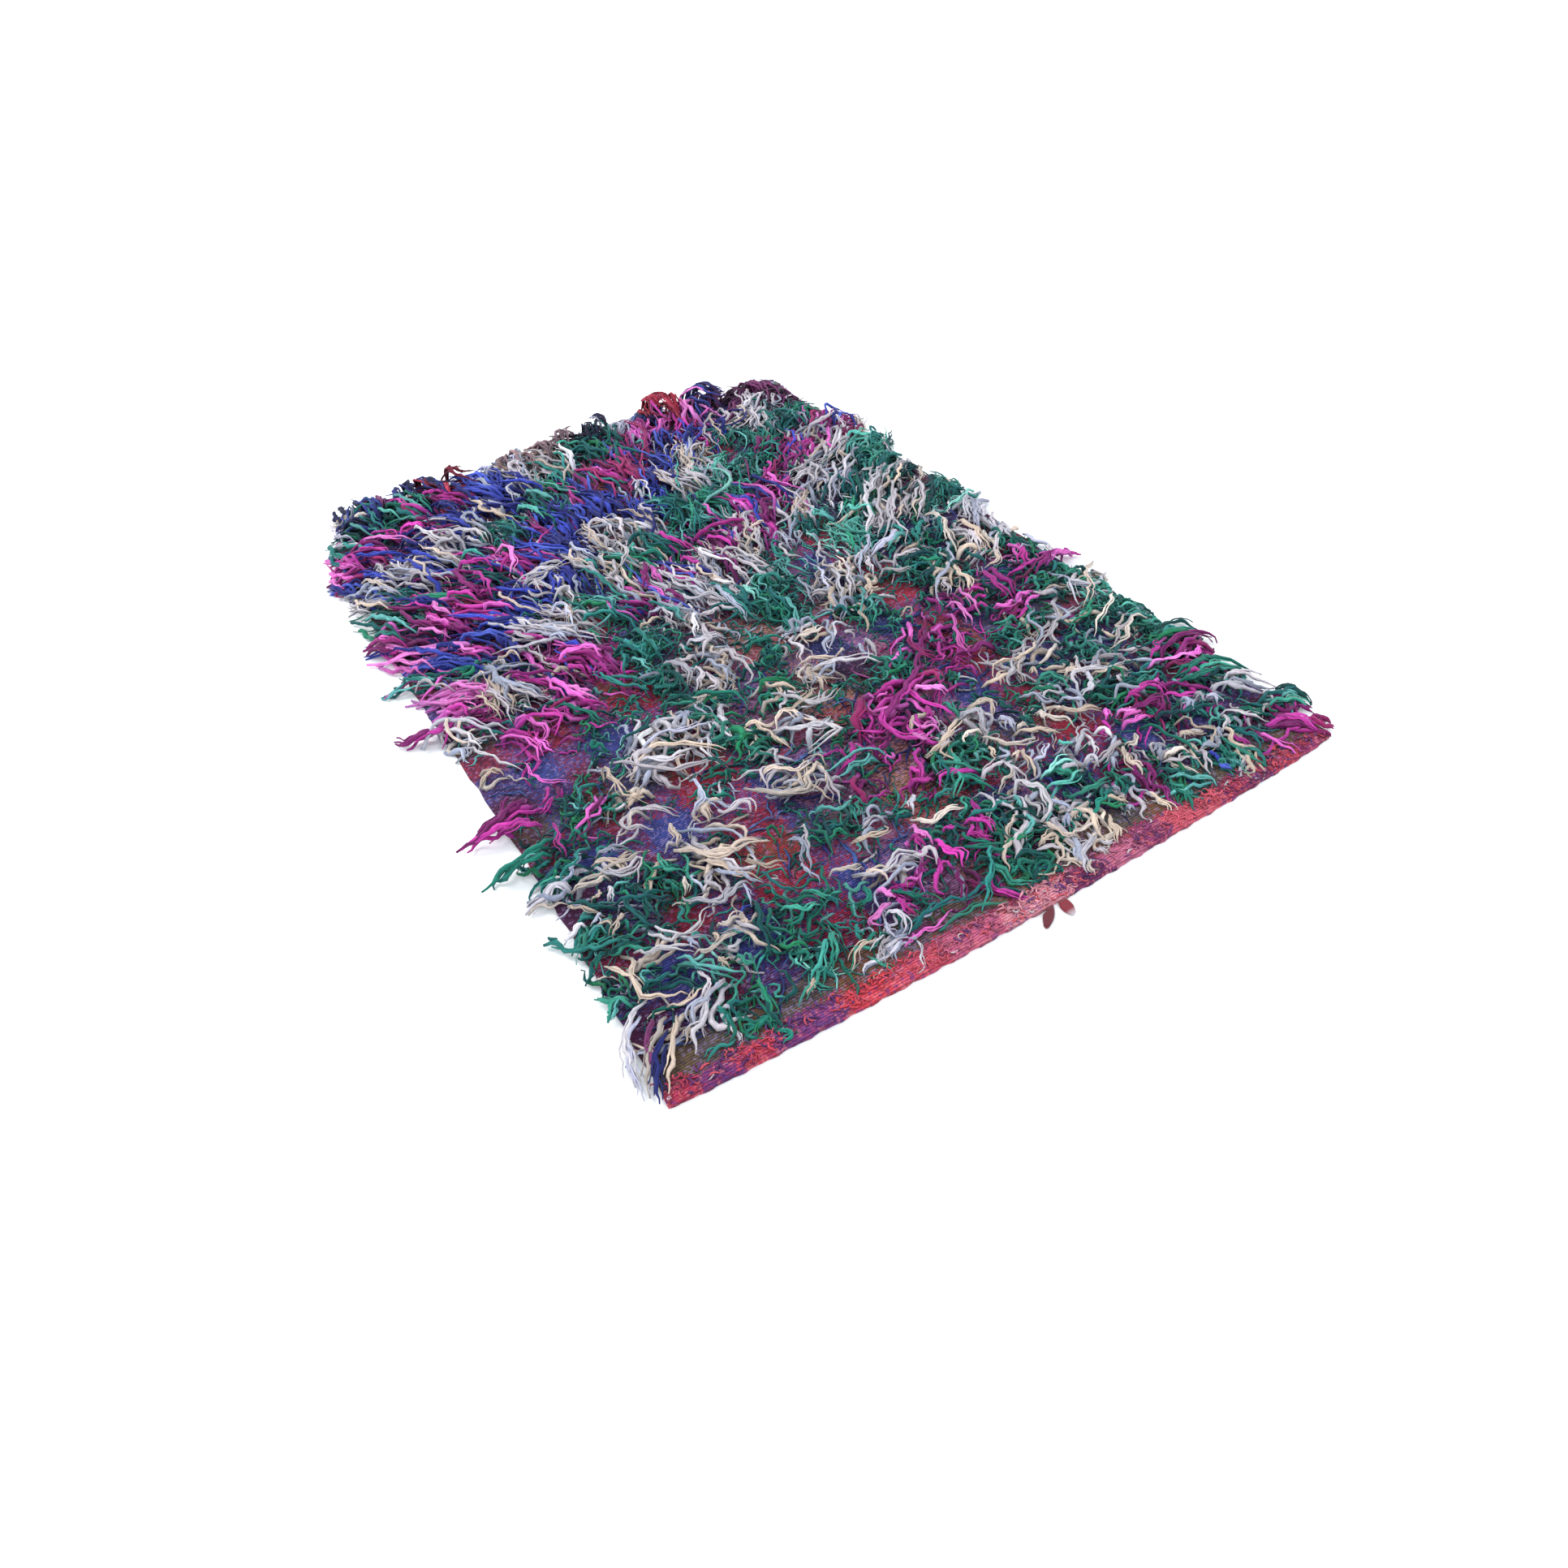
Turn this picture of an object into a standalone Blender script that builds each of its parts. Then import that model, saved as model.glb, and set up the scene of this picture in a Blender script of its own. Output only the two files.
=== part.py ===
"""Long-pile wool rug with a striped flat-woven ground, lying flat.

Units are metres, +Z is up.  X runs across the rug, along its hemmed end, and
Y runs along its length, from the hemmed end (-Y) to the far end (+Y).  The
origin is the middle of the rug's footprint, on the floor.

Pieces:
  rug           one cloth: woven ground, its turned hem and the pile knotted
                into it, as the outer form that the locks fill
  tassel_left   small felted red tab under the middle of the hemmed end
  tassel_right  its pair, a little wider
"""
import math

import bmesh
import bpy
from mathutils import Vector

# --------------------------------------------------------------------------
# Driving dimensions
# --------------------------------------------------------------------------
LEFT_X = -0.500            # left selvedge of the ground, in plan
RIGHT_X = 0.492            # right selvedge
NEAR_Y = -0.700            # hemmed end at its corners
FAR_Y = 0.700              # far end at its corners
NEAR_BOW = 0.017           # the hemmed end bows out in its middle
FAR_BOW = 0.030            # and so does the far end

GROUND_THICKNESS = 0.004   # weft-faced weave
HEM_THICKNESS = 0.006      # turned under, two layers
HEM_DEPTH = 0.028          # depth of the hem band
BARE_BAND = 0.022          # ground that shows between hem and first knots
SIDE_RIM = 0.009           # height of the locks where they lie over a side
FAR_RIM = 0.020            # and over the far end
SIDE_RISE = 0.060          # distance over which the pile comes up to height
KNOT_ROW_PITCH = 0.070     # distance between two rows of knots
KNOT_ROW_RISE = 0.0026     # how far a row stands above the dip behind it

COLUMNS = 34               # mesh cells across
ROWS = 72                  # mesh cells along

TAB_THICKNESS = 0.004      # felted tabs
TAB_CLEARANCE = 0.0003     # gap between a tab and the hem's edge
PLAN_CENTRE = (-0.0111, 0.0108)   # middle of the footprint, in plan

# Pile height along the length.  A zone holds between its two ends and turns
# smoothly into the next one.
PILE_ZONES = [
    # name            y_from  y_to   height
    ("hem_side",      -0.66, -0.60,  0.020),
    ("near_tangled",  -0.56, -0.24,  0.027),
    ("middle",        -0.16,  0.16,  0.030),
    ("far_combed",     0.26,  0.70,  0.037),
]

# Where single bunches stand higher, or the ground shows through between them.
HEAPS = [
    # name               x       y      radius_x radius_y rise
    ("bare_left",       -0.41,  -0.125,  0.090,   0.050, -0.016),
    ("bare_left_low",   -0.39,  -0.205,  0.070,   0.030, -0.008),
    ("bare_middle",     -0.02,  -0.055,  0.060,   0.035, -0.012),
    ("bare_right",       0.30,  -0.020,  0.055,   0.025, -0.008),
    ("bare_near",       -0.27,  -0.400,  0.060,   0.035, -0.009),
    ("bare_near_mid",   -0.12,  -0.540,  0.050,   0.030, -0.007),
    ("cream_loops",     -0.25,  -0.215,  0.090,   0.040,  0.007),
    ("cream_comb",      -0.11,  -0.080,  0.050,   0.070,  0.006),
    ("cream_far",       -0.33,   0.490,  0.060,   0.050,  0.006),
    ("magenta_left",    -0.28,   0.020,  0.055,   0.060,  0.006),
    ("magenta_middle",   0.03,  -0.350,  0.070,   0.050,  0.006),
    ("magenta_right",    0.30,  -0.190,  0.080,   0.050,  0.006),
    ("magenta_ridge",    0.17,   0.270,  0.110,   0.050,  0.007),
    ("green_ridge",      0.36,   0.230,  0.120,   0.060,  0.007),
    ("far_middle",       0.03,   0.640,  0.120,   0.080,  0.006),
]

# Locks that lie out over an edge: how far they reach past the ground there.
OVERHANGS = [
    # side    at     reach  half_width
    ("left",  -0.66,  0.015, 0.050),
    ("left",  -0.56,  0.006, 0.020),
    ("left",  -0.44,  0.018, 0.022),
    ("left",  -0.37,  0.012, 0.022),
    ("left",  -0.315, 0.052, 0.020),
    ("left",  -0.24,  0.062, 0.022),
    ("left",   0.00,  0.054, 0.030),
    ("left",   0.125, 0.058, 0.030),
    ("left",   0.25,  0.042, 0.050),
    ("left",   0.37,  0.032, 0.070),
    ("left",   0.48,  0.042, 0.060),
    ("left",   0.58,  0.020, 0.060),
    ("right", -0.64,  0.026, 0.060),
    ("right", -0.55,  0.012, 0.030),
    ("right", -0.455, 0.036, 0.035),
    ("right", -0.35,  0.014, 0.050),
    ("right", -0.235, 0.024, 0.040),
    ("right", -0.175, 0.042, 0.018),
    ("right", -0.09,  0.006, 0.040),
    ("right",  0.10,  0.042, 0.060),
    ("right",  0.19,  0.018, 0.050),
    ("right",  0.36,  0.044, 0.035),
    ("right",  0.46,  0.040, 0.045),
    ("right",  0.70,  0.004, 0.060),
    ("far",   -0.42,  0.022, 0.060),
    ("far",   -0.32,  0.018, 0.040),
    ("far",   -0.24,  0.012, 0.014),
    ("far",   -0.14,  0.008, 0.050),
    ("far",    0.00,  0.030, 0.080),
    ("far",    0.08,  0.024, 0.040),
    ("far",    0.21,  0.040, 0.050),
    ("far",    0.31,  0.032, 0.040),
    ("far",    0.38,  0.012, 0.014),
    ("far",    0.46,  0.012, 0.060),
]

# Rounded corners of the far end: how far each side draws in there.
FAR_CORNERS = [
    # side    draw_in  over
    ("left",   0.034,  0.100),
    ("right",  0.020,  0.240),
]

# The felted tabs, in plan: root on the hem's edge, tip on the floor.
TABS = [
    # name            root_x   tip_dx   tip_dy   width
    ("tassel_left",   -0.0045, -0.0250, -0.0210, 0.0130),
    ("tassel_right",   0.0130, -0.0030, -0.0235, 0.0155),
]

COLOURS = {
    # name             red   green  blue  roughness
    "rug":            (0.26, 0.20, 0.27, 0.95),
    "tassel_left":    (0.30, 0.03, 0.05, 0.92),
    "tassel_right":   (0.34, 0.04, 0.08, 0.92),
}


# --------------------------------------------------------------------------
# Shape functions, all in plan coordinates
# --------------------------------------------------------------------------
def smoothstep(t):
    t = min(max(t, 0.0), 1.0)
    return t * t * (3.0 - 2.0 * t)


def hump(distance, half_width):
    """1 in the middle, 0 from half_width on, with a soft shoulder."""
    t = abs(distance) / half_width
    return 0.0 if t >= 1.0 else 0.5 + 0.5 * math.cos(math.pi * t)


def overhang(side, at):
    """Reach past the ground: the furthest lock wins, so tips stay slim."""
    return max([reach * hump(at - centre, half * 1.5)
                for name, centre, reach, half in OVERHANGS if name == side] + [0.0])


def side_x(side, y):
    sign, base = (-1.0, LEFT_X) if side == "left" else (1.0, RIGHT_X)
    x = base + sign * (0.003 + overhang(side, y))
    for name, draw_in, over in FAR_CORNERS:
        if name == side:
            x -= sign * draw_in * smoothstep((y - (FAR_Y - over)) / over)
    return x


def end_y(end, x):
    across = (x - LEFT_X) / (RIGHT_X - LEFT_X)
    bow = math.sin(math.pi * min(max(across, 0.0), 1.0))
    if end == "near":
        ripple = 0.0012 * math.sin(9.0 * across + 0.6) * bow
        return NEAR_Y - NEAR_BOW * bow ** 0.45 + ripple
    return FAR_Y + FAR_BOW * bow ** 0.8 + overhang("far", x)


def zone_height(y):
    height = PILE_ZONES[0][3]
    for before, after in zip(PILE_ZONES, PILE_ZONES[1:]):
        share = smoothstep((y - before[2]) / (after[1] - before[2]))
        height += (after[3] - before[3]) * share
    return height


def top_z(x, y, to_side, to_far, from_near):
    """Height of the outer form.  The last three are distances to the edges."""
    pile = zone_height(y)
    for _name, cx, cy, rx, ry, rise in HEAPS:
        squared = ((x - cx) / rx) ** 2 + ((y - cy) / ry) ** 2
        pile += rise * math.exp(-squared)
    row = y / KNOT_ROW_PITCH + 0.9 * math.sin(4.1 * x + 3.0 * y) + 0.5 * math.sin(10.0 * x + 1.0)
    pile += KNOT_ROW_RISE * math.sin(2.0 * math.pi * row)
    pile += 0.0030 * math.sin(27.0 * x + 9.0 * y) * math.cos(21.0 * y - 8.0 * x)
    side = SIDE_RIM + (pile - SIDE_RIM) * smoothstep(to_side / SIDE_RISE)
    z = FAR_RIM + (side - FAR_RIM) * smoothstep(to_far / SIDE_RISE) if side > FAR_RIM else side
    first_knots = HEM_DEPTH + BARE_BAND
    cloth = HEM_THICKNESS if from_near < HEM_DEPTH else GROUND_THICKNESS
    share = smoothstep((from_near - HEM_DEPTH) / (first_knots + 0.045 - HEM_DEPTH))
    return max(cloth + (z - cloth) * share, GROUND_THICKNESS)


def even_steps(count):
    return [i / count for i in range(count + 1)]


def row_steps():
    """Steps along the length, with one row exactly on each edge of the hem."""
    span = FAR_Y - NEAR_Y
    hem = [0.0, 0.5 * HEM_DEPTH / span, HEM_DEPTH / span,
           (HEM_DEPTH + 0.001) / span, (HEM_DEPTH + BARE_BAND) / span]
    rest = ROWS - len(hem) + 1
    return hem + [hem[-1] + (1.0 - hem[-1]) * i / rest for i in range(1, rest + 1)]


def plan_point(u, v):
    """Point of the footprint for u across and v along, each from 0 to 1."""
    y_line = NEAR_Y + (FAR_Y - NEAR_Y) * v
    left, right = side_x("left", y_line), side_x("right", y_line)
    x = left + (right - left) * u
    near, far = end_y("near", x), end_y("far", x)
    return x, near + (far - near) * v


# --------------------------------------------------------------------------
# Blender helpers
# --------------------------------------------------------------------------
def clear_scene():
    for obj in list(bpy.data.objects):
        bpy.data.objects.remove(obj, do_unlink=True)


def make_material(name):
    red, green, blue, roughness = COLOURS[name]
    material = bpy.data.materials.new(name)
    material.use_nodes = True
    shader = material.node_tree.nodes["Principled BSDF"]
    shader.inputs["Base Color"].default_value = (red, green, blue, 1.0)
    shader.inputs["Roughness"].default_value = roughness
    shader.inputs["Metallic"].default_value = 0.0
    return material


def add_object(name, bm):
    bmesh.ops.recalc_face_normals(bm, faces=bm.faces[:])
    mesh = bpy.data.meshes.new(name)
    bm.to_mesh(mesh)
    bm.free()
    mesh.shade_smooth()
    mesh.set_sharp_from_angle(angle=math.radians(50.0))
    obj = bpy.data.objects.new(name, mesh)
    obj.data.materials.append(make_material(name))
    bpy.context.scene.collection.objects.link(obj)
    return obj


# --------------------------------------------------------------------------
# Pieces
# --------------------------------------------------------------------------
def build_rug():
    bm = bmesh.new()
    across, along = even_steps(COLUMNS), row_steps()
    top = []
    for v in along:
        line = []
        for u in across:
            x, y = plan_point(u, v)
            width = side_x("right", y) - side_x("left", y)
            from_near = y - end_y("near", x)
            to_side = min(u, 1.0 - u) * width
            to_far = end_y("far", x) - y
            z = top_z(x, y, to_side, to_far, from_near)
            line.append(bm.verts.new((x - PLAN_CENTRE[0], y - PLAN_CENTRE[1], z)))
        top.append(line)
    for j in range(len(along) - 1):
        for i in range(COLUMNS):
            bm.faces.new((top[j][i], top[j][i + 1], top[j + 1][i + 1], top[j + 1][i]))

    last = len(along) - 1
    rim = ([top[0][i] for i in range(COLUMNS)]
           + [top[j][COLUMNS] for j in range(last)]
           + [top[last][i] for i in range(COLUMNS, 0, -1)]
           + [top[j][0] for j in range(last, 0, -1)])
    foot = [bm.verts.new((v.co.x, v.co.y, 0.0)) for v in rim]
    for k in range(len(rim)):
        n = (k + 1) % len(rim)
        bm.faces.new((rim[n], rim[k], foot[k], foot[n]))
    bm.faces.new(list(reversed(foot)))
    return add_object("rug", bm)


def build_tab(name, root_x, tip_dx, tip_dy, width):
    """A flat felted tab: straight root, sides that swell, rounded tip."""
    root = Vector((root_x, min(end_y("near", root_x - 0.5 * width),
                               end_y("near", root_x + 0.5 * width)) - TAB_CLEARANCE))
    run = Vector((tip_dx, tip_dy))
    aside = Vector((-tip_dy, tip_dx)).normalized()
    steps = 10
    right, left = [], []
    for i in range(steps + 1):
        t = i / steps
        swell = 0.72 + 0.28 * math.sin(math.pi * min(t * 1.3, 1.0))
        taper = math.sqrt(max(1.0 - max(t - 0.62, 0.0) ** 2 / 0.38 ** 2, 0.0))
        half = 0.5 * width * swell * taper
        turned = Vector((1.0, 0.0)).lerp(aside, smoothstep(2.0 * t)).normalized()
        middle = root + run * t
        right.append(middle + turned * half)
        if half > 1e-6:
            left.append(middle - turned * half)
    outline = [point - Vector(PLAN_CENTRE) for point in right + list(reversed(left))]

    middle = sum(outline, Vector((0.0, 0.0))) / len(outline)
    edge = root.y - PLAN_CENTRE[1]
    bm = bmesh.new()
    rings = []
    for z, shrink in ((0.0, 0.90), (0.3, 1.0), (0.7, 1.0), (1.0, 0.82)):
        ring = []
        for point in outline:
            at = middle + (point - middle) * shrink
            ring.append(bm.verts.new((at.x, min(at.y, edge), z * TAB_THICKNESS)))
        rings.append(ring)
    count = len(outline)
    for low, high in zip(rings, rings[1:]):
        for k in range(count):
            n = (k + 1) % count
            bm.faces.new((low[k], low[n], high[n], high[k]))
    bm.faces.new(list(reversed(rings[0])))
    bm.faces.new(rings[-1])
    return add_object(name, bm)


def main():
    clear_scene()
    build_rug()
    for name, root_x, tip_dx, tip_dy, width in TABS:
        build_tab(name, root_x, tip_dx, tip_dy, width)


main()
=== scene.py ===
import math

import bpy
import numpy as np
from mathutils import Matrix, Vector


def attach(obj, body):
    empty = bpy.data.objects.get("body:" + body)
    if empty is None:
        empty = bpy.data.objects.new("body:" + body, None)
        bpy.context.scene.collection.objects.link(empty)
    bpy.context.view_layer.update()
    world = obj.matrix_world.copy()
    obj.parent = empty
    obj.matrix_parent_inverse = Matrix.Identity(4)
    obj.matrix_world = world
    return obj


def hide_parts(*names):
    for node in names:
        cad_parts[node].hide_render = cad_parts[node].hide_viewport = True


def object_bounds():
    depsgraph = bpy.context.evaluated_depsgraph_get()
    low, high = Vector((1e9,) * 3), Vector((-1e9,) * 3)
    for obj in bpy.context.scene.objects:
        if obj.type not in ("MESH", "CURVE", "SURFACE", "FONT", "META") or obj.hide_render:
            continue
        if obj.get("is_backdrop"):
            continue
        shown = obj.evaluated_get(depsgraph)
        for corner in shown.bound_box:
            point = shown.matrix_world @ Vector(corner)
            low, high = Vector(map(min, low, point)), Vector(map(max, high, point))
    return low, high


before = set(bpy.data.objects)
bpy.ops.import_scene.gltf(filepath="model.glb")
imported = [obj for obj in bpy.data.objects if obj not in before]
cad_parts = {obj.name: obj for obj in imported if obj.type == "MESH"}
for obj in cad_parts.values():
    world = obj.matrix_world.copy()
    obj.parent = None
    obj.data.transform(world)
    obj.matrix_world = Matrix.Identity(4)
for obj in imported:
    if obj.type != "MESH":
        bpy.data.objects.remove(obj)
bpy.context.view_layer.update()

# --------------------------------------------------------------------------
# The rug's outline and height, the same as the CAD's.  Plan coordinates are
# the row's coordinates plus PLAN_CENTRE: X across, Y from the hemmed end.
# --------------------------------------------------------------------------
PLAN_CENTRE = np.array([-0.0111, 0.0108])
LEFT_X, RIGHT_X, NEAR_Y, FAR_Y = -0.500, 0.492, -0.700, 0.700
NEAR_BOW, FAR_BOW = 0.017, 0.030
GROUND_THICKNESS, HEM_THICKNESS, HEM_DEPTH = 0.004, 0.006, 0.028
BARE_BAND, SIDE_RIM, FAR_RIM, SIDE_RISE = 0.022, 0.009, 0.020, 0.060

PILE_ZONES = [  # y from, y to, height
    (-0.66, -0.60, 0.020), (-0.56, -0.24, 0.027), (-0.16, 0.16, 0.030), (0.26, 0.70, 0.037)]

HEAPS = [  # x, y, radius x, radius y, rise
    (-0.41, -0.125, 0.090, 0.050, -0.016), (-0.39, -0.205, 0.070, 0.030, -0.008),
    (-0.02, -0.055, 0.060, 0.035, -0.012), (0.30, -0.020, 0.055, 0.025, -0.008),
    (-0.27, -0.400, 0.060, 0.035, -0.009), (-0.12, -0.540, 0.050, 0.030, -0.007),
    (-0.25, -0.215, 0.090, 0.040, 0.007), (-0.11, -0.080, 0.050, 0.070, 0.006),
    (-0.33, 0.490, 0.060, 0.050, 0.006), (-0.28, 0.020, 0.055, 0.060, 0.006),
    (0.03, -0.350, 0.070, 0.050, 0.006), (0.30, -0.190, 0.080, 0.050, 0.006),
    (0.17, 0.270, 0.110, 0.050, 0.007), (0.36, 0.230, 0.120, 0.060, 0.007),
    (0.03, 0.640, 0.120, 0.080, 0.006)]

OVERHANGS = [  # side, at, reach past the ground, half width, colour of the lock
    ("left", -0.66, 0.015, 0.050, "C"), ("left", -0.56, 0.006, 0.020, "G"),
    ("left", -0.44, 0.018, 0.022, "G"), ("left", -0.37, 0.012, 0.022, "C"),
    ("left", -0.315, 0.052, 0.020, "G"), ("left", -0.24, 0.062, 0.022, "M"),
    ("left", 0.00, 0.054, 0.030, "M"), ("left", 0.125, 0.058, 0.030, "M"),
    ("left", 0.25, 0.042, 0.050, "M"), ("left", 0.37, 0.032, 0.070, "C"),
    ("left", 0.48, 0.042, 0.060, "M"), ("left", 0.58, 0.020, 0.060, "G"),
    ("right", -0.64, 0.026, 0.060, "M"), ("right", -0.55, 0.012, 0.030, "G"),
    ("right", -0.455, 0.036, 0.035, "M"), ("right", -0.35, 0.014, 0.050, "G"),
    ("right", -0.235, 0.024, 0.040, "C"), ("right", -0.175, 0.042, 0.018, "M"),
    ("right", -0.09, 0.006, 0.040, "G"), ("right", 0.10, 0.042, 0.060, "G"),
    ("right", 0.19, 0.018, 0.050, "C"), ("right", 0.36, 0.044, 0.035, "G"),
    ("right", 0.46, 0.040, 0.045, "M"), ("right", 0.70, 0.004, 0.060, "P"),
    ("far", -0.42, 0.022, 0.060, "N"), ("far", -0.32, 0.018, 0.040, "N"),
    ("far", -0.24, 0.012, 0.014, "R"), ("far", -0.14, 0.008, 0.050, "T"),
    ("far", 0.00, 0.030, 0.080, "T"), ("far", 0.08, 0.024, 0.040, "K"),
    ("far", 0.21, 0.040, 0.050, "R"), ("far", 0.31, 0.032, 0.040, "N"),
    ("far", 0.38, 0.012, 0.014, "P"), ("far", 0.46, 0.012, 0.060, "P")]

FAR_CORNERS = [("left", 0.034, 0.100), ("right", 0.020, 0.240)]


def smooth(t):
    t = np.clip(t, 0.0, 1.0)
    return t * t * (3.0 - 2.0 * t)


def reach(side, at):
    out = np.zeros_like(np.asarray(at, float))
    for name, centre, far, half, _ in OVERHANGS:
        if name == side:
            t = np.abs(at - centre) / (1.5 * half)
            out = np.maximum(out, np.where(t < 1, far * (0.5 + 0.5 * np.cos(np.pi * np.minimum(t, 1))), 0))
    return out


def side_x(side, y, locks=True):
    sign, base = (-1.0, LEFT_X) if side == "left" else (1.0, RIGHT_X)
    x = base + sign * ((0.003 + reach(side, y)) if locks else 0.0) + 0.0 * y
    for name, draw_in, over in FAR_CORNERS:
        if name == side:
            x = x - sign * draw_in * smooth((y - (FAR_Y - over)) / over)
    return x


def end_y(end, x, locks=True):
    across = (x - LEFT_X) / (RIGHT_X - LEFT_X)
    bow = np.sin(np.pi * np.clip(across, 0.0, 1.0))
    if end == "near":
        return NEAR_Y - NEAR_BOW * np.maximum(bow, 0) ** 0.45 + 0.0012 * np.sin(9.0 * across + 0.6) * bow
    return FAR_Y + FAR_BOW * np.maximum(bow, 0) ** 0.8 + (reach("far", x) if locks else 0.0)


def pile_top(x, y):
    """Height of the CAD's outer form at a plan point."""
    pile = np.full_like(np.asarray(x, float), PILE_ZONES[0][2])
    for a, b in zip(PILE_ZONES, PILE_ZONES[1:]):
        pile = pile + (b[2] - a[2]) * smooth((y - a[1]) / (b[0] - a[1]))
    for cx, cy, rx, ry, rise in HEAPS:
        pile = pile + rise * np.exp(-((x - cx) / rx) ** 2 - ((y - cy) / ry) ** 2)
    to_side = np.minimum(x - side_x("left", y), side_x("right", y) - x)
    to_far = end_y("far", x) - y
    from_near = y - end_y("near", x)
    side = SIDE_RIM + (pile - SIDE_RIM) * smooth(to_side / SIDE_RISE)
    z = np.where(side > FAR_RIM, FAR_RIM + (side - FAR_RIM) * smooth(to_far / SIDE_RISE), side)
    share = smooth((from_near - HEM_DEPTH) / (BARE_BAND + 0.045))
    cloth = np.where(from_near < HEM_DEPTH, HEM_THICKNESS, GROUND_THICKNESS)
    z = cloth + (z - cloth) * share
    out = np.minimum(to_side, to_far)
    return np.maximum(np.where(out < 0, np.maximum(z + 0.35 * out, 0.004), z), 0.004)


def ground_top(x, y):
    """Height of the woven ground, 0 past its edges, where a lock lies on the floor."""
    inside = ((x > side_x("left", y, False)) & (x < side_x("right", y, False))
              & (y > end_y("near", x)) & (y < end_y("far", x, False)))
    return np.where(inside, GROUND_THICKNESS, 0.0)


# --------------------------------------------------------------------------
# Colours of the wool, as sRGB shades with a share each
# --------------------------------------------------------------------------
# Partly the wool's own dyes and partly painted light and shade: a kind holds lighter and darker, cooler tones of one
# wool, lit and shaded copies dealt to the locks at random.
SHADES = {
    "C": [((186, 178, 186), .42), ((156, 161, 180), .26), ((199, 194, 202), .12), ((200, 182, 170), .20)],
    "W": [((199, 194, 200), .7), ((182, 180, 191), .3)],
    "O": [((204, 184, 168), .5), ((206, 193, 184), .5)],
    "L": [((177, 177, 198), .5), ((150, 156, 180), .25), ((202, 197, 208), .25)],
    "G": [((42, 124, 118), .32), ((22, 94, 96), .28), ((88, 158, 154), .18), ((34, 124, 96), .12), ((12, 62, 70), .10)],
    "H": [((26, 108, 94), .40), ((16, 78, 78), .32), ((54, 138, 120), .18), ((28, 116, 80), .10)],
    "E": [((86, 168, 156), .5), ((62, 150, 138), .3), ((134, 200, 190), .2)],
    "V": [((88, 112, 86), .5), ((62, 90, 76), .5)],
    "M": [((178, 50, 146), .36), ((204, 94, 180), .20), ((112, 22, 92), .32), ((162, 38, 128), .12)],
    "I": [((214, 120, 192), .6), ((198, 92, 172), .4)],
    "X": [((114, 20, 78), .6), ((146, 34, 96), .4)],
    "B": [((48, 62, 166), .46), ((70, 88, 184), .16), ((28, 34, 112), .38)],
    "N": [((28, 34, 94), .5), ((44, 56, 130), .3), ((18, 20, 58), .2)],
    "P": [((88, 28, 74), .5), ((116, 52, 100), .3), ((54, 18, 50), .2)],
    "R": [((140, 24, 48), .5), ((98, 16, 40), .3), ((164, 50, 76), .2)],
    "T": [((132, 106, 114), .5), ((152, 126, 118), .3), ((98, 76, 92), .2)],
    "K": [((22, 18, 42), .5), ((34, 32, 66), .5)],
    "D": [((56, 76, 134), .5), ((80, 100, 156), .3), ((38, 50, 102), .2)],
}
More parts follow.
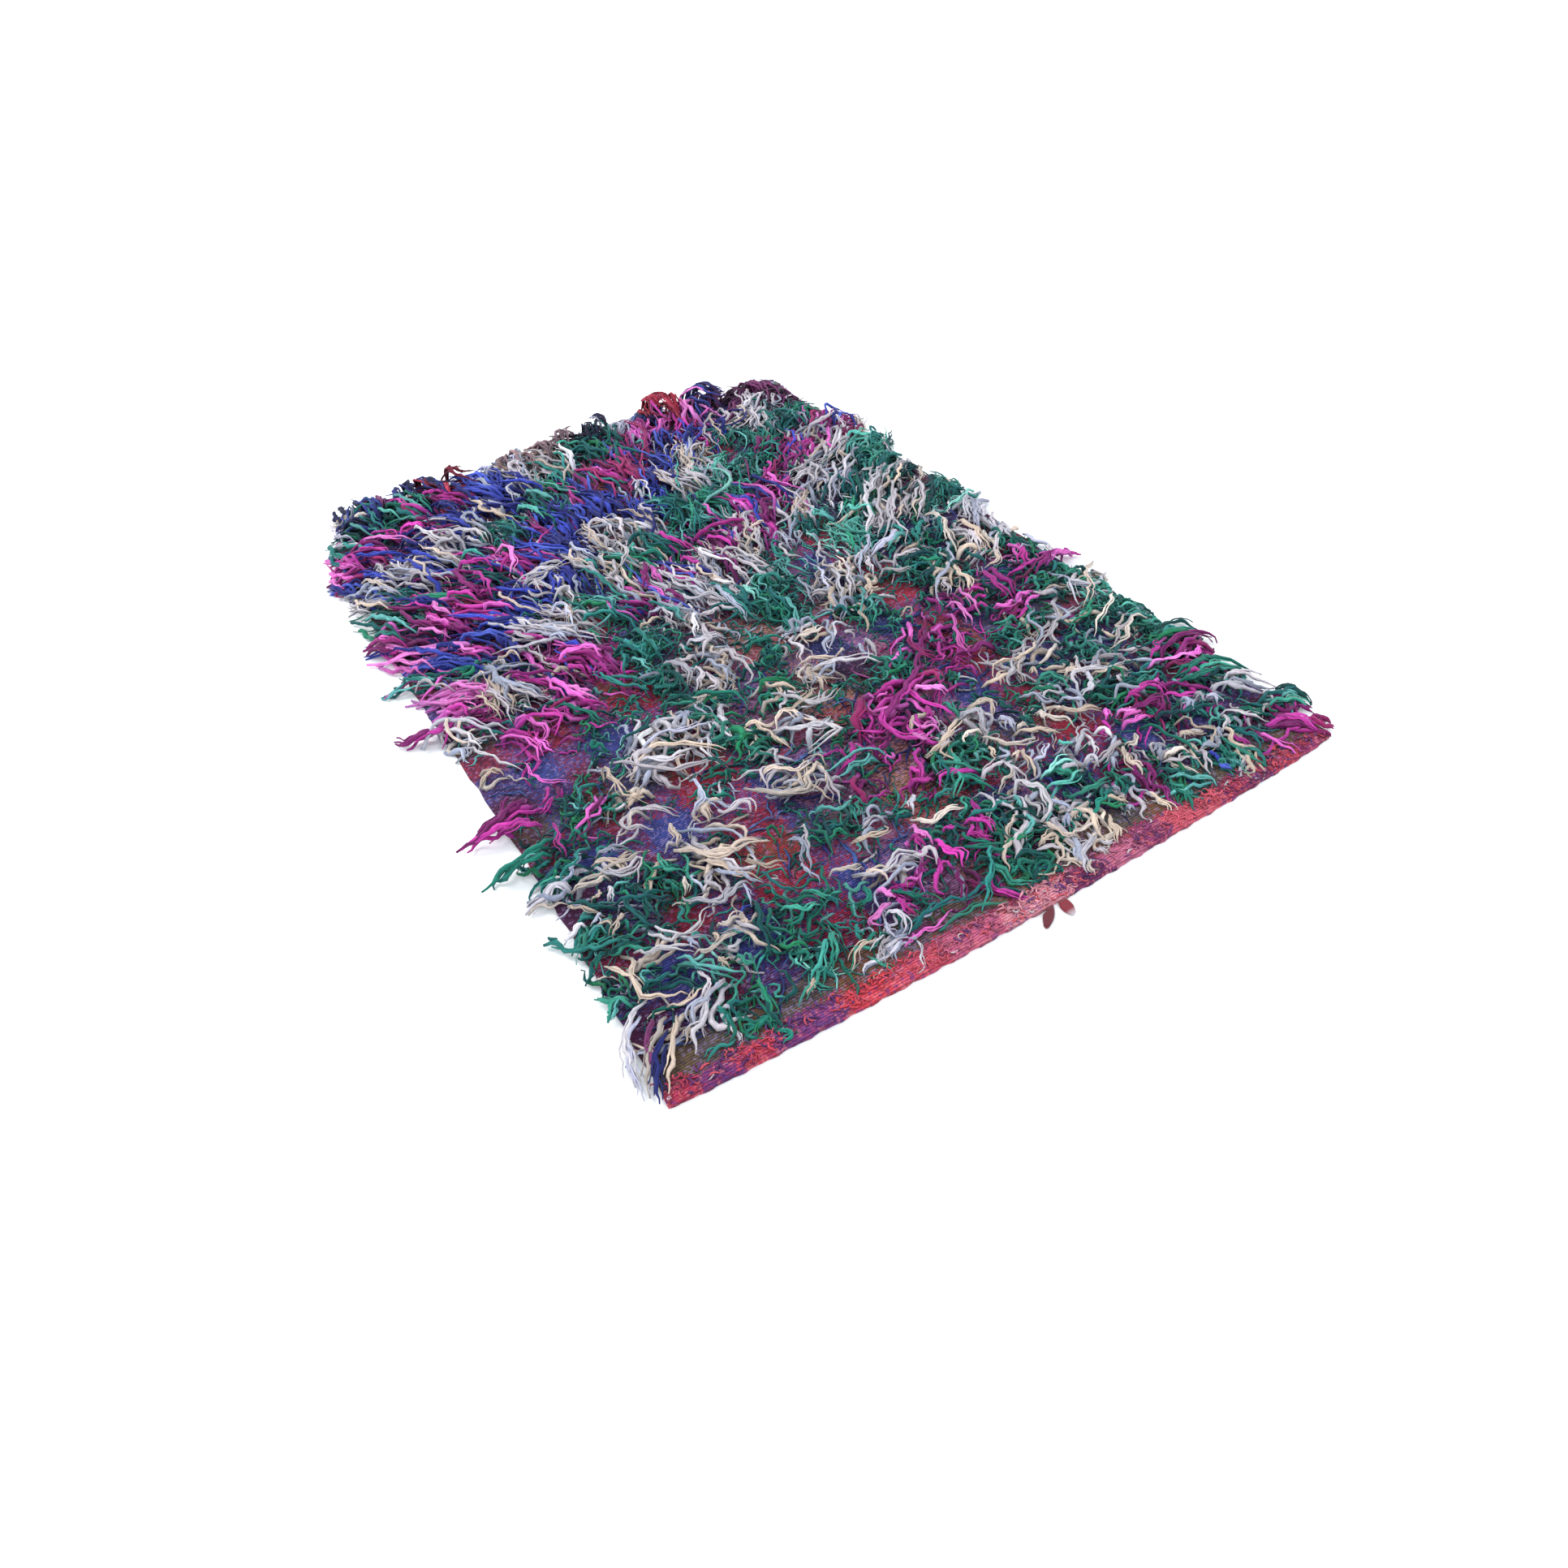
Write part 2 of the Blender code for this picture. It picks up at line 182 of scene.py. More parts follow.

# --------------------------------------------------------------------------
# Where each colour of wool lies: kind, x from, x to, y from, y to, and the
# way its locks point in degrees where that differs from the lay around it.
# Read in plan, on a level 12 mm above the floor.
# --------------------------------------------------------------------------
PATCHES = [
    # far edge
    ("L", -.49, -.468, .60, .735), ("O", -.50, -.485, .66, .70), ("N", -.47, -.43, .62, .74), ("N", -.433, -.408, .64, .76),
    ("P", -.415, -.368, .695, .76), ("N", -.348, -.31, .70, .76), ("R", -.298, -.248, .665, .75), ("B", -.233, -.18, .645, .74),
    ("L", -.198, -.138, .70, .76), ("T", -.138, -.06, .695, .76), ("T", -.063, .005, .725, .795), ("K", .005, .08, .70, .80),
    ("L", .073, .13, .705, .795), ("D", .13, .19, .70, .78), ("R", .193, .26, .70, .80), ("N", .253, .32, .65, .79),
    ("P", .32, .348, .70, .785), ("P", .373, .393, .70, .765), ("P", .33, .46, .645, .74), ("L", .453, .508, .72, .748),
    ("V", .47, .493, .635, .715), ("P", .485, .50, .60, .73), ("P", .455, .48, .565, .675),
    # far left
    ("G", -.468, -.39, .60, .70), ("G", -.39, -.305, .60, .70), ("M", -.305, -.248, .60, .685), ("R", -.30, -.27, .575, .605),
    ("B", -.305, -.26, .50, .65), ("B", -.248, -.18, .505, .66), ("M", -.433, -.37, .56, .60, -28), ("M", -.375, -.318, .535, .605),
    ("G", -.52, -.44, .505, .605), ("M", -.535, -.48, .45, .57), ("M", -.47, -.405, .468, .56), ("B", -.405, -.343, .425, .54),
    ("C", -.348, -.303, .458, .535), ("C", -.303, -.258, .45, .49), ("C", -.36, -.32, .40, .488), ("B", -.54, -.505, .425, .488),
    ("B", -.48, -.44, .425, .50), ("C", -.445, -.355, .37, .495), ("C", -.485, -.44, .40, .445), ("B", -.50, -.46, .365, .43),
    ("C", -.535, -.495, .35, .445), ("C", -.278, -.235, .495, .58), ("C", -.235, -.205, .505, .58), ("G", -.258, -.18, .42, .513),
    ("G", -.315, -.29, .41, .455), ("C", -.44, -.34, .36, .42), ("G", -.46, -.43, .345, .39), ("G", -.44, -.405, .31, .34),
    ("G", -.528, -.45, .24, .36), ("M", -.46, -.365, .30, .37), ("M", -.345, -.28, .31, .395), ("G", -.34, -.31, .32, .35),
    ("M", -.285, -.23, .305, .415), ("B", -.233, -.18, .30, .375), ("M", -.44, -.30, .205, .31), ("B", -.298, -.25, .23, .295),
    ("B", -.238, -.18, .23, .29), ("B", -.348, -.28, .17, .245), ("C", -.30, -.26, .18, .29), ("W", -.25, -.17, .26, .30, -20),
    ("M", -.543, -.455, .205, .273), ("B", -.46, -.40, .123, .205), ("B", -.395, -.318, .138, .20), ("M", -.408, -.373, .135, .18),
    ("I", -.53, -.435, .13, .213), ("G", -.518, -.463, .11, .145, -32), ("G", -.433, -.373, .093, .135),
    ("C", -.353, -.21, .10, .22, -38), ("C", -.265, -.215, .115, .20), ("G", -.213, -.14, .07, .19), ("M", -.375, -.313, .105, .143),
    ("I", -.50, -.405, .03, .115, -42), ("C", -.435, -.30, .00, .11, -70), ("M", -.318, -.218, .02, .095), ("M", -.505, -.43, -.022, .05, -40),
    # far middle
    ("B", -.22, -.138, .60, .70), ("B", -.22, -.178, .505, .60), ("C", -.145, -.02, .575, .74), ("G", -.03, .005, .62, .725),
    ("G", .005, .055, .60, .713), ("G", .055, .10, .625, .72), ("G", -.183, -.095, .45, .56), ("G", -.095, -.045, .51, .64),
    ("M", -.133, -.115, .45, .50), ("M", -.10, -.055, .45, .54), ("M", -.035, -.018, .50, .595), ("M", -.008, .03, .465, .615),
    ("M", .05, .135, .56, .68), ("I", .11, .135, .60, .70), ("M", .143, .185, .64, .70), ("B", .15, .18, .60, .645),
    ("B", -.058, -.008, .41, .50), ("B", .018, .105, .41, .55), ("B", .10, .13, .475, .563), ("X", .03, .085, .50, .575),
    ("C", .08, .155, .40, .525), ("C", .15, .21, .40, .58), ("E", .135, .155, .41, .455), ("B", -.15, -.03, .40, .50),
    ("M", -.19, -.163, .40, .47), ("M", -.22, -.17, .31, .42), ("B", -.178, -.10, .305, .42), ("B", -.035, .035, .365, .42),
    ("C", -.115, -.045, .27, .40), ("C", -.165, -.135, .26, .35), ("C", -.048, .018, .30, .40), ("B", -.22, -.19, .235, .28),
    ("C", -.16, -.075, .18, .295), ("G", .04, .155, .255, .40), ("G", -.095, -.01, .205, .30), ("M", -.015, .02, .22, .29),
    ("M", .028, .143, .195, .25), ("M", .04, .08, .17, .22), ("M", .138, .18, .26, .32), ("M", -.103, .0, .095, .22),
    ("M", -.16, -.115, .095, .133), ("C", -.14, -.115, .12, .20), ("W", -.06, -.02, .10, .18), ("C", -.13, -.07, .02, .08),
    ("C", -.063, -.005, .02, .11), ("C", -.01, .105, .07, .21), ("C", .10, .18, .11, .27), ("G", -.005, .09, .02, .075),
    ("G", .12, .145, .06, .13), ("G", .09, .12, .02, .09),
    # far right
    ("M", .198, .248, .61, .70), ("I", .235, .27, .65, .755), ("I", .26, .305, .655, .685, 0), ("B", .30, .35, .605, .66),
    ("B", .20, .235, .55, .605), ("B", .27, .30, .555, .605), ("C", .30, .385, .525, .64), ("P", .35, .453, .62, .70),
    ("C", .36, .45, .60, .66), ("G", .265, .35, .425, .56), ("G", .35, .435, .50, .565), ("G", .425, .475, .53, .59),
    ("I", .423, .438, .505, .55), ("M", .41, .535, .43, .518, 40), ("M", .315, .40, .40, .47), ("E", .185, .22, .40, .475),
    ("G", .218, .315, .365, .463), ("W", .45, .475, .40, .47), ("C", .385, .435, .425, .488), ("C", .483, .545, .365, .43, 42),
    ("M", .20, .29, .265, .415), ("M", .175, .22, .265, .35), ("G", .16, .21, .305, .40), ("M", .30, .385, .35, .42),
    ("X", .45, .488, .378, .42), ("C", .285, .34, .265, .375), ("C", .335, .45, .295, .41, -135), ("E", .435, .49, .315, .388),
    ("G", .493, .548, .30, .373, 48), ("G", .398, .498, .23, .345), ("L", .30, .39, .235, .30), ("G", .28, .40, .15, .265),
    ("C", .215, .28, .185, .265), ("C", .16, .20, .20, .27), ("G", .21, .28, .15, .195), ("C", .32, .50, .16, .25, -140),
    ("C", .27, .38, .06, .15, -140), ("G", .433, .53, .07, .175), ("E", .423, .523, .05, .085, -170), ("G", .385, .448, .065, .125),
    ("C", .37, .45, .06, .145, -135), ("E", .22, .30, .05, .145), ("G", .30, .385, .02, .07), ("W", .473, .518, .02, .05, -30),
    # middle
    ("W", -.53, -.435, -.05, .01, -30), ("M", -.52, -.49, -.03, .003, 160), ("C", -.513, -.475, -.075, -.035), ("M", -.34, -.27, -.085, .04),
    ("M", -.25, -.21, -.035, -.005), ("M", -.43, -.35, -.10, -.05, -50), ("M", -.43, -.40, -.18, -.10, -80),
    ("G", -.335, -.29, -.15, -.05, -65), ("G", -.265, -.245, -.14, -.10), ("O", -.495, -.455, -.145, -.12, 30), ("G", -.348, -.32, -.195, -.155, -50),
    ("E", -.298, -.235, -.175, -.14, 25), ("L", -.28, -.18, -.21, -.15), ("C", -.33, -.18, -.28, -.185), ("O", -.345, -.315, -.29, -.21),
    ("M", -.50, -.445, -.255, -.185, -160), ("M", -.435, -.39, -.25, -.20), ("G", -.425, -.33, -.30, -.225), ("G", -.50, -.455, -.325, -.295, 175),
    ("G", -.505, -.41, -.365, -.33), ("C", -.36, -.33, -.345, -.30), ("C", -.28, -.25, -.355, -.29), ("G", -.225, -.20, -.31, -.27),
    ("G", -.205, -.125, -.045, .04), ("G", -.005, .10, -.045, .04), ("G", .03, .075, -.095, -.02), ("C", -.10, -.065, -.015, .04),
    ("C", -.10, -.04, -.04, -.005), ("C", -.18, -.065, -.165, -.045, -95), ("G", -.05, -.005, -.10, -.06), ("G", -.065, .005, -.155, -.10),
    ("G", -.20, -.16, -.13, -.02, -70), ("C", .0, .10, -.15, -.08), ("C", .10, .17, -.145, .0), ("G", .13, .18, -.15, -.07),
    ("G", -.19, -.11, -.22, -.135, -40), ("G", -.095, -.02, -.22, -.17, -15), ("C", -.22, -.14, -.235, -.165), ("W", -.22, -.18, -.27, -.225),
    ("C", -.015, .08, -.225, -.17), ("C", .085, .11, -.20, -.175), ("C", -.075, -.055, -.255, -.20), ("O", -.125, -.11, -.32, -.23),
    ("C", -.11, -.045, -.29, -.245, 10), ("W", -.11, -.03, -.305, -.275, -20), ("G", -.20, -.14, -.28, -.21), ("G", -.165, -.115, -.32, -.26),
    ("G", .025, .14, -.285, -.225), ("M", .128, .245, -.295, -.19, -145), ("M", -.005, .145, -.36, -.27, -148), ("G", -.045, .03, -.335, -.29),
    ("G", .14, .16, -.34, -.30), ("C", .16, .22, -.075, .04), ("C", .22, .315, .0, .04), ("G", .273, .35, -.01, .04),
    ("G", .25, .35, -.115, -.038), ("C", .375, .42, -.08, .03, -100), ("C", .44, .50, -.075, .04), ("C", .375, .425, -.125, -.055),
    ("O", .265, .345, -.175, -.065, -120), ("C", .265, .30, -.14, -.105), ("G", .413, .498, -.135, -.08), ("I", .42, .46, -.165, -.10, -120),
    ("M", .41, .498, -.195, -.153), ("M", .498, .543, -.19, -.17, -10), ("M", .345, .375, -.23, -.133), ("M", .308, .355, -.27, -.21),
    ("M", .255, .30, -.25, -.135, -92), ("G", .30, .35, -.19, -.16), ("G", .373, .435, -.25, -.17), ("G", .448, .495, -.25, -.20),
    ("C", .42, .53, -.30, -.215, -140), ("G", .255, .31, -.31, -.25), ("G", .32, .385, -.295, -.26), ("C", .295, .40, -.345, -.27),
    ("E", .443, .515, -.36, -.26), ("G", .375, .45, -.35, -.31), ("C", .18, .345, -.38, -.33), ("M", .308, .375, -.365, -.34),
    # hem side
    ("L", -.50, -.455, -.40, -.375, 10), ("C", -.46, -.35, -.395, -.365, 5), ("C", -.42, -.37, -.395, -.345), ("C", -.31, -.32, -.39, -.35),
    ("C", -.325, -.22, -.455, -.385, -40), ("C", -.305, -.255, -.495, -.425, -60), ("G", -.47, -.32, -.50, -.40), ("L", -.51, -.44, -.475, -.435),
    ("G", -.50, -.45, -.49, -.44, -150), ("C", -.355, -.28, -.50, -.44), ("C", -.405, -.33, -.52, -.495, -20), ("C", -.435, -.37, -.545, -.505, -32),
    ("C", -.34, -.30, -.545, -.52), ("C", -.38, -.31, -.56, -.54), ("G", -.465, -.405, -.56, -.53), ("G", -.505, -.475, -.58, -.505, 160),
    ("O", -.47, -.45, -.58, -.51, -75), ("E", -.395, -.34, -.605, -.54, -55), ("G", -.315, -.285, -.61, -.52, -105), ("C", -.45, -.41, -.595, -.575),
    ("C", -.435, -.37, -.605, -.59), ("L", -.515, -.46, -.67, -.575, -125), ("O", -.51, -.445, -.675, -.60, -130), ("D", -.51, -.455, -.70, -.62, -125),
    ("C", -.495, -.44, -.69, -.61, -125), ("C", -.43, -.395, -.645, -.61, -135), ("G", -.42, -.355, -.70, -.615, -80), ("G", -.36, -.345, -.70, -.60, -95),
    ("E", -.31, -.25, -.675, -.615, -135), ("G", -.265, -.205, -.60, -.53), ("G", -.28, -.22, -.66, -.60), ("L", -.245, -.155, -.69, -.625),
    ("C", -.21, -.10, -.415, -.33), ("C", -.115, -.10, -.445, -.355), ("M", -.078, -.03, -.388, -.36), ("M", -.04, .085, -.415, -.34),
    ("G", -.098, -.04, -.415, -.365), ("C", .025, .165, -.43, -.395, 15), ("C", .12, .15, -.49, -.40, -90), ("C", .15, .18, -.47, -.44),
    ("G", -.18, -.06, -.49, -.435), ("M", -.10, -.06, -.47, -.425), ("M", -.048, .03, -.48, -.42), ("G", .005, .13, -.515, -.415),
    ("L", -.11, -.08, -.50, -.465), ("C", -.14, -.09, -.52, -.505), ("C", .06, .17, -.54, -.50), ("C", -.16, -.075, -.595, -.56, -15),
    ("M", -.16, -.055, -.62, -.56), ("M", -.09, -.055, -.66, -.61, -120), ("L", -.18, -.10, -.675, -.655, 10), ("G", -.058, .09, -.69, -.54, -110),
    ("M", -.02, .005, -.60, -.555), ("C", .04, .14, -.71, -.54), ("G", .11, .18, -.58, -.54), ("G", .10, .215, -.64, -.60),
    ("O", .11, .15, -.70, -.64), ("G", .34, .40, -.39, -.355), ("C", .385, .485, -.40, -.34, -155), ("G", .455, .51, -.425, -.34),
    ("G", .203, .265, -.445, -.40), ("W", .21, .24, -.445, -.415), ("C", .27, .33, -.46, -.405), ("C", .318, .393, -.448, -.41),
    ("G", .375, .523, -.445, -.40), ("G", .28, .40, -.50, -.45), ("E", .35, .405, -.49, -.46), ("C", .20, .28, -.50, -.445),
    ("M", .405, .528, -.495, -.44), ("M", .26, .368, -.543, -.498), ("M", .37, .42, -.56, -.505, -50), ("G", .39, .508, -.548, -.50),
    ("W", .18, .245, -.54, -.52), ("G", .273, .36, -.565, -.54), ("C", .175, .27, -.578, -.548), ("L", .355, .425, -.58, -.538),
    ("C", .445, .51, -.598, -.54), ("E", .35, .413, -.593, -.555), ("C", .265, .30, -.615, -.583), ("C", .315, .36, -.63, -.568),
    ("C", .30, .32, -.67, -.63), ("C", .37, .385, -.665, -.60), ("W", .415, .44, -.64, -.60), ("G", .425, .523, -.64, -.60),
    ("M", .438, .51, -.70, -.64), ("M", .395, .423, -.70, -.625), ("M", .215, .248, -.648, -.605), ("M", .22, .235, -.69, -.65),
    ("C", .16, .20, -.65, -.62), ("C", .20, .22, -.70, -.65), ("G", .235, .30, -.69, -.625), ("G", .30, .398, -.70, -.64),
]

# Single locks that stand out, drawn as a few points each, in the same plan.
LOCKS = [
    # kind, thickness in mm, points
    ("W", 7.0, [(-.533, -.02), (-.50, .01), (-.47, .005), (-.44, -.035), (-.435, -.065)]),
    ("W", 5.5, [(-.50, -.01), (-.475, -.03), (-.46, -.07)]),
    ("M", 4.5, [(-.43, -.06), (-.40, -.10), (-.405, -.14)]),
    ("M", 4.0, [(-.39, -.09), (-.39, -.115), (-.38, -.135)]),
    ("M", 6.0, [(-.37, -.125), (-.355, -.128), (-.335, -.14)]),
    ("M", 3.0, [(-.423, -.13), (-.42, -.18), (-.385, -.205)]),
    ("W", 4.5, [(-.478, -.055), (-.455, -.10), (-.43, -.145)]),
    ("O", 4.5, [(-.495, -.145), (-.465, -.12), (-.455, -.14)]),
    ("E", 4.5, [(-.298, -.175), (-.245, -.165), (-.235, -.13)]),
    ("O", 4.0, [(-.345, -.225), (-.335, -.21), (-.335, -.27), (-.315, -.30)]),
    ("M", 9.0, [(-.448, -.195), (-.478, -.214), (-.512, -.232), (-.560, -.240)]),
    ("M", 7.5, [(-.455, -.235), (-.485, -.236), (-.520, -.236), (-.552, -.240)]),
    ("M", 6.5, [(-.465, -.180), (-.480, -.200), (-.505, -.222), (-.535, -.236)]),
    ("M", 6.0, [(-.445, -.255), (-.470, -.250), (-.500, -.240)]),
    ("M", 7.5, [(-.500, .000), (-.525, .006), (-.545, .004), (-.566, .018)]),
    ("M", 6.0, [(-.490, -.012), (-.520, -.006), (-.550, .008)]),
    ("M", 3.5, [(-.43, -.26), (-.435, -.29), (-.44, -.325)]),
    ("G", 9.0, [(-.440, -.285), (-.475, -.298), (-.510, -.306), (-.556, -.322)]),
    ("E", 6.0, [(-.450, -.296), (-.485, -.302), (-.520, -.314), (-.548, -.320)]),
    ("G", 6.5, [(-.455, -.310), (-.490, -.314), (-.530, -.320)]),
    ("C", 5.0, [(-.34, -.30), (-.36, -.325), (-.33, -.345)]),
    ("C", 5.0, [(-.25, -.29), (-.25, -.325), (-.28, -.355)]),
    ("G", 4.0, [(-.225, -.27), (-.205, -.285), (-.20, -.31)]),
    ("W", 5.0, [(-.05, -.225), (-.045, -.25), (-.035, -.265), (.0, -.24)]),
    ("O", 4.0, [(-.125, -.23), (-.12, -.28), (-.11, -.32)]),
    ("C", 4.5, [(-.11, -.275), (-.08, -.245), (-.065, -.28), (-.045, -.29)]),
    ("W", 4.5, [(-.11, -.275), (-.05, -.305), (-.03, -.29)]),
    ("M", 8.0, [(.145, -.27), (.08, -.31), (.0, -.36)]),
    ("M", 6.5, [(.20, -.20), (.15, -.25), (.10, -.30)]),
    ("C", 5.0, [(.53, -.215), (.49, -.23), (.46, -.27), (.42, -.30)]),
    ("C", 5.5, [(-.46, -.385), (-.405, -.378), (-.35, -.375)]),
    ("C", 5.0, [(-.42, -.355), (-.40, -.372), (-.39, -.395)]),
    ("C", 5.5, [(-.41, -.345), (-.39, -.35), (-.37, -.355)]),
    ("C", 5.5, [(-.31, -.35), (-.313, -.37), (-.32, -.39)]),
    ("C", 6.5, [(-.325, -.39), (-.28, -.44), (-.26, -.43), (-.22, -.445)]),
    ("C", 5.5, [(-.305, -.425), (-.28, -.47), (-.26, -.495)]),
    ("C", 6.5, [(-.245, -.36), (-.245, -.375), (-.21, -.375), (-.215, -.39)]),
    ("H", 6.5, [(-.470, -.575), (-.485, -.560), (-.505, -.545)]),
    ("G", 4.5, [(-.505, -.58), (-.49, -.565), (-.475, -.565)]),
    ("W", 6.3, [(-.455, -.575), (-.488, -.597), (-.507, -.635), (-.516, -.672)]),
    ("L", 4.4, [(-.47, -.59), (-.495, -.615), (-.508, -.65), (-.514, -.69)]),
    ("O", 5.9, [(-.445, -.605), (-.472, -.63), (-.495, -.657), (-.508, -.69)]),
    ("N", 5.8, [(-.452, -.622), (-.474, -.645), (-.49, -.67), (-.503, -.703)]),
    ("N", 4.7, [(-.462, -.64), (-.483, -.665), (-.498, -.70)]),
    ("C", 5.5, [(-.435, -.61), (-.452, -.64), (-.470, -.665), (-.490, -.698)]),
    ("P", 6.0, [(-.46, -.60), (-.48, -.63), (-.497, -.67)]),
    ("C", 6.5, [(-.395, -.61), (-.41, -.63), (-.43, -.645), (-.445, -.672)]),
    ("C", 5.0, [(-.10, -.355), (-.105, -.41), (-.115, -.445)]),
    ("C", 4.5, [(-.14, -.505), (-.10, -.52), (-.09, -.505)]),
    ("M", 4.5, [(-.06, -.61), (-.075, -.64), (-.09, -.66)]),
    ("G", 6.0, [(.0, -.60), (-.04, -.65), (-.08, -.69)]),
    ("C", 5.0, [(.475, -.365), (.43, -.375), (.385, -.40)]),
    ("C", 5.5, [(.30, .64), (.25, .59), (.23, .55), (.225, .47)]),
    ("C", 5.5, [(.295, .64), (.265, .595), (.25, .50)]),
    ("C", 4.5, [(.0, .47), (.002, .445), (.0, .42)]),
    ("C", 4.5, [(.025, .475), (.05, .455), (.035, .40)]),
    ("W", 5.0, [(.475, .47), (.465, .435), (.455, .40)]),
    ("C", 4.5, [(.11, .03), (.105, -.01), (.095, -.05)]),
    ("C", 5.0, [(-.412, .051), (-.397, .006), (-.402, -.039)]),
    ("O", 4.5, [(-.427, .046), (-.417, .016), (-.412, -.024)]),
    ("C", 5.0, [(-.382, .046), (-.362, -.001), (-.334, -.032)]),
    ("C", 5.5, [(-.323, -.196), (-.299, -.227), (-.26, -.266), (-.19, -.278)]),
    ("C", 5.5, [(-.315, -.243), (-.26, -.212), (-.197, -.251), (-.182, -.266)]),
    ("L", 5.0, [(-.282, -.204), (-.237, -.194), (-.207, -.209), (-.167, -.204)]),
    ("C", 5.0, [(-.297, -.219), (-.252, -.244), (-.212, -.239)]),
    ("W", 5.5, [(-.112, -.266), (-.089, -.29), (-.05, -.301), (-.042, -.329), (-.096, -.337)]),
    ("C", 5.5, [(-.089, -.243), (-.057, -.251), (-.011, -.227)]),
    ("C", 5.0, [(-.073, -.196), (-.057, -.227), (-.026, -.262), (.013, -.243)]),
    ("C", 5.0, [(-.409, -.352), (-.401, -.391), (-.366, -.383), (-.385, -.414)]),
    ("C", 4.5, [(-.362, -.329), (-.331, -.305), (-.292, -.344)]),
    ("C", 5.0, [(-.245, -.297), (-.253, -.337), (-.229, -.376), (-.214, -.383)]),
    ("O", 6.0, [(-.198, -.344), (-.182, -.376), (-.135, -.399), (-.108, -.344)]),
    ("C", 5.5, [(-.174, -.344), (-.151, -.337), (-.132, -.36), (-.104, -.348)]),
    ("O", 4.0, [(-.104, -.36), (-.102, -.384), (-.108, -.407)]),
    ("C", 5.5, [(-.315, -.391), (-.299, -.422), (-.26, -.438), (-.221, -.442)]),
    ("C", 4.5, [(-.26, -.454), (-.253, -.477), (-.221, -.485)]),
    ("C", 5.0, [(-.198, -.454), (-.19, -.485), (-.206, -.516)]),
    ("C", 4.5, [(-.175, -.444), (-.179, -.469), (-.197, -.494)]),
    ("C", 6.0, [(-.37, -.602), (-.417, -.618), (-.428, -.645)]),
    ("I", 4.5, [(-.182, -.668), (-.142, -.674), (-.104, -.664)]),
    ("C", 5.0, [(-.167, -.547), (-.143, -.571), (-.104, -.555), (-.073, -.586)]),
    ("G", 5.0, [(-.342, -.384), (-.352, -.414), (-.327, -.434)]),
    ("G", 5.0, [(-.157, -.264), (-.152, -.304), (-.132, -.319)]),
    ("G", 5.5, [(-.147, -.434), (-.117, -.454), (-.097, -.444)]),
    ("G", 5.5, [(-.167, -.664), (-.117, -.649), (-.067, -.659), (-.027, -.639)]),
    ("G", 5.0, [(-.137, -.684), (-.087, -.679), (-.047, -.694)]),
    ("W", 5.0, [(.178, .038), (.166, -.009), (.147, -.048), (.127, -.087)]),
    ("C", 5.0, [(.205, .023), (.178, -.024), (.151, -.071)]),
    ("L", 5.0, [(.158, .036), (.143, -.004), (.128, -.044)]),
    ("C", 5.0, [(.022, -.11), (.053, -.122), (.077, -.11)]),
    ("C", 5.5, [(-.001, -.188), (.03, -.196), (.069, -.212), (.1, -.235)]),
    ("C", 5.0, [(-.012, -.169), (.023, -.174), (.053, -.194)]),
    ("G", 6.0, [(.069, -.001), (.057, -.055), (.03, -.102)]),
    ("I", 5.0, [(.248, -.188), (.233, -.227), (.209, -.266), (.209, -.297)]),
    ("X", 6.0, [(.163, -.204), (.151, -.243), (.166, -.278)]),
    ("M", 6.0, [(.139, -.29), (.084, -.313), (.053, -.329)]),
    ("M", 6.0, [(.038, -.313), (.014, -.36), (.03, -.399), (.061, -.407)]),
    ("C", 5.0, [(.389, -.258), (.373, -.297), (.326, -.329), (.28, -.344)]),
    ("W", 5.5, [(.522, -.251), (.49, -.266), (.467, -.266), (.443, -.243), (.42, -.29)]),
    ("C", 5.0, [(.311, -.321), (.272, -.344), (.217, -.337), (.202, -.36)]),
    ("C", 4.5, [(.493, -.294), (.453, -.319), (.413, -.339), (.383, -.364)]),
    ("C", 5.0, [(.483, -.376), (.451, -.368), (.412, -.399), (.381, -.399)]),
    ("C", 5.5, [(.272, -.454), (.295, -.414), (.319, -.422), (.35, -.438), (.381, -.43)]),
    ("C", 5.0, [(.328, -.384), (.308, -.409), (.313, -.434)]),
    ("G", 5.5, [(.403, -.394), (.363, -.424), (.303, -.464)]),
    ("G", 5.5, [(.443, -.294), (.403, -.324), (.373, -.319)]),
    ("G", 6.9, [(.470, -.408), (.502, -.409), (.517, -.422), (.520, -.442)]),
    ("G", 6.9, [(.456, -.423), (.486, -.425), (.511, -.433), (.517, -.447)]),
    ("H", 6.9, [(.439, -.423), (.468, -.427), (.495, -.437), (.512, -.446)]),
    ("M", 8.0, [(.414, -.464), (.437, -.446), (.463, -.440), (.493, -.442), (.516, -.452), (.527, -.465), (.520, -.482)]),
    ("M", 6.8, [(.432, -.470), (.462, -.459), (.489, -.454), (.510, -.457)]),
    ("M", 5.6, [(.445, -.480), (.469, -.481), (.490, -.472)]),
    ("I", 5.6, [(.392, -.460), (.413, -.466), (.438, -.472), (.456, -.481), (.466, -.493)]),
    ("M", 5.6, [(.406, -.452), (.430, -.440), (.449, -.435)]),
    ("X", 5.5, [(.409, -.477), (.430, -.488), (.449, -.492)]),
    ("G", 7.8, [(.405, -.497), (.432, -.503), (.468, -.497), (.493, -.510), (.503, -.531), (.507, -.553)]),
    ("G", 7.1, [(.391, -.510), (.423, -.517), (.458, -.522), (.490, -.536), (.502, -.558)]),
    ("H", 6.6, [(.415, -.495), (.451, -.498), (.477, -.503)]),
    ("E", 4.9, [(.406, -.511), (.436, -.520), (.467, -.528), (.496, -.545)]),
    ("H", 6.6, [(.434, -.514), (.478, -.518), (.499, -.542)]),
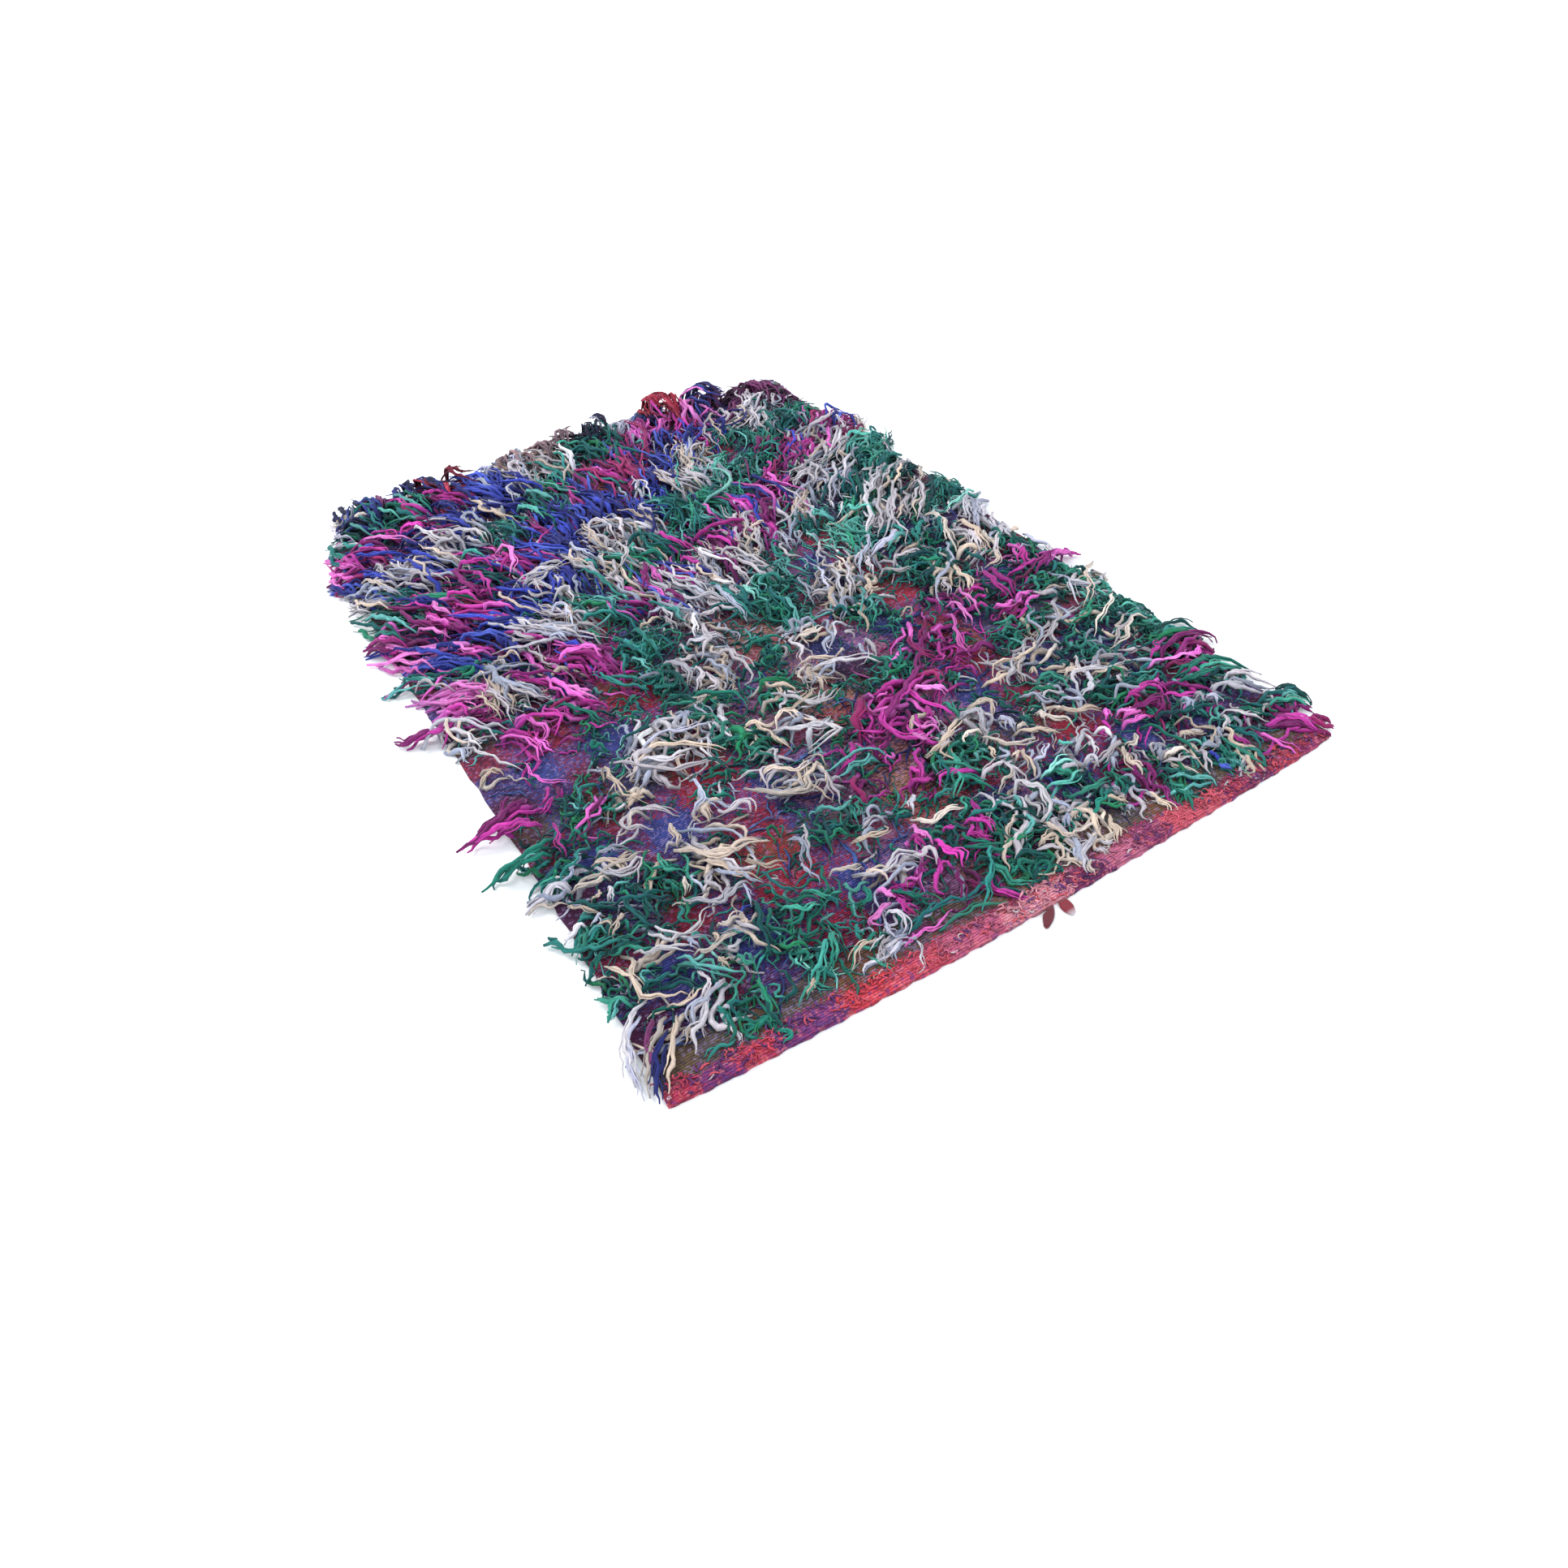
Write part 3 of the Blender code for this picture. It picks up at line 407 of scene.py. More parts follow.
    ("C", 6.5, [(.452, -.545), (.470, -.542), (.491, -.557), (.499, -.578), (.506, -.599)]),
    ("C", 5.9, [(.446, -.551), (.468, -.556), (.476, -.577), (.489, -.594), (.502, -.599)]),
    ("L", 7.0, [(.418, -.551), (.441, -.552), (.454, -.568), (.465, -.587), (.478, -.598)]),
    ("W", 5.4, [(.437, -.556), (.458, -.558), (.470, -.575)]),
    ("G", 7.5, [(.452, -.606), (.478, -.603), (.501, -.611), (.524, -.619), (.520, -.638)]),
    ("G", 7.4, [(.502, -.603), (.522, -.613), (.520, -.633), (.514, -.654)]),
    ("E", 5.3, [(.494, -.617), (.510, -.620), (.515, -.632)]),
    ("G", 6.3, [(.462, -.617), (.487, -.623), (.505, -.635), (.506, -.657)]),
    ("M", 6.5, [(.315, -.498), (.346, -.494), (.366, -.505), (.366, -.520)]),
    ("M", 6.9, [(.301, -.517), (.328, -.521), (.353, -.526), (.345, -.538), (.322, -.542)]),
    ("I", 6.3, [(.285, -.524), (.300, -.526), (.315, -.529)]),
    ("M", 6.3, [(.272, -.537), (.295, -.539), (.317, -.542)]),
    ("M", 5.9, [(.366, -.505), (.392, -.517), (.408, -.539), (.423, -.564)]),
    ("M", 4.8, [(.359, -.519), (.380, -.536), (.404, -.550)]),
    ("L", 6.4, [(.372, -.540), (.376, -.551), (.364, -.559)]),
    ("W", 6.4, [(.391, -.545), (.400, -.547), (.400, -.555), (.384, -.561)]),
    ("L", 5.3, [(.402, -.557), (.410, -.567), (.408, -.578)]),
    ("G", 6.3, [(.343, -.557), (.366, -.565), (.388, -.572), (.413, -.573)]),
    ("G", 6.3, [(.321, -.550), (.346, -.555), (.359, -.564)]),
    ("O", 4.7, [(.334, -.571), (.346, -.572), (.352, -.580), (.350, -.597), (.357, -.604), (.363, -.613), (.352, -.625), (.334, -.631), (.323, -.627)]),
    ("C", 4.6, [(.336, -.593), (.343, -.604), (.353, -.605)]),
    ("C", 6.2, [(.318, -.596), (.331, -.595), (.339, -.605)]),
    ("C", 7.6, [(.286, -.588), (.276, -.600), (.269, -.614)]),
    ("C", 6.1, [(.274, -.612), (.289, -.611), (.303, -.619), (.310, -.622)]),
    ("C", 4.5, [(.270, -.615), (.284, -.630), (.305, -.637), (.314, -.640)]),
    ("C", 5.0, [(.323, -.627), (.319, -.640), (.310, -.656), (.301, -.674)]),
    ("G", 6.2, [(.293, -.548), (.304, -.566), (.310, -.590), (.315, -.614), (.316, -.634)]),
    ("W", 4.7, [(.395, -.594), (.413, -.599), (.421, -.613), (.427, -.628), (.439, -.642)]),
    ("W", 4.7, [(.398, -.596), (.385, -.614), (.370, -.621)]),
    ("C", 5.6, [(.376, -.612), (.378, -.627), (.370, -.645), (.376, -.659), (.384, -.667)]),
    ("C", 6.1, [(.371, -.612), (.364, -.629)]),
    ("M", 7.7, [(.431, -.645), (.456, -.650), (.474, -.659), (.476, -.673), (.472, -.688), (.479, -.699)]),
    ("M", 6.1, [(.428, -.654), (.456, -.663), (.467, -.682), (.476, -.698)]),
    ("I", 6.2, [(.475, -.660), (.480, -.672), (.477, -.687)]),
    ("M", 4.7, [(.497, -.642), (.501, -.658), (.504, -.668)]),
    ("X", 8.2, [(.483, -.673), (.488, -.685), (.494, -.696), (.502, -.700)]),
    ("X", 6.1, [(.473, -.694), (.478, -.706), (.483, -.710)]),
    ("X", 7.2, [(.494, -.673), (.502, -.683), (.505, -.693)]),
    ("M", 5.6, [(.409, -.651), (.413, -.667), (.415, -.685), (.417, -.709)]),
    ("M", 5.1, [(.408, -.645), (.409, -.657), (.409, -.675)]),
    ("M", 6.1, [(.377, -.632), (.381, -.649), (.386, -.662)]),
    ("G", 6.3, [(.421, -.598), (.430, -.611), (.441, -.623), (.446, -.631)]),
    ("G", 4.1, [(.376, -.612), (.398, -.633), (.417, -.651), (.440, -.663)]),
    ("G", 5.6, [(.383, -.626), (.398, -.647), (.396, -.665), (.387, -.678)]),
    ("G", 6.0, [(.371, -.658), (.380, -.674), (.374, -.694), (.369, -.705)]),
    ("H", 6.0, [(.364, -.623), (.363, -.652), (.366, -.682), (.368, -.703)]),
    ("H", 6.0, [(.352, -.634), (.349, -.657), (.357, -.670)]),
    ("B", 6.0, [(.329, -.638), (.333, -.650), (.327, -.661)]),
    ("B", 6.0, [(.325, -.667), (.326, -.679), (.328, -.684)]),
    ("E", 4.5, [(.327, -.661), (.336, -.665), (.332, -.676)]),
    ("G", 5.9, [(.256, -.643), (.275, -.659), (.292, -.677), (.291, -.694)]),
    ("G", 5.8, [(.248, -.664), (.245, -.688), (.237, -.709)]),
    ("H", 5.0, [(.245, -.626), (.270, -.643), (.289, -.666)]),
    ("M", 6.0, [(.237, -.610), (.247, -.612), (.244, -.624), (.228, -.641)]),
    ("M", 4.9, [(.228, -.641), (.232, -.656), (.224, -.674)]),
    ("C", 5.5, [(.241, -.575), (.232, -.594), (.234, -.608), (.225, -.624)]),
    ("C", 4.8, [(.210, -.647), (.217, -.661), (.216, -.682), (.214, -.693)]),
    ("W", 2.4, [(.311, -.691), (.302, -.698), (.293, -.705)]),
    ("C", 8.8, [(.386, .212), (.360, .195), (.329, .147), (.312, .108), (.283, .080), (.266, .050)]),
    ("C", 8.8, [(.397, .197), (.368, .163), (.337, .123), (.320, .085), (.288, .053)]),
    ("C", 8.2, [(.421, .205), (.390, .154), (.350, .113), (.325, .070), (.289, .042)]),
    ("C", 8.1, [(.410, .168), (.376, .129), (.341, .085), (.320, .051)]),
    ("O", 6.4, [(.462, .230), (.432, .196), (.407, .178)]),
    ("C", 6.5, [(.498, .254), (.482, .227), (.460, .212)]),
    ("O", 7.1, [(.488, .210), (.465, .170), (.445, .148)]),
    ("C", 7.6, [(.432, .158), (.445, .163), (.446, .147), (.424, .109), (.395, .079), (.371, .056)]),
    ("C", 6.1, [(.381, .107), (.360, .088), (.344, .077)]),
    ("C", 5.7, [(.448, .230), (.415, .209), (.391, .190)]),
    ("L", 9.1, [(.326, .047), (.295, .028), (.265, .019), (.246, .011)]),
    ("C", 6.5, [(.269, .074), (.268, .048), (.246, .027), (.217, .002), (.202, -.025)]),
    ("C", 5.7, [(.235, .010), (.225, -.019), (.214, -.040)]),
    ("C", 5.7, [(.222, -.046), (.241, -.043), (.249, -.061), (.271, -.059), (.277, -.067)]),
    ("C", 5.8, [(.259, -.035), (.276, -.020), (.298, -.022), (.315, -.025), (.315, -.037)]),
    ("O", 7.3, [(.392, .067), (.400, .054), (.403, .031), (.392, .006), (.379, -.017), (.372, -.043), (.364, -.062)]),
    ("C", 6.2, [(.374, -.023), (.353, -.054), (.340, -.081), (.326, -.095), (.292, -.113), (.268, -.133), (.254, -.156), (.255, -.170)]),
    ("O", 6.2, [(.333, -.085), (.322, -.116), (.318, -.147), (.303, -.170), (.287, -.174)]),
    ("C", 4.9, [(.296, -.116), (.284, -.136), (.274, -.156)]),
    ("O", 7.9, [(.426, .017), (.424, -.005), (.425, -.029), (.416, -.064), (.413, -.090)]),
    ("C", 6.5, [(.418, -.024), (.402, -.066), (.394, -.085)]),
    ("C", 6.4, [(.492, -.031), (.461, -.056), (.434, -.078), (.412, -.099), (.397, -.124), (.374, -.125)]),
    ("O", 5.1, [(.434, -.036), (.425, -.062), (.420, -.096), (.429, -.105)]),
    ("C", 6.3, [(.402, -.097), (.408, -.111), (.386, -.131), (.369, -.127)]),
    ("W", 8.0, [(.494, .073), (.470, .049), (.451, .018), (.436, -.004)]),
    ("C", 6.7, [(.497, .070), (.481, .040), (.462, .010), (.437, -.015)]),
    ("L", 9.5, [(.517, .034), (.503, .044), (.479, .031), (.454, -.002), (.441, -.025)]),
    ("L", 7.4, [(.504, .029), (.485, .016), (.466, -.011)]),
    ("C", 5.3, [(.500, .005), (.469, -.029), (.461, -.056)]),
    ("W", 7.8, [(.472, -.064), (.458, -.077), (.460, -.088)]),
    ("C", 6.6, [(.478, -.063), (.491, -.063), (.495, -.070)]),
    ("L", 6.4, [(.495, -.082), (.492, -.112), (.501, -.128), (.502, -.151)]),
    ("W", 6.4, [(.503, -.130), (.497, -.157), (.502, -.167)]),
    ("E", 6.2, [(.519, .082), (.497, .078), (.474, .064), (.446, .057), (.425, .049)]),
    ("G", 8.3, [(.497, .172), (.469, .148), (.445, .111), (.414, .081)]),
    ("E", 9.0, [(.436, .375), (.457, .379), (.467, .359), (.486, .352)]),
    ("G", 7.9, [(.377, .041), (.353, .026), (.331, .001)]),
    ("G", 7.9, [(.399, .041), (.391, .013), (.365, -.015)]),
    ("G", 7.2, [(.342, .034), (.335, .007), (.329, -.011)]),
    ("G", 6.5, [(.329, .028), (.301, .024), (.277, .009)]),
    ("E", 6.8, [(.300, .170), (.302, .143), (.323, .141), (.327, .114)]),
    ("G", 7.9, [(.247, .091), (.246, .065), (.230, .045)]),
    ("E", 6.0, [(.299, .118), (.280, .115), (.254, .102)]),
    ("G", 6.3, [(.300, -.045), (.309, -.067), (.332, -.069)]),
    ("G", 6.4, [(.272, -.039), (.290, -.037), (.312, -.041), (.327, -.053)]),
    ("H", 6.3, [(.347, -.049), (.328, -.096), (.322, -.136)]),
    ("G", 7.5, [(.307, -.080), (.275, -.101), (.276, -.110)]),
    ("E", 6.3, [(.366, -.079), (.374, -.101), (.374, -.125)]),
    ("M", 7.6, [(.454, -.106), (.440, -.135), (.422, -.161)]),
    ("M", 8.7, [(.490, -.164), (.462, -.167), (.428, -.186), (.419, -.188)]),
    ("M", 7.6, [(.511, -.180), (.489, -.175), (.464, -.175)]),
    ("M", 8.6, [(.371, -.135), (.364, -.159), (.365, -.183), (.360, -.215)]),
    ("M", 7.3, [(.357, -.133), (.350, -.171), (.351, -.200), (.350, -.221)]),
    ("I", 6.0, [(.295, -.150), (.290, -.177), (.290, -.196), (.284, -.224)]),
    ("M", 7.2, [(.311, -.220), (.320, -.232), (.347, -.230)]),
    ("I", 5.3, [(.257, -.172), (.266, -.192), (.265, -.218), (.257, -.238)]),
    ("W", 9.5, [(-.325, .520), (-.307, .506), (-.283, .495), (-.265, .474)]),
    ("W", 7.6, [(-.352, .575), (-.341, .539), (-.330, .503), (-.316, .479), (-.294, .476)]),
    ("L", 9.5, [(-.339, .477), (-.316, .479), (-.298, .479)]),
    ("W", 7.4, [(-.350, .479), (-.342, .446), (-.328, .423), (-.318, .399)]),
    ("W", 9.5, [(-.289, .492), (-.269, .484), (-.259, .449)]),
    ("C", 7.0, [(-.254, .568), (-.255, .544), (-.272, .539), (-.261, .506), (-.249, .476), (-.248, .451)]),
    ("C", 5.0, [(-.252, .541), (-.241, .554), (-.246, .565)]),
    ("O", 7.0, [(-.234, .574), (-.231, .546), (-.217, .521), (-.203, .496), (-.188, .474)]),
    ("W", 6.6, [(-.450, .489), (-.441, .476), (-.437, .442), (-.429, .420), (-.410, .412)]),
    ("C", 6.7, [(-.414, .446), (-.391, .451), (-.375, .433), (-.359, .415), (-.345, .394)]),
    ("C", 6.6, [(-.438, .461), (-.416, .439), (-.387, .417), (-.362, .386)]),
    ("C", 6.5, [(-.411, .410), (-.391, .407), (-.370, .382), (-.355, .365)]),
    ("O", 7.2, [(-.487, .448), (-.466, .439), (-.453, .411), (-.433, .384)]),
    ("L", 7.8, [(-.460, .410), (-.446, .388), (-.432, .365)]),
    ("C", 6.5, [(-.421, .399), (-.407, .377), (-.388, .350)]),
    ("O", 7.6, [(-.513, .420), (-.502, .383), (-.481, .361), (-.459, .343)]),
    ("W", 5.7, [(-.521, .414), (-.510, .377), (-.496, .356)]),
    ("L", 7.7, [(-.484, .701), (-.482, .674), (-.479, .637), (-.474, .599)]),
    ("L", 6.9, [(-.488, .651), (-.473, .622), (-.457, .600), (-.450, .588)]),
    ("G", 9.5, [(-.502, .627), (-.501, .586), (-.491, .552), (-.477, .525)]),
    ("G", 8.1, [(-.513, .585), (-.507, .548), (-.490, .529)]),
    ("G", 8.2, [(-.480, .594), (-.460, .562), (-.438, .535)]),
    ("G", 8.4, [(-.456, .716), (-.443, .652), (-.431, .614), (-.416, .589)]),
    ("G", 7.8, [(-.401, .692), (-.403, .657), (-.403, .621), (-.394, .597)]),
    ("E", 7.1, [(-.390, .676), (-.375, .650), (-.360, .624)]),
    ("G", 7.9, [(-.356, .714), (-.335, .679), (-.320, .629), (-.313, .602)]),
    ("H", 7.9, [(-.374, .679), (-.349, .659), (-.331, .619)]),
    ("H", 7.3, [(-.334, .708), (-.314, .670), (-.305, .611)]),
    ("I", 9.2, [(-.527, .531), (-.515, .500), (-.499, .470), (-.484, .458)]),
    ("M", 8.0, [(-.510, .534), (-.489, .509), (-.467, .486)]),
    ("I", 7.9, [(-.532, .504), (-.525, .477), (-.515, .461)]),
    ("I", 6.2, [(-.448, .579), (-.414, .567), (-.384, .544), (-.360, .526)]),
    ("M", 7.0, [(-.377, .567), (-.352, .575), (-.337, .553)]),
    ("M", 8.1, [(-.464, .548), (-.437, .538), (-.422, .516), (-.410, .484)]),
    ("X", 6.7, [(-.457, .520), (-.439, .507), (-.425, .480)]),
    ("M", 7.0, [(-.340, .590), (-.331, .580), (-.319, .574)]),
    ("M", 7.3, [(-.305, .674), (-.277, .664), (-.256, .655)]),
    ("B", 9.5, [(-.387, .533), (-.367, .504), (-.354, .475)]),
    ("B", 8.7, [(-.380, .485), (-.367, .459), (-.347, .431)]),
    ("B", 9.1, [(-.537, .486), (-.523, .457), (-.505, .423), (-.490, .403)]),
    ("B", 6.6, [(-.472, .468), (-.456, .447), (-.441, .427)]),
    ("B", 8.6, [(-.290, .625), (-.276, .596), (-.268, .553)]),
    ("B", 8.4, [(-.294, .566), (-.277, .525), (-.267, .489)]),
    ("B", 9.5, [(-.245, .686), (-.237, .641), (-.229, .596)]),
    ("B", 8.8, [(-.321, .753), (-.319, .705), (-.316, .664)]),
    ("N", 9.5, [(-.469, .737), (-.466, .705), (-.457, .681)]),
    ("N", 9.5, [(-.454, .752), (-.446, .708), (-.435, .681)]),
    ("K", 8.7, [(-.423, .754), (-.415, .710), (-.416, .667)]),
    ("P", 8.8, [(-.401, .749), (-.398, .727), (-.399, .698)]),
    ("P", 8.7, [(-.379, .743), (-.375, .702), (-.376, .673)]),
    ("B", 8.8, [(-.342, .761), (-.344, .716), (-.342, .684)]),
    ("N", 8.9, [(-.314, .748), (-.311, .726), (-.312, .699)]),
    ("R", 9.5, [(-.286, .734), (-.275, .694), (-.260, .666)]),
    ("R", 9.5, [(-.271, .706), (-.257, .676), (-.259, .638)]),
    ("M", 8.0, [(-.329, .398), (-.310, .390), (-.290, .384), (-.279, .367)]),
    ("M", 7.8, [(-.328, .391), (-.339, .368), (-.338, .338), (-.332, .309), (-.325, .289)]),
    ("M", 7.8, [(-.325, .348), (-.308, .345), (-.306, .313), (-.311, .279)]),
    ("I", 7.4, [(-.259, .409), (-.242, .403), (-.238, .377), (-.251, .339), (-.267, .320)]),
    ("M", 7.3, [(-.252, .388), (-.255, .358), (-.274, .341)]),
    ("M", 7.7, [(-.377, .319), (-.353, .309), (-.334, .281)]),
    ("M", 8.1, [(-.451, .325), (-.444, .283), (-.430, .262), (-.413, .233)]),
    ("M", 7.5, [(-.425, .278), (-.406, .255), (-.395, .228)]),
    ("I", 6.9, [(-.399, .315), (-.396, .284), (-.383, .261)]),
    ("M", 7.4, [(-.398, .238), (-.381, .210), (-.371, .198)]),
    ("M", 7.6, [(-.339, .250), (-.314, .243), (-.296, .224)]),
    ("I", 6.1, [(-.445, .257), (-.421, .229), (-.407, .210)]),
    ("G", 8.7, [(-.535, .359), (-.516, .331), (-.492, .300), (-.472, .258)]),
    ("G", 8.7, [(-.511, .350), (-.486, .322), (-.462, .291), (-.445, .257)]),
    ("G", 8.0, [(-.512, .301), (-.488, .270), (-.468, .247)]),
    ("G", 7.4, [(-.531, .328), (-.524, .304), (-.518, .278)]),
    ("E", 8.1, [(-.313, .424), (-.292, .418), (-.280, .393)]),
    ("G", 6.3, [(-.433, .340), (-.424, .325), (-.414, .312)]),
    ("E", 9.2, [(-.178, .520), (-.156, .496), (-.147, .460)]),
    ("G", 8.6, [(-.143, .568), (-.124, .534), (-.108, .496)]),
    ("G", 7.6, [(-.228, .470), (-.210, .439), (-.197, .412)]),
    ("M", 9.5, [(-.540, .268), (-.521, .267), (-.503, .262), (-.490, .240), (-.473, .211)]),
    ("M", 8.5, [(-.538, .254), (-.515, .245), (-.497, .216)]),
    ("I", 7.3, [(-.528, .265), (-.507, .271), (-.486, .255)]),
    ("I", 6.5, [(-.505, .212), (-.492, .190), (-.472, .173), (-.454, .148)]),
    ("I", 7.1, [(-.531, .211), (-.520, .183), (-.498, .172), (-.478, .153), (-.469, .136)]),
    ("B", 8.4, [(-.474, .207), (-.453, .192), (-.434, .170), (-.416, .147)]),
    ("B", 8.4, [(-.439, .194), (-.416, .183), (-.398, .160)]),
    ("B", 8.5, [(-.399, .196), (-.375, .187), (-.352, .176), (-.328, .152)]),
    ("N", 7.1, [(-.428, .148), (-.420, .135), (-.408, .126)]),
    ("I", 6.0, [(-.402, .180), (-.399, .158), (-.385, .140)]),
    ("W", 7.3, [(-.355, .218), (-.340, .191), (-.317, .163), (-.301, .133)]),
    ("W", 6.7, [(-.330, .199), (-.309, .184), (-.291, .159), (-.276, .127)]),
    ("L", 8.5, [(-.312, .140), (-.288, .131), (-.274, .100)]),
    ("W", 6.6, [(-.259, .102), (-.286, .103), (-.317, .110), (-.347, .119), (-.369, .131)]),
    ("C", 5.4, [(-.370, .111), (-.355, .105), (-.341, .107), (-.337, .084)]),
    ("C", 5.3, [(-.380, .101), (-.363, .094), (-.357, .075)]),
    ("C", 7.0, [(-.431, .084), (-.413, .081), (-.394, .081), (-.369, .078), (-.346, .071), (-.322, .064)]),
    ("O", 5.3, [(-.414, .077), (-.400, .091), (-.400, .072)]),
    ("C", 6.9, [(-.399, .066), (-.379, .052), (-.370, .026), (-.356, .012), (-.346, -.010)]),
    ("W", 6.3, [(-.503, .106), (-.481, .106), (-.460, .091), (-.446, .077)]),
    ("W", 6.5, [(-.252, .291), (-.230, .293), (-.208, .292), (-.188, .277)]),
    ("W", 6.6, [(-.220, .307), (-.196, .304), (-.180, .289)]),
    ("B", 6.4, [(-.291, .284), (-.269, .286), (-.263, .263)]),
    ("C", 6.3, [(-.300, .285), (-.301, .257), (-.292, .227), (-.281, .202), (-.261, .181)]),
    ("C", 5.7, [(-.259, .255), (-.259, .231), (-.245, .221), (-.223, .222)]),
    ("C", 5.8, [(-.241, .276), (-.241, .253), (-.245, .230)]),
    ("W", 5.8, [(-.144, .607), (-.159, .599), (-.168, .579), (-.169, .550)]),
    ("G", 6.5, [(-.427, .106), (-.421, .094), (-.404, .106), (-.388, .126)]),
    ("G", 5.8, [(-.464, .118), (-.445, .119), (-.428, .111)]),
    ("G", 5.8, [(-.506, .144), (-.487, .125), (-.466, .112)]),
    ("I", 6.9, [(-.453, .093), (-.435, .073), (-.416, .055), (-.410, .038)]),
    ("O", 7.3, [(-.107, .361), (-.111, .324), (-.107, .301), (-.096, .280)]),
    ("C", 7.6, [(-.107, .361), (-.089, .381), (-.071, .378), (-.069, .349), (-.073, .317)]),
    ("C", 8.2, [(-.048, .377), (-.048, .350), (-.063, .310)]),
    ("C", 6.6, [(-.146, .350), (-.145, .317), (-.134, .289), (-.123, .274)]),
    ("W", 7.3, [(-.093, .297), (-.078, .285), (-.081, .259), (-.099, .234), (-.116, .231)]),
    ("C", 7.2, [(-.120, .272), (-.125, .257), (-.129, .241)]),
    ("C", 7.1, [(-.107, .256), (-.117, .223), (-.135, .206), (-.124, .189)]),
    ("C", 5.9, [(-.152, .329), (-.162, .303), (-.155, .277), (-.141, .257)]),
    ("L", 6.9, [(-.256, .175), (-.237, .187), (-.226, .173), (-.233, .144), (-.238, .113)]),
    ("C", 5.7, [(-.237, .209), (-.215, .222), (-.203, .218), (-.211, .184), (-.225, .172)]),
    ("W", 6.7, [(-.236, .117), (-.219, .107), (-.209, .089)]),
    ("W", 7.3, [(-.267, .142), (-.259, .120), (-.246, .100), (-.238, .089)]),
    ("L", 7.7, [(-.176, .246), (-.189, .226), (-.194, .200)]),
    ("C", 5.6, [(-.227, .179), (-.231, .148), (-.242, .129)]),
    ("C", 7.2, [(-.284, .107), (-.268, .108), (-.257, .092)]),
    ("G", 5.8, [(-.166, .269), (-.157, .244), (-.149, .208), (-.147, .165), (-.135, .128)]),
    ("G", 7.4, [(-.221, .127), (-.200, .126), (-.182, .120), (-.169, .102)]),
    ("H", 7.5, [(-.200, .167), (-.184, .147), (-.165, .141)]),
    ("G", 8.0, [(-.066, .289), (-.039, .295), (-.027, .273), (-.022, .236), (-.013, .217)]),
    ("H", 7.9, [(-.069, .234), (-.047, .233), (-.033, .213)]),
    ("E", 6.6, [(-.061, .276), (-.065, .262), (-.069, .246)]),
    ("M", 7.7, [(-.069, .218), (-.083, .183), (-.103, .152)]),
    ("M", 7.7, [(-.066, .200), (-.069, .166), (-.071, .144)]),
    ("M", 7.5, [(-.080, .121), (-.069, .098), (-.069, .070)]),
    ("M", 8.8, [(.034, .237), (.057, .235), (.084, .241), (.113, .233), (.142, .228)]),
    ("M", 7.3, [(-.009, .286), (-.001, .246), (.016, .217)]),
    ("M", 6.7, [(.051, .224), (.069, .200), (.077, .171)]),
    ("M", 7.8, [(-.013, .192), (-.003, .168), (.003, .149)]),
    ("W", 7.0, [(-.060, .184), (-.055, .155), (-.038, .130), (-.023, .102), (-.021, .077)]),
    ("C", 6.8, [(-.006, .095), (-.007, .061), (-.008, .033), (-.006, .004), (-.012, -.027)]),
    ("C", 6.8, [(-.100, .145), (-.096, .113), (-.099, .084), (-.087, .064), (-.074, .046), (-.071, .025), (-.078, -.005)]),
    ("W", 7.5, [(-.055, .102), (-.063, .074), (-.048, .068), (-.026, .067), (-.016, .051), (-.011, .027)]),
    ("C", 6.2, [(-.130, .079), (-.111, .073), (-.097, .072)]),
    ("O", 7.3, [(-.157, .053), (-.134, .055), (-.115, .057)]),
    ("C", 6.0, [(-.111, .054), (-.110, .027), (-.109, .018)]),
    ("C", 6.0, [(-.064, .038), (-.084, .013), (-.096, -.018)]),
    ("C", 7.1, [(-.075, .012), (-.077, -.013), (-.083, -.040), (-.099, -.054), (-.113, -.069)]),
    ("C", 6.1, [(-.031, .023), (-.051, .021), (-.069, .023)]),
    ("W", 6.5, [(.039, .152), (.060, .168), (.074, .151), (.080, .121), (.088, .094), (.100, .075)]),
    ("C", 8.5, [(.028, .205), (.022, .177), (.031, .158), (.043, .137), (.054, .122)]),
    ("C", 6.4, [(.008, .160), (-.007, .140), (-.004, .117), (.015, .115)]),
    ("C", 7.7, [(.049, .120), (.044, .093), (.051, .070)]),
    ("W", 6.3, [(.000, .102), (.009, .078), (.026, .071)]),
    ("C", 6.8, [(.126, .200), (.144, .203), (.159, .208)]),
    ("C", 6.6, [(.143, .154), (.158, .158), (.153, .123), (.151, .106)]),
    ("L", 6.5, [(-.119, -.026), (-.102, -.034), (-.082, -.036), (-.059, -.045)]),
    ("C", 6.9, [(-.094, -.058), (-.094, -.083), (-.074, -.085), (-.076, -.108), (-.071, -.129), (-.076, -.156), (-.092, -.160)]),
    ("C", 6.3, [(-.115, -.079), (-.108, -.097), (-.103, -.120), (-.110, -.143)]),
    ("C", 5.8, [(-.119, -.065), (-.135, -.065), (-.148, -.055)]),
    ("W", 5.8, [(-.171, -.046), (-.158, -.061), (-.144, -.081), (-.152, -.101), (-.162, -.117)]),
    ("C", 5.7, [(-.138, -.087), (-.133, -.098), (-.136, -.112), (-.149, -.126), (-.157, -.132)]),
    ("C", 5.6, [(-.124, -.105), (-.128, -.125), (-.132, -.145), (-.149, -.142)]),
    ("G", 6.3, [(-.182, -.067), (-.168, -.082), (-.162, -.101), (-.169, -.128), (-.186, -.129)]),
    ("G", 6.3, [(-.209, -.083), (-.221, -.081), (-.239, -.062), (-.249, -.042), (-.253, -.021), (-.260, -.001)]),
    ("G", 5.1, [(-.247, -.029), (-.228, -.053), (-.205, -.074)]),
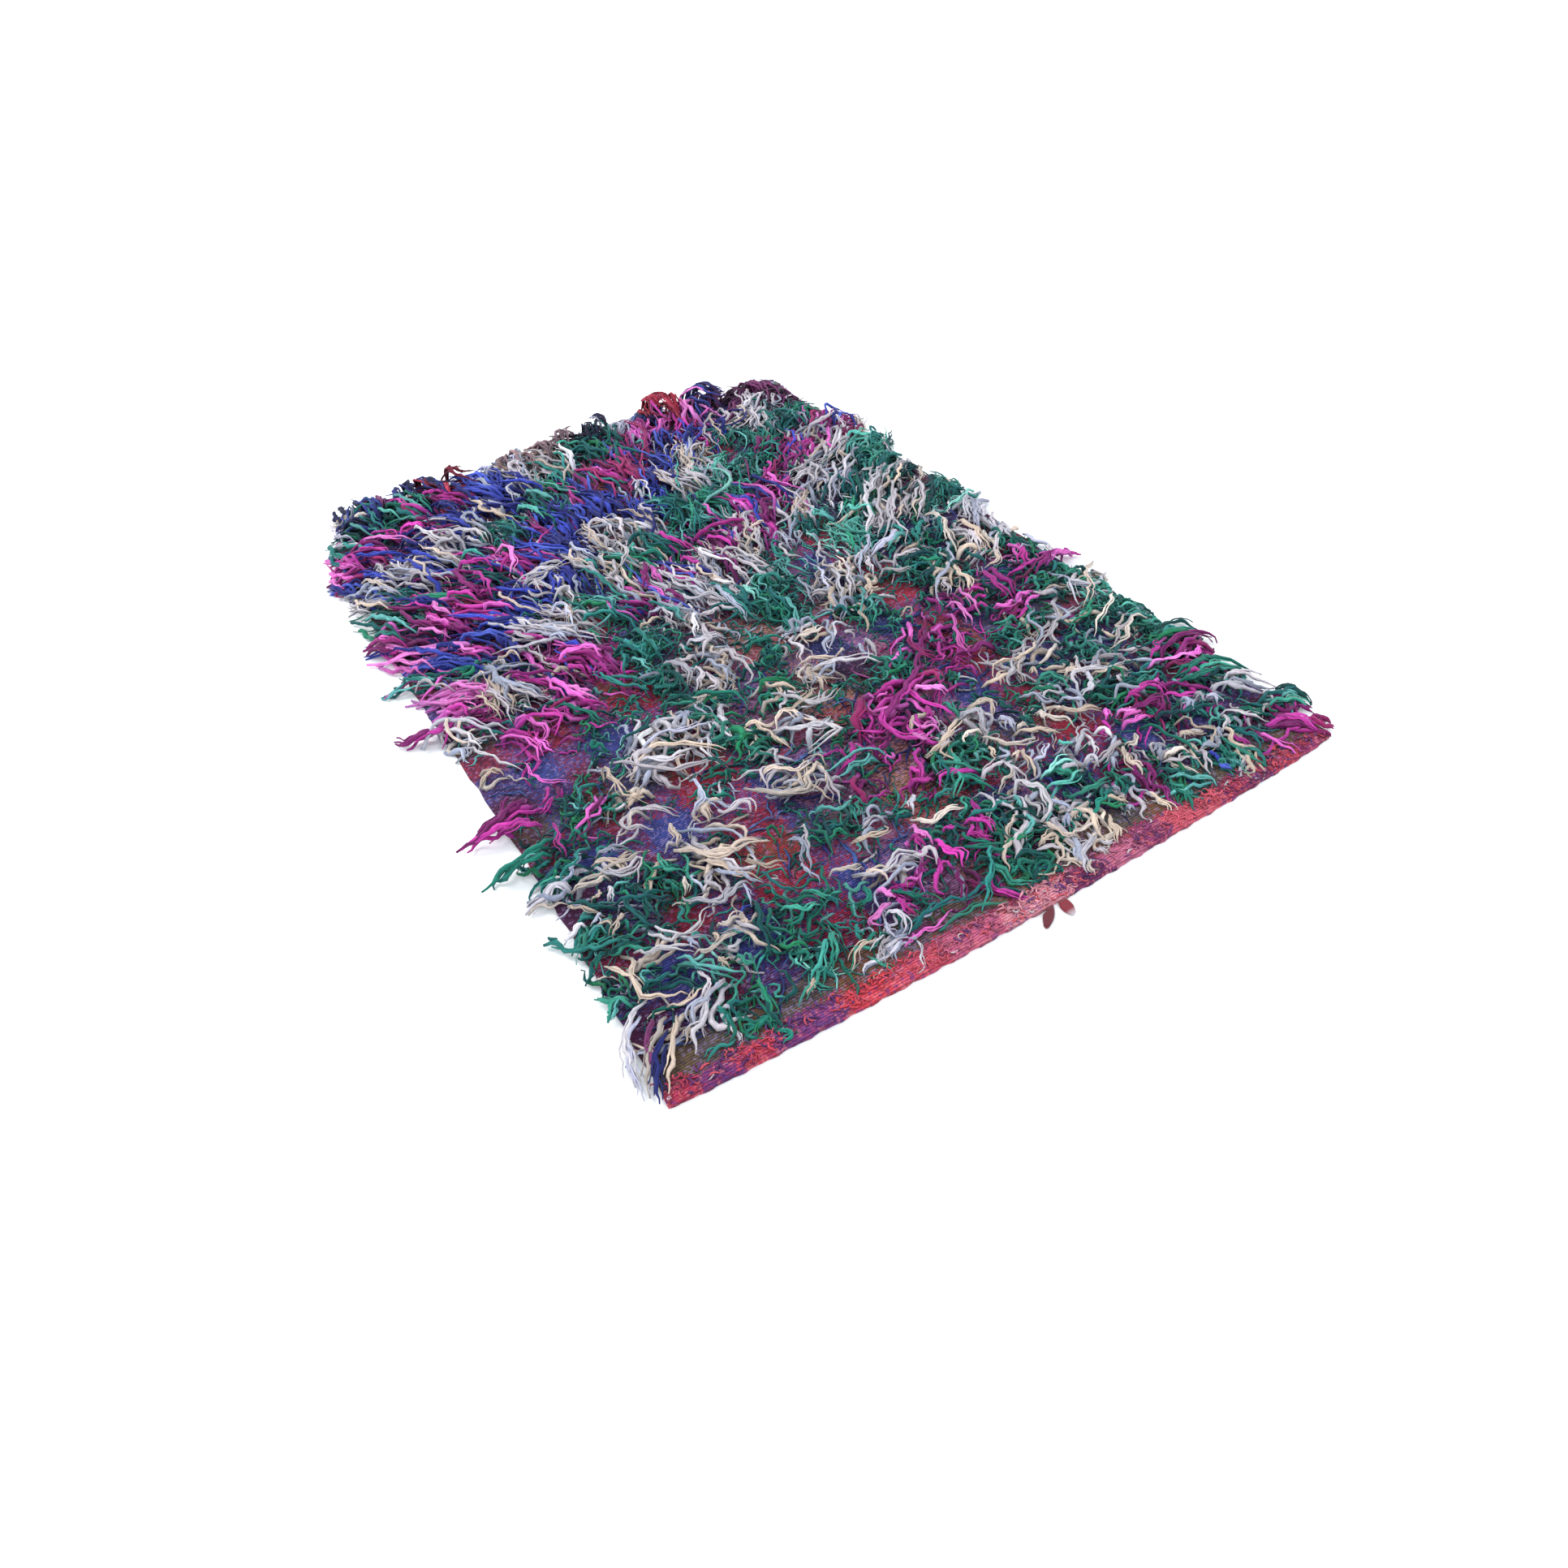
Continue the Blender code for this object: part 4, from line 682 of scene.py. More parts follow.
    ("G", 7.1, [(-.167, .061), (-.161, .030), (-.160, -.005), (-.162, -.038)]),
    ("G", 7.1, [(-.210, .027), (-.195, .016), (-.182, .001), (-.180, -.024)]),
    ("G", 5.8, [(-.201, -.010), (-.193, -.035), (-.190, -.057)]),
    ("G", 6.1, [(-.172, -.140), (-.146, -.154), (-.122, -.171), (-.113, -.191), (-.116, -.211)]),
    ("G", 5.0, [(-.340, -.042), (-.323, -.063), (-.310, -.081), (-.299, -.108), (-.288, -.127)]),
    ("G", 5.9, [(-.049, -.090), (-.019, -.087), (.012, -.097)]),
    ("G", 7.6, [(.057, .054), (.080, .054), (.089, .030)]),
    ("G", 7.4, [(.059, .032), (.055, -.008), (.059, -.044)]),
    ("G", 6.8, [(-.013, .106), (-.003, .069), (-.000, .033), (-.001, -.008), (.006, -.040)]),
    ("E", 7.5, [(.027, .056), (.030, .034), (.028, .018)]),
    ("G", 6.8, [(-.083, -.185), (-.064, -.176), (-.048, -.183), (-.037, -.200)]),
    ("M", 8.3, [(-.294, .051), (-.266, .055), (-.241, .050), (-.233, .023)]),
    ("M", 7.9, [(-.317, .019), (-.312, -.021), (-.301, -.056), (-.289, -.071)]),
    ("I", 6.8, [(-.308, -.012), (-.296, -.044), (-.280, -.066)]),
    ("M", 7.0, [(-.285, .027), (-.277, .014), (-.269, .001)]),
    ("M", 5.8, [(-.258, -.017), (-.245, -.019), (-.234, -.024)]),
    ("M", 7.1, [(-.226, .039), (-.220, .030), (-.218, .018)]),
    ("O", 6.8, [(.028, -.430), (.044, -.430), (.060, -.427), (.077, -.413), (.097, -.406), (.110, -.394)]),
    ("W", 7.5, [(.104, -.396), (.118, -.396), (.135, -.402), (.133, -.418), (.119, -.434)]),
    ("C", 6.5, [(.125, -.397), (.141, -.391), (.156, -.393), (.157, -.406), (.147, -.421)]),
    ("L", 6.9, [(.149, -.428), (.156, -.445), (.153, -.462)]),
    ("C", 5.2, [(.114, -.441), (.112, -.453), (.119, -.469), (.132, -.482), (.147, -.489), (.161, -.489), (.167, -.479)]),
    ("O", 5.2, [(.117, -.437), (.104, -.432), (.093, -.430), (.084, -.442), (.087, -.448)]),
    ("C", 5.2, [(.147, -.464), (.162, -.471), (.175, -.481), (.186, -.492), (.201, -.497)]),
    ("C", 4.7, [(.157, -.461), (.168, -.457), (.172, -.468)]),
    ("L", 4.6, [(.126, -.522), (.139, -.522), (.155, -.520), (.168, -.510), (.167, -.501)]),
    ("C", 5.6, [(.136, -.494), (.128, -.515), (.123, -.530), (.117, -.545)]),
    ("C", 5.1, [(.128, -.495), (.122, -.501), (.115, -.507)]),
    ("C", 7.1, [(.057, -.508), (.071, -.503), (.087, -.504), (.103, -.496)]),
    ("C", 4.1, [(.103, -.467), (.095, -.481), (.097, -.492)]),
    ("C", 5.0, [(.102, -.515), (.087, -.529), (.071, -.531), (.059, -.541)]),
    ("W", 6.5, [(.076, -.553), (.087, -.542), (.098, -.544), (.096, -.557), (.106, -.561), (.105, -.573), (.101, -.588), (.088, -.605), (.070, -.610)]),
    ("W", 5.4, [(.087, -.564), (.077, -.571), (.081, -.583), (.082, -.592), (.071, -.602)]),
    ("L", 4.9, [(.102, -.589), (.106, -.600), (.111, -.612), (.114, -.620)]),
    ("C", 5.7, [(.074, -.613), (.073, -.629), (.081, -.643), (.092, -.659)]),
    ("O", 4.8, [(.084, -.653), (.105, -.651), (.125, -.652), (.139, -.646)]),
    ("L", 5.8, [(.101, -.620), (.099, -.628), (.095, -.637)]),
    ("C", 5.7, [(.043, -.641), (.058, -.639), (.072, -.645)]),
    ("C", 5.1, [(.037, -.645), (.053, -.653), (.061, -.665), (.068, -.678)]),
    ("O", 4.7, [(.072, -.653), (.079, -.666), (.077, -.678)]),
    ("L", 6.0, [(.105, -.659), (.099, -.672), (.082, -.684), (.065, -.696), (.059, -.712)]),
    ("C", 4.6, [(.077, -.697), (.067, -.713), (.065, -.719)]),
    ("O", 5.6, [(.148, -.651), (.140, -.667), (.130, -.685), (.122, -.696)]),
    ("C", 4.2, [(.107, -.678), (.111, -.688), (.123, -.693)]),
    ("C", 4.2, [(.090, -.690), (.099, -.693), (.103, -.703)]),
    ("W", 7.3, [(.190, -.539), (.207, -.525), (.223, -.518), (.233, -.523)]),
    ("W", 6.2, [(.233, -.523), (.246, -.529), (.243, -.543), (.248, -.547)]),
    ("W", 5.1, [(.222, -.532), (.212, -.544), (.202, -.557)]),
    ("C", 6.1, [(.252, -.553), (.236, -.562), (.217, -.568), (.200, -.571), (.188, -.576)]),
    ("C", 5.0, [(.245, -.564), (.235, -.581), (.231, -.597), (.234, -.608)]),
    ("L", 7.1, [(.181, -.561), (.195, -.561), (.196, -.576)]),
    ("L", 6.0, [(.149, -.558), (.163, -.558), (.173, -.562)]),
    ("C", 5.1, [(.275, -.559), (.259, -.568), (.247, -.566)]),
    ("C", 5.4, [(.207, -.406), (.210, -.419), (.221, -.422), (.221, -.440), (.239, -.449)]),
    ("C", 5.9, [(.242, -.446), (.259, -.459), (.268, -.474)]),
    ("C", 5.8, [(.227, -.457), (.235, -.469), (.246, -.481), (.270, -.488), (.278, -.490)]),
    ("O", 5.3, [(.202, -.445), (.203, -.457), (.211, -.473), (.220, -.486), (.223, -.502)]),
    ("O", 6.4, [(.201, -.451), (.201, -.459), (.198, -.470)]),
    ("W", 7.1, [(.310, -.419), (.307, -.440), (.290, -.454), (.271, -.459)]),
    ("C", 6.6, [(.285, -.410), (.299, -.411), (.306, -.421)]),
    ("C", 5.5, [(.315, -.427), (.330, -.438), (.349, -.443), (.366, -.450)]),
    ("C", 6.6, [(.179, -.359), (.194, -.367), (.214, -.366), (.232, -.362)]),
    ("C", 5.6, [(.254, -.372), (.255, -.379), (.255, -.388)]),
    ("C", 5.5, [(.211, -.357), (.206, -.365), (.201, -.373)]),
    ("O", 5.8, [(-.056, -.513), (-.054, -.527), (-.042, -.536), (-.022, -.534), (-.005, -.532), (.011, -.536)]),
    ("W", 5.9, [(-.037, -.483), (-.036, -.492), (-.050, -.509)]),
    ("C", 5.7, [(-.093, -.563), (-.089, -.574), (-.074, -.570), (-.070, -.579), (-.076, -.594)]),
    ("O", 4.9, [(.161, -.627), (.172, -.637), (.182, -.648)]),
    ("C", 4.8, [(.172, -.655), (.176, -.660), (.179, -.665)]),
    ("L", 4.9, [(.186, -.615), (.186, -.621), (.184, -.628)]),
    ("H", 6.5, [(.108, -.400), (.111, -.374), (.104, -.360)]),
    ("G", 6.5, [(.054, -.443), (.049, -.468), (.032, -.494), (.009, -.514)]),
    ("E", 6.1, [(.032, -.437), (.036, -.455), (.030, -.474), (.018, -.488)]),
    ("H", 6.0, [(.049, -.468), (.040, -.491), (.048, -.511), (.062, -.534)]),
    ("G", 6.0, [(-.014, -.507), (.003, -.501), (.016, -.505)]),
    ("G", 6.4, [(.003, -.551), (.022, -.559), (.048, -.560), (.063, -.562)]),
    ("G", 4.9, [(.070, -.557), (.069, -.574), (.064, -.585)]),
    ("G", 5.8, [(.039, -.571), (.033, -.593), (.029, -.606)]),
    ("G", 5.7, [(.065, -.589), (.061, -.603), (.045, -.618), (.032, -.617)]),
    ("E", 4.7, [(-.016, -.567), (-.024, -.586), (-.011, -.601), (.010, -.613)]),
    ("G", 4.7, [(.009, -.615), (.030, -.619), (.049, -.612)]),
    ("H", 5.6, [(-.037, -.586), (-.025, -.602), (-.005, -.616), (.011, -.635)]),
    ("G", 6.4, [(.171, -.401), (.172, -.417), (.183, -.421)]),
    ("G", 5.3, [(.171, -.444), (.179, -.460), (.184, -.470)]),
    ("G", 6.0, [(.224, -.407), (.238, -.417), (.253, -.432)]),
    ("G", 5.5, [(.247, -.397), (.269, -.398), (.270, -.422), (.269, -.439)]),
    ("H", 6.4, [(.282, -.466), (.291, -.481), (.305, -.498)]),
    ("G", 6.5, [(.303, -.452), (.310, -.469), (.334, -.475), (.356, -.484)]),
    ("E", 5.1, [(.122, -.548), (.139, -.547), (.160, -.546), (.179, -.551)]),
    ("E", 5.5, [(.113, -.569), (.134, -.575), (.154, -.576), (.174, -.566)]),
    ("G", 6.9, [(.128, -.598), (.149, -.604), (.172, -.601), (.194, -.599)]),
    ("G", 5.4, [(.126, -.637), (.139, -.637), (.157, -.627), (.171, -.619)]),
    ("H", 5.9, [(.197, -.610), (.205, -.625), (.210, -.634)]),
    ("G", 4.4, [(.146, -.628), (.161, -.642), (.178, -.659)]),
    ("E", 5.1, [(.185, -.510), (.183, -.524), (.197, -.524)]),
    ("G", 5.6, [(-.041, -.623), (-.025, -.618), (-.013, -.634)]),
    ("G", 5.1, [(.002, -.645), (.019, -.641), (.031, -.649), (.038, -.670)]),
    ("G", 4.6, [(-.014, -.658), (-.006, -.655), (.002, -.653)]),
    ("I", 5.3, [(.051, -.365), (.052, -.383), (.065, -.394), (.073, -.406)]),
    ("I", 5.8, [(.034, -.388), (.038, -.405), (.050, -.410)]),
    ("X", 7.8, [(.112, -.292), (.134, -.301), (.135, -.324)]),
    ("I", 7.7, [(.093, -.312), (.116, -.325), (.133, -.341)]),
    ("M", 6.5, [(.086, -.356), (.081, -.366), (.075, -.376)]),
    ("M", 6.0, [(-.022, -.466), (-.006, -.471), (.008, -.474)]),
    ("M", 6.1, [(-.002, -.442), (-.003, -.451), (-.004, -.459)]),
    ("M", 4.8, [(-.007, -.556), (.008, -.570), (.012, -.595)]),
    ("M", 4.8, [(-.016, -.576), (-.008, -.589), (.007, -.597)]),
    ("I", 6.2, [(-.065, -.525), (-.061, -.544), (-.061, -.566)]),
    ("M", 6.6, [(-.054, -.557), (-.053, -.583), (-.046, -.599), (-.053, -.615)]),
    ("M", 4.8, [(-.038, -.555), (-.030, -.558), (-.022, -.559)]),
    ("M", 6.7, [(-.077, -.542), (-.072, -.552), (-.069, -.564)]),
    ("M", 7.4, [(.275, -.498), (.271, -.505), (.266, -.512)]),
    ("I", 6.3, [(.282, -.514), (.298, -.520), (.310, -.527)]),
    ("M", 6.5, [(.322, -.495), (.330, -.498), (.339, -.501)]),
    ("C", 5.6, [(-.300, -.447), (-.292, -.463), (-.280, -.476), (-.270, -.491), (-.260, -.499)]),
    ("W", 5.1, [(-.326, -.494), (-.316, -.503), (-.306, -.500), (-.292, -.490), (-.280, -.489), (-.275, -.499)]),
    ("L", 3.7, [(-.280, -.489), (-.286, -.502), (-.291, -.524)]),
    ("C", 4.2, [(-.209, -.500), (-.209, -.515), (-.207, -.528), (-.206, -.538)]),
    ("C", 6.0, [(-.161, -.561), (-.148, -.561), (-.141, -.567), (-.141, -.581), (-.139, -.587)]),
    ("C", 4.7, [(-.192, -.535), (-.176, -.538), (-.161, -.541), (-.150, -.542)]),
    ("G", 4.6, [(-.254, -.481), (-.256, -.499), (-.252, -.512), (-.244, -.527), (-.236, -.541)]),
    ("G", 5.0, [(-.261, -.527), (-.257, -.538), (-.242, -.551), (-.228, -.555), (-.219, -.568)]),
    ("G", 5.0, [(-.266, -.545), (-.254, -.561), (-.240, -.566), (-.224, -.567)]),
    ("H", 5.0, [(-.234, -.538), (-.224, -.549), (-.213, -.559), (-.208, -.578)]),
    ("G", 4.6, [(-.213, -.559), (-.211, -.573), (-.211, -.587)]),
    ("E", 5.0, [(-.185, -.555), (-.186, -.566), (-.180, -.573), (-.168, -.572), (-.159, -.572)]),
    ("H", 6.4, [(-.167, -.576), (-.175, -.593), (-.186, -.596)]),
    ("H", 4.5, [(-.236, -.568), (-.254, -.573), (-.274, -.580)]),
    ("G", 4.9, [(-.261, -.583), (-.266, -.596), (-.261, -.604), (-.252, -.602), (-.244, -.594)]),
    ("G", 3.6, [(-.241, -.593), (-.228, -.591), (-.218, -.589)]),
    ("H", 5.8, [(-.283, -.519), (-.292, -.542), (-.300, -.566), (-.305, -.584), (-.310, -.598)]),
    ("G", 6.2, [(-.294, -.591), (-.288, -.602), (-.276, -.606), (-.270, -.617)]),
    ("E", 6.1, [(-.242, -.616), (-.255, -.625), (-.268, -.636), (-.281, -.648), (-.292, -.656)]),
    ("O", 5.1, [(-.288, -.656), (-.298, -.663), (-.307, -.673)]),
    ("G", 6.1, [(-.235, -.610), (-.241, -.627), (-.250, -.642), (-.258, -.650)]),
    ("H", 3.8, [(-.252, -.645), (-.253, -.663), (-.255, -.685), (-.264, -.707)]),
    ("H", 4.3, [(-.246, -.631), (-.258, -.643), (-.273, -.660), (-.288, -.670)]),
    ("G", 4.2, [(-.274, -.646), (-.296, -.664), (-.315, -.673), (-.325, -.683)]),
    ("G", 5.7, [(-.210, -.617), (-.213, -.630), (-.217, -.643)]),
    ("H", 4.4, [(-.195, -.642), (-.207, -.643), (-.217, -.644)]),
    ("G", 5.2, [(-.345, -.579), (-.339, -.586), (-.334, -.596), (-.333, -.606)]),
    ("G", 5.9, [(-.336, -.617), (-.343, -.639), (-.348, -.655), (-.351, -.671), (-.360, -.684)]),
    ("H", 6.2, [(-.347, -.651), (-.351, -.669), (-.355, -.683), (-.352, -.695)]),
    ("G", 4.9, [(-.359, -.695), (-.351, -.699), (-.352, -.707), (-.362, -.712)]),
    ("G", 4.2, [(-.313, -.622), (-.309, -.633), (-.312, -.647), (-.319, -.658), (-.333, -.664), (-.348, -.671)]),
    ("G", 3.7, [(-.367, -.675), (-.378, -.680), (-.389, -.682)]),
    ("G", 5.0, [(-.388, -.628), (-.390, -.643), (-.393, -.658), (-.401, -.674), (-.411, -.686)]),
    ("I", 6.4, [(-.162, -.590), (-.154, -.600), (-.146, -.608)]),
    ("I", 5.8, [(-.155, -.611), (-.166, -.618), (-.181, -.621), (-.191, -.622), (-.192, -.630), (-.182, -.635)]),
    ("M", 5.4, [(-.148, -.612), (-.148, -.626), (-.145, -.643)]),
    ("X", 4.5, [(-.146, -.620), (-.147, -.637), (-.143, -.648)]),
    ("L", 4.5, [(-.173, -.624), (-.161, -.625), (-.157, -.635), (-.163, -.652), (-.172, -.660)]),
    ("L", 4.0, [(-.180, -.633), (-.184, -.649), (-.181, -.661)]),
    ("C", 3.5, [(-.196, -.651), (-.211, -.648), (-.228, -.653), (-.240, -.662), (-.249, -.672)]),
    ("L", 3.1, [(-.189, -.649), (-.205, -.652), (-.217, -.660)]),
    ("C", 3.9, [(-.183, -.653), (-.199, -.663), (-.209, -.674), (-.213, -.687)]),
    ("L", 3.5, [(-.176, -.665), (-.187, -.678), (-.197, -.684), (-.204, -.693)]),
    ("C", 3.0, [(-.165, -.679), (-.168, -.691), (-.174, -.703), (-.184, -.714), (-.192, -.717)]),
    ("C", 3.0, [(-.223, -.694), (-.232, -.694), (-.236, -.698)]),
    ("P", 4.0, [(-.184, -.666), (-.170, -.669), (-.148, -.670), (-.129, -.668)]),
    ("I", 3.5, [(-.159, -.669), (-.173, -.676), (-.182, -.678)]),
    ("G", 3.6, [(-.159, -.655), (-.139, -.650), (-.120, -.648), (-.109, -.650)]),
    ("H", 4.5, [(-.153, -.597), (-.139, -.610), (-.125, -.623), (-.108, -.632)]),
    ("G", 3.4, [(-.222, -.665), (-.219, -.676), (-.217, -.688), (-.214, -.704)]),
    ("L", 7.9, [(-.460, -.382), (-.466, -.371), (-.478, -.370), (-.494, -.375), (-.507, -.381), (-.526, -.389)]),
    ("W", 5.2, [(-.418, -.359), (-.415, -.377), (-.410, -.390), (-.397, -.397), (-.383, -.402), (-.372, -.390)]),
    ("O", 5.2, [(-.410, -.390), (-.419, -.387), (-.435, -.387), (-.450, -.384), (-.460, -.385)]),
    ("O", 4.2, [(-.522, -.389), (-.504, -.387), (-.487, -.395), (-.473, -.400)]),
    ("C", 4.1, [(-.473, -.401), (-.460, -.418), (-.449, -.428), (-.440, -.440)]),
    ("O", 4.2, [(-.431, -.402), (-.437, -.410), (-.445, -.413)]),
    ("C", 4.7, [(-.419, -.403), (-.423, -.416), (-.428, -.422)]),
    ("L", 6.3, [(-.466, -.443), (-.480, -.444), (-.491, -.450), (-.502, -.455)]),
    ("L", 4.6, [(-.443, -.435), (-.451, -.445), (-.462, -.446)]),
    ("C", 3.6, [(-.454, -.452), (-.445, -.455), (-.441, -.462)]),
    ("C", 4.1, [(-.419, -.449), (-.430, -.456), (-.438, -.468), (-.447, -.477)]),
    ("H", 4.6, [(-.472, -.397), (-.457, -.411), (-.438, -.429), (-.421, -.438)]),
    ("G", 7.1, [(-.523, -.441), (-.513, -.446), (-.505, -.463), (-.493, -.476), (-.476, -.479), (-.458, -.483), (-.443, -.484), (-.431, -.487)]),
    ("E", 4.9, [(-.457, -.492), (-.448, -.494), (-.437, -.494), (-.431, -.496)]),
    ("G", 4.9, [(-.514, -.435), (-.513, -.446), (-.507, -.456)]),
    ("G", 6.1, [(-.462, -.489), (-.476, -.496), (-.485, -.503), (-.494, -.511), (-.506, -.523)]),
    ("G", 5.3, [(-.470, -.493), (-.482, -.503), (-.487, -.509)]),
    ("G", 5.5, [(-.414, -.422), (-.411, -.439), (-.412, -.456), (-.407, -.475), (-.396, -.489)]),
    ("G", 4.6, [(-.389, -.416), (-.389, -.439), (-.390, -.461), (-.389, -.481)]),
    ("G", 5.6, [(-.422, -.428), (-.404, -.436), (-.385, -.441), (-.365, -.444)]),
    ("G", 6.1, [(-.357, -.433), (-.355, -.450), (-.347, -.456)]),
    ("G", 5.1, [(-.392, -.444), (-.375, -.453), (-.361, -.458)]),
    ("H", 4.7, [(-.367, -.404), (-.351, -.417), (-.336, -.431)]),
    ("O", 4.2, [(-.337, -.440), (-.339, -.453), (-.348, -.464)]),
    ("W", 5.0, [(-.350, -.462), (-.351, -.477), (-.341, -.486), (-.326, -.496), (-.315, -.502), (-.306, -.495), (-.294, -.488), (-.283, -.488)]),
    ("W", 4.9, [(-.407, -.486), (-.409, -.500), (-.399, -.509), (-.396, -.517), (-.385, -.516), (-.375, -.522), (-.362, -.517), (-.349, -.508), (-.338, -.497), (-.328, -.496)]),
    ("W", 4.4, [(-.434, -.504), (-.429, -.509), (-.425, -.518), (-.412, -.521), (-.400, -.525), (-.387, -.530), (-.376, -.539), (-.372, -.545)]),
    ("L", 4.9, [(-.375, -.526), (-.372, -.536), (-.370, -.544)]),
    ("O", 4.4, [(-.382, -.550), (-.374, -.548), (-.363, -.554), (-.355, -.557), (-.343, -.551), (-.333, -.548), (-.321, -.545)]),
    ("O", 4.5, [(-.348, -.536), (-.348, -.544), (-.352, -.549)]),
    ("O", 5.4, [(-.339, -.525), (-.330, -.532), (-.317, -.533), (-.308, -.536)]),
    ("C", 4.8, [(-.362, -.570), (-.360, -.581), (-.357, -.590)]),
    ("C", 5.1, [(-.368, -.596), (-.379, -.604), (-.392, -.609), (-.407, -.614), (-.418, -.621), (-.422, -.634)]),
    ("E", 5.2, [(-.397, -.538), (-.390, -.551), (-.384, -.563), (-.376, -.577), (-.367, -.589), (-.355, -.596), (-.344, -.603)]),
    ("C", 3.9, [(-.387, -.569), (-.388, -.582), (-.389, -.595), (-.398, -.605), (-.409, -.610)]),
    ("C", 3.4, [(-.438, -.594), (-.425, -.602), (-.412, -.606), (-.400, -.598), (-.390, -.597)]),
    ("O", 4.7, [(-.474, -.507), (-.468, -.517), (-.459, -.525), (-.456, -.539), (-.453, -.555), (-.454, -.567), (-.451, -.575), (-.439, -.582), (-.426, -.588), (-.416, -.586), (-.412, -.593)]),
    ("G", 4.3, [(-.449, -.561), (-.438, -.558), (-.424, -.558), (-.412, -.553)]),
    ("G", 4.8, [(-.458, -.522), (-.462, -.539), (-.462, -.552)]),
    ("G", 5.1, [(-.473, -.558), (-.483, -.564), (-.494, -.573), (-.502, -.579)]),
    ("H", 5.1, [(-.478, -.559), (-.488, -.567), (-.498, -.575)]),
    ("G", 5.0, [(-.392, -.625), (-.391, -.638), (-.394, -.652), (-.397, -.665)]),
    ("G", 4.4, [(-.402, -.679), (-.414, -.683), (-.428, -.682), (-.440, -.686)]),
    ("C", 2.7, [(-.429, -.638), (-.440, -.646), (-.449, -.652)]),
]

# Where the ground shows between the locks: x from, x to, y from, y to, how bare.
BARE = [
    (-.50, -.27, -.20, -.07, .80), (-.47, -.38, -.28, -.21, .6), (-.36, -.18, -.33, -.28, .6), (-.33, -.26, -.39, -.335, .6),
    (-.27, -.18, -.55, -.37, .75), (-.46, -.30, -.57, -.475, .35), (-.047, .03, -.115, -.03, .75), (.03, .15, -.21, -.15, .6),
    (.225, .345, -.045, .01, .7), (.18, .26, -.13, -.10, .5), (.19, .25, -.32, -.28, .5), (.18, .26, -.51, -.47, .5),
    (-.15, -.06, -.44, -.40, .5), (.09, .17, -.54, -.48, .4), (.42, .45, -.69, -.53, .4), (-.50, .50, -.72, -.655, .45),
]

STYLES = {
    # ropes in a bundle, radius of one in mm, width of the bundle in mm, wave in
    # degrees, wavelength in mm, curl in rad/m, own waviness, spread at the tip,
    # finer wisps beside each rope
    "cream": (4, 2.65, 36, 40, 48, 13, 0.52, 1.00, 0.60),
    "green": (5, 2.15, 34, 46, 33, 24, 0.85, 1.00, 0.40),
    "smooth": (4, 2.65, 30, 34, 44, 11, 0.60, 0.90, 0.70),
    "edge": (5, 2.25, 26, 28, 44, 10, 0.55, 0.85, 0.50),
}
STYLE_OF = {k: "cream" for k in "CWOL"}
STYLE_OF.update({k: "green" for k in "GEVH"})
STYLE_OF.update({k: "smooth" for k in "MIBX"})
STYLE_OF.update({k: "edge" for k in "NPRTKD"})
PIECE_OF = {}
for kinds, piece in (("CWOL", "pile_cream"), ("GEVH", "pile_green"), ("MIX", "pile_magenta"), ("B", "pile_blue"), ("NPRTKD", "pile_edge")):
    for kind in kinds:
        PIECE_OF[kind] = piece

SIGHT = np.array([0.33844933, 0.64021584]) / 0.68961999   # run of the camera's sight line for each metre of height
CHART_LEVEL = 0.012

rng = np.random.default_rng(20261128)


def linear(rgb):
    c = np.asarray(rgb, float) / 255.0
    return np.where(c <= 0.04045, c / 12.92, ((c + 0.055) / 1.055) ** 2.4)


SHADES_LINEAR = {k: (np.array([linear(c) for c, _ in v]), np.array([s for _, s in v]) / sum(s for _, s in v))
                 for k, v in SHADES.items()}


def on_pile(x, y, level=0.85):
    """A charted point, moved from the chart's level to the height of the pile there."""
    x, y = np.asarray(x, float), np.asarray(y, float)
    px, py = x, y
    for _ in range(2):
        rise = level * pile_top(px, py) - CHART_LEVEL
        px, py = x - rise * SIGHT[0], y - rise * SIGHT[1]
    return px, py


def field(x, y, seed, scale):
    """A smooth field from -1 to 1 over the plan."""
    x, y = x / scale, y / scale
    return (np.sin(6.1 * x + 2.3 * y + seed) + np.sin(-3.7 * x + 5.9 * y + 1.7 * seed)
            + np.sin(2.9 * x - 8.3 * y + 2.9 * seed) + np.sin(9.7 * x + 7.1 * y + 0.7 * seed)) / 4.0


LAY_FAR = ([-.50, -.35, -.24, -.14, .00, .12, .22, .35, .48], [141, 131, 112, 99, 98, 80, 66, 54, 44])
LAY_NEAR_X = [-.45, -.25, -.05, .15, .30, .45]
LAY_NEAR_Y = [-.70, -.60, -.45, -.30, -.15, .00]
LAY_NEAR = [  # a row for each y, a value for each x
    [235, 250, 215, 255, 240, 300], [150, 250, 225, 240, 205, 172], [200, 215, 210, 240, 190, 168],
    [190, 185, 200, 225, 205, 178], [300, 300, 262, 240, 225, 195], [305, 300, 278, 245, 232, 238]]


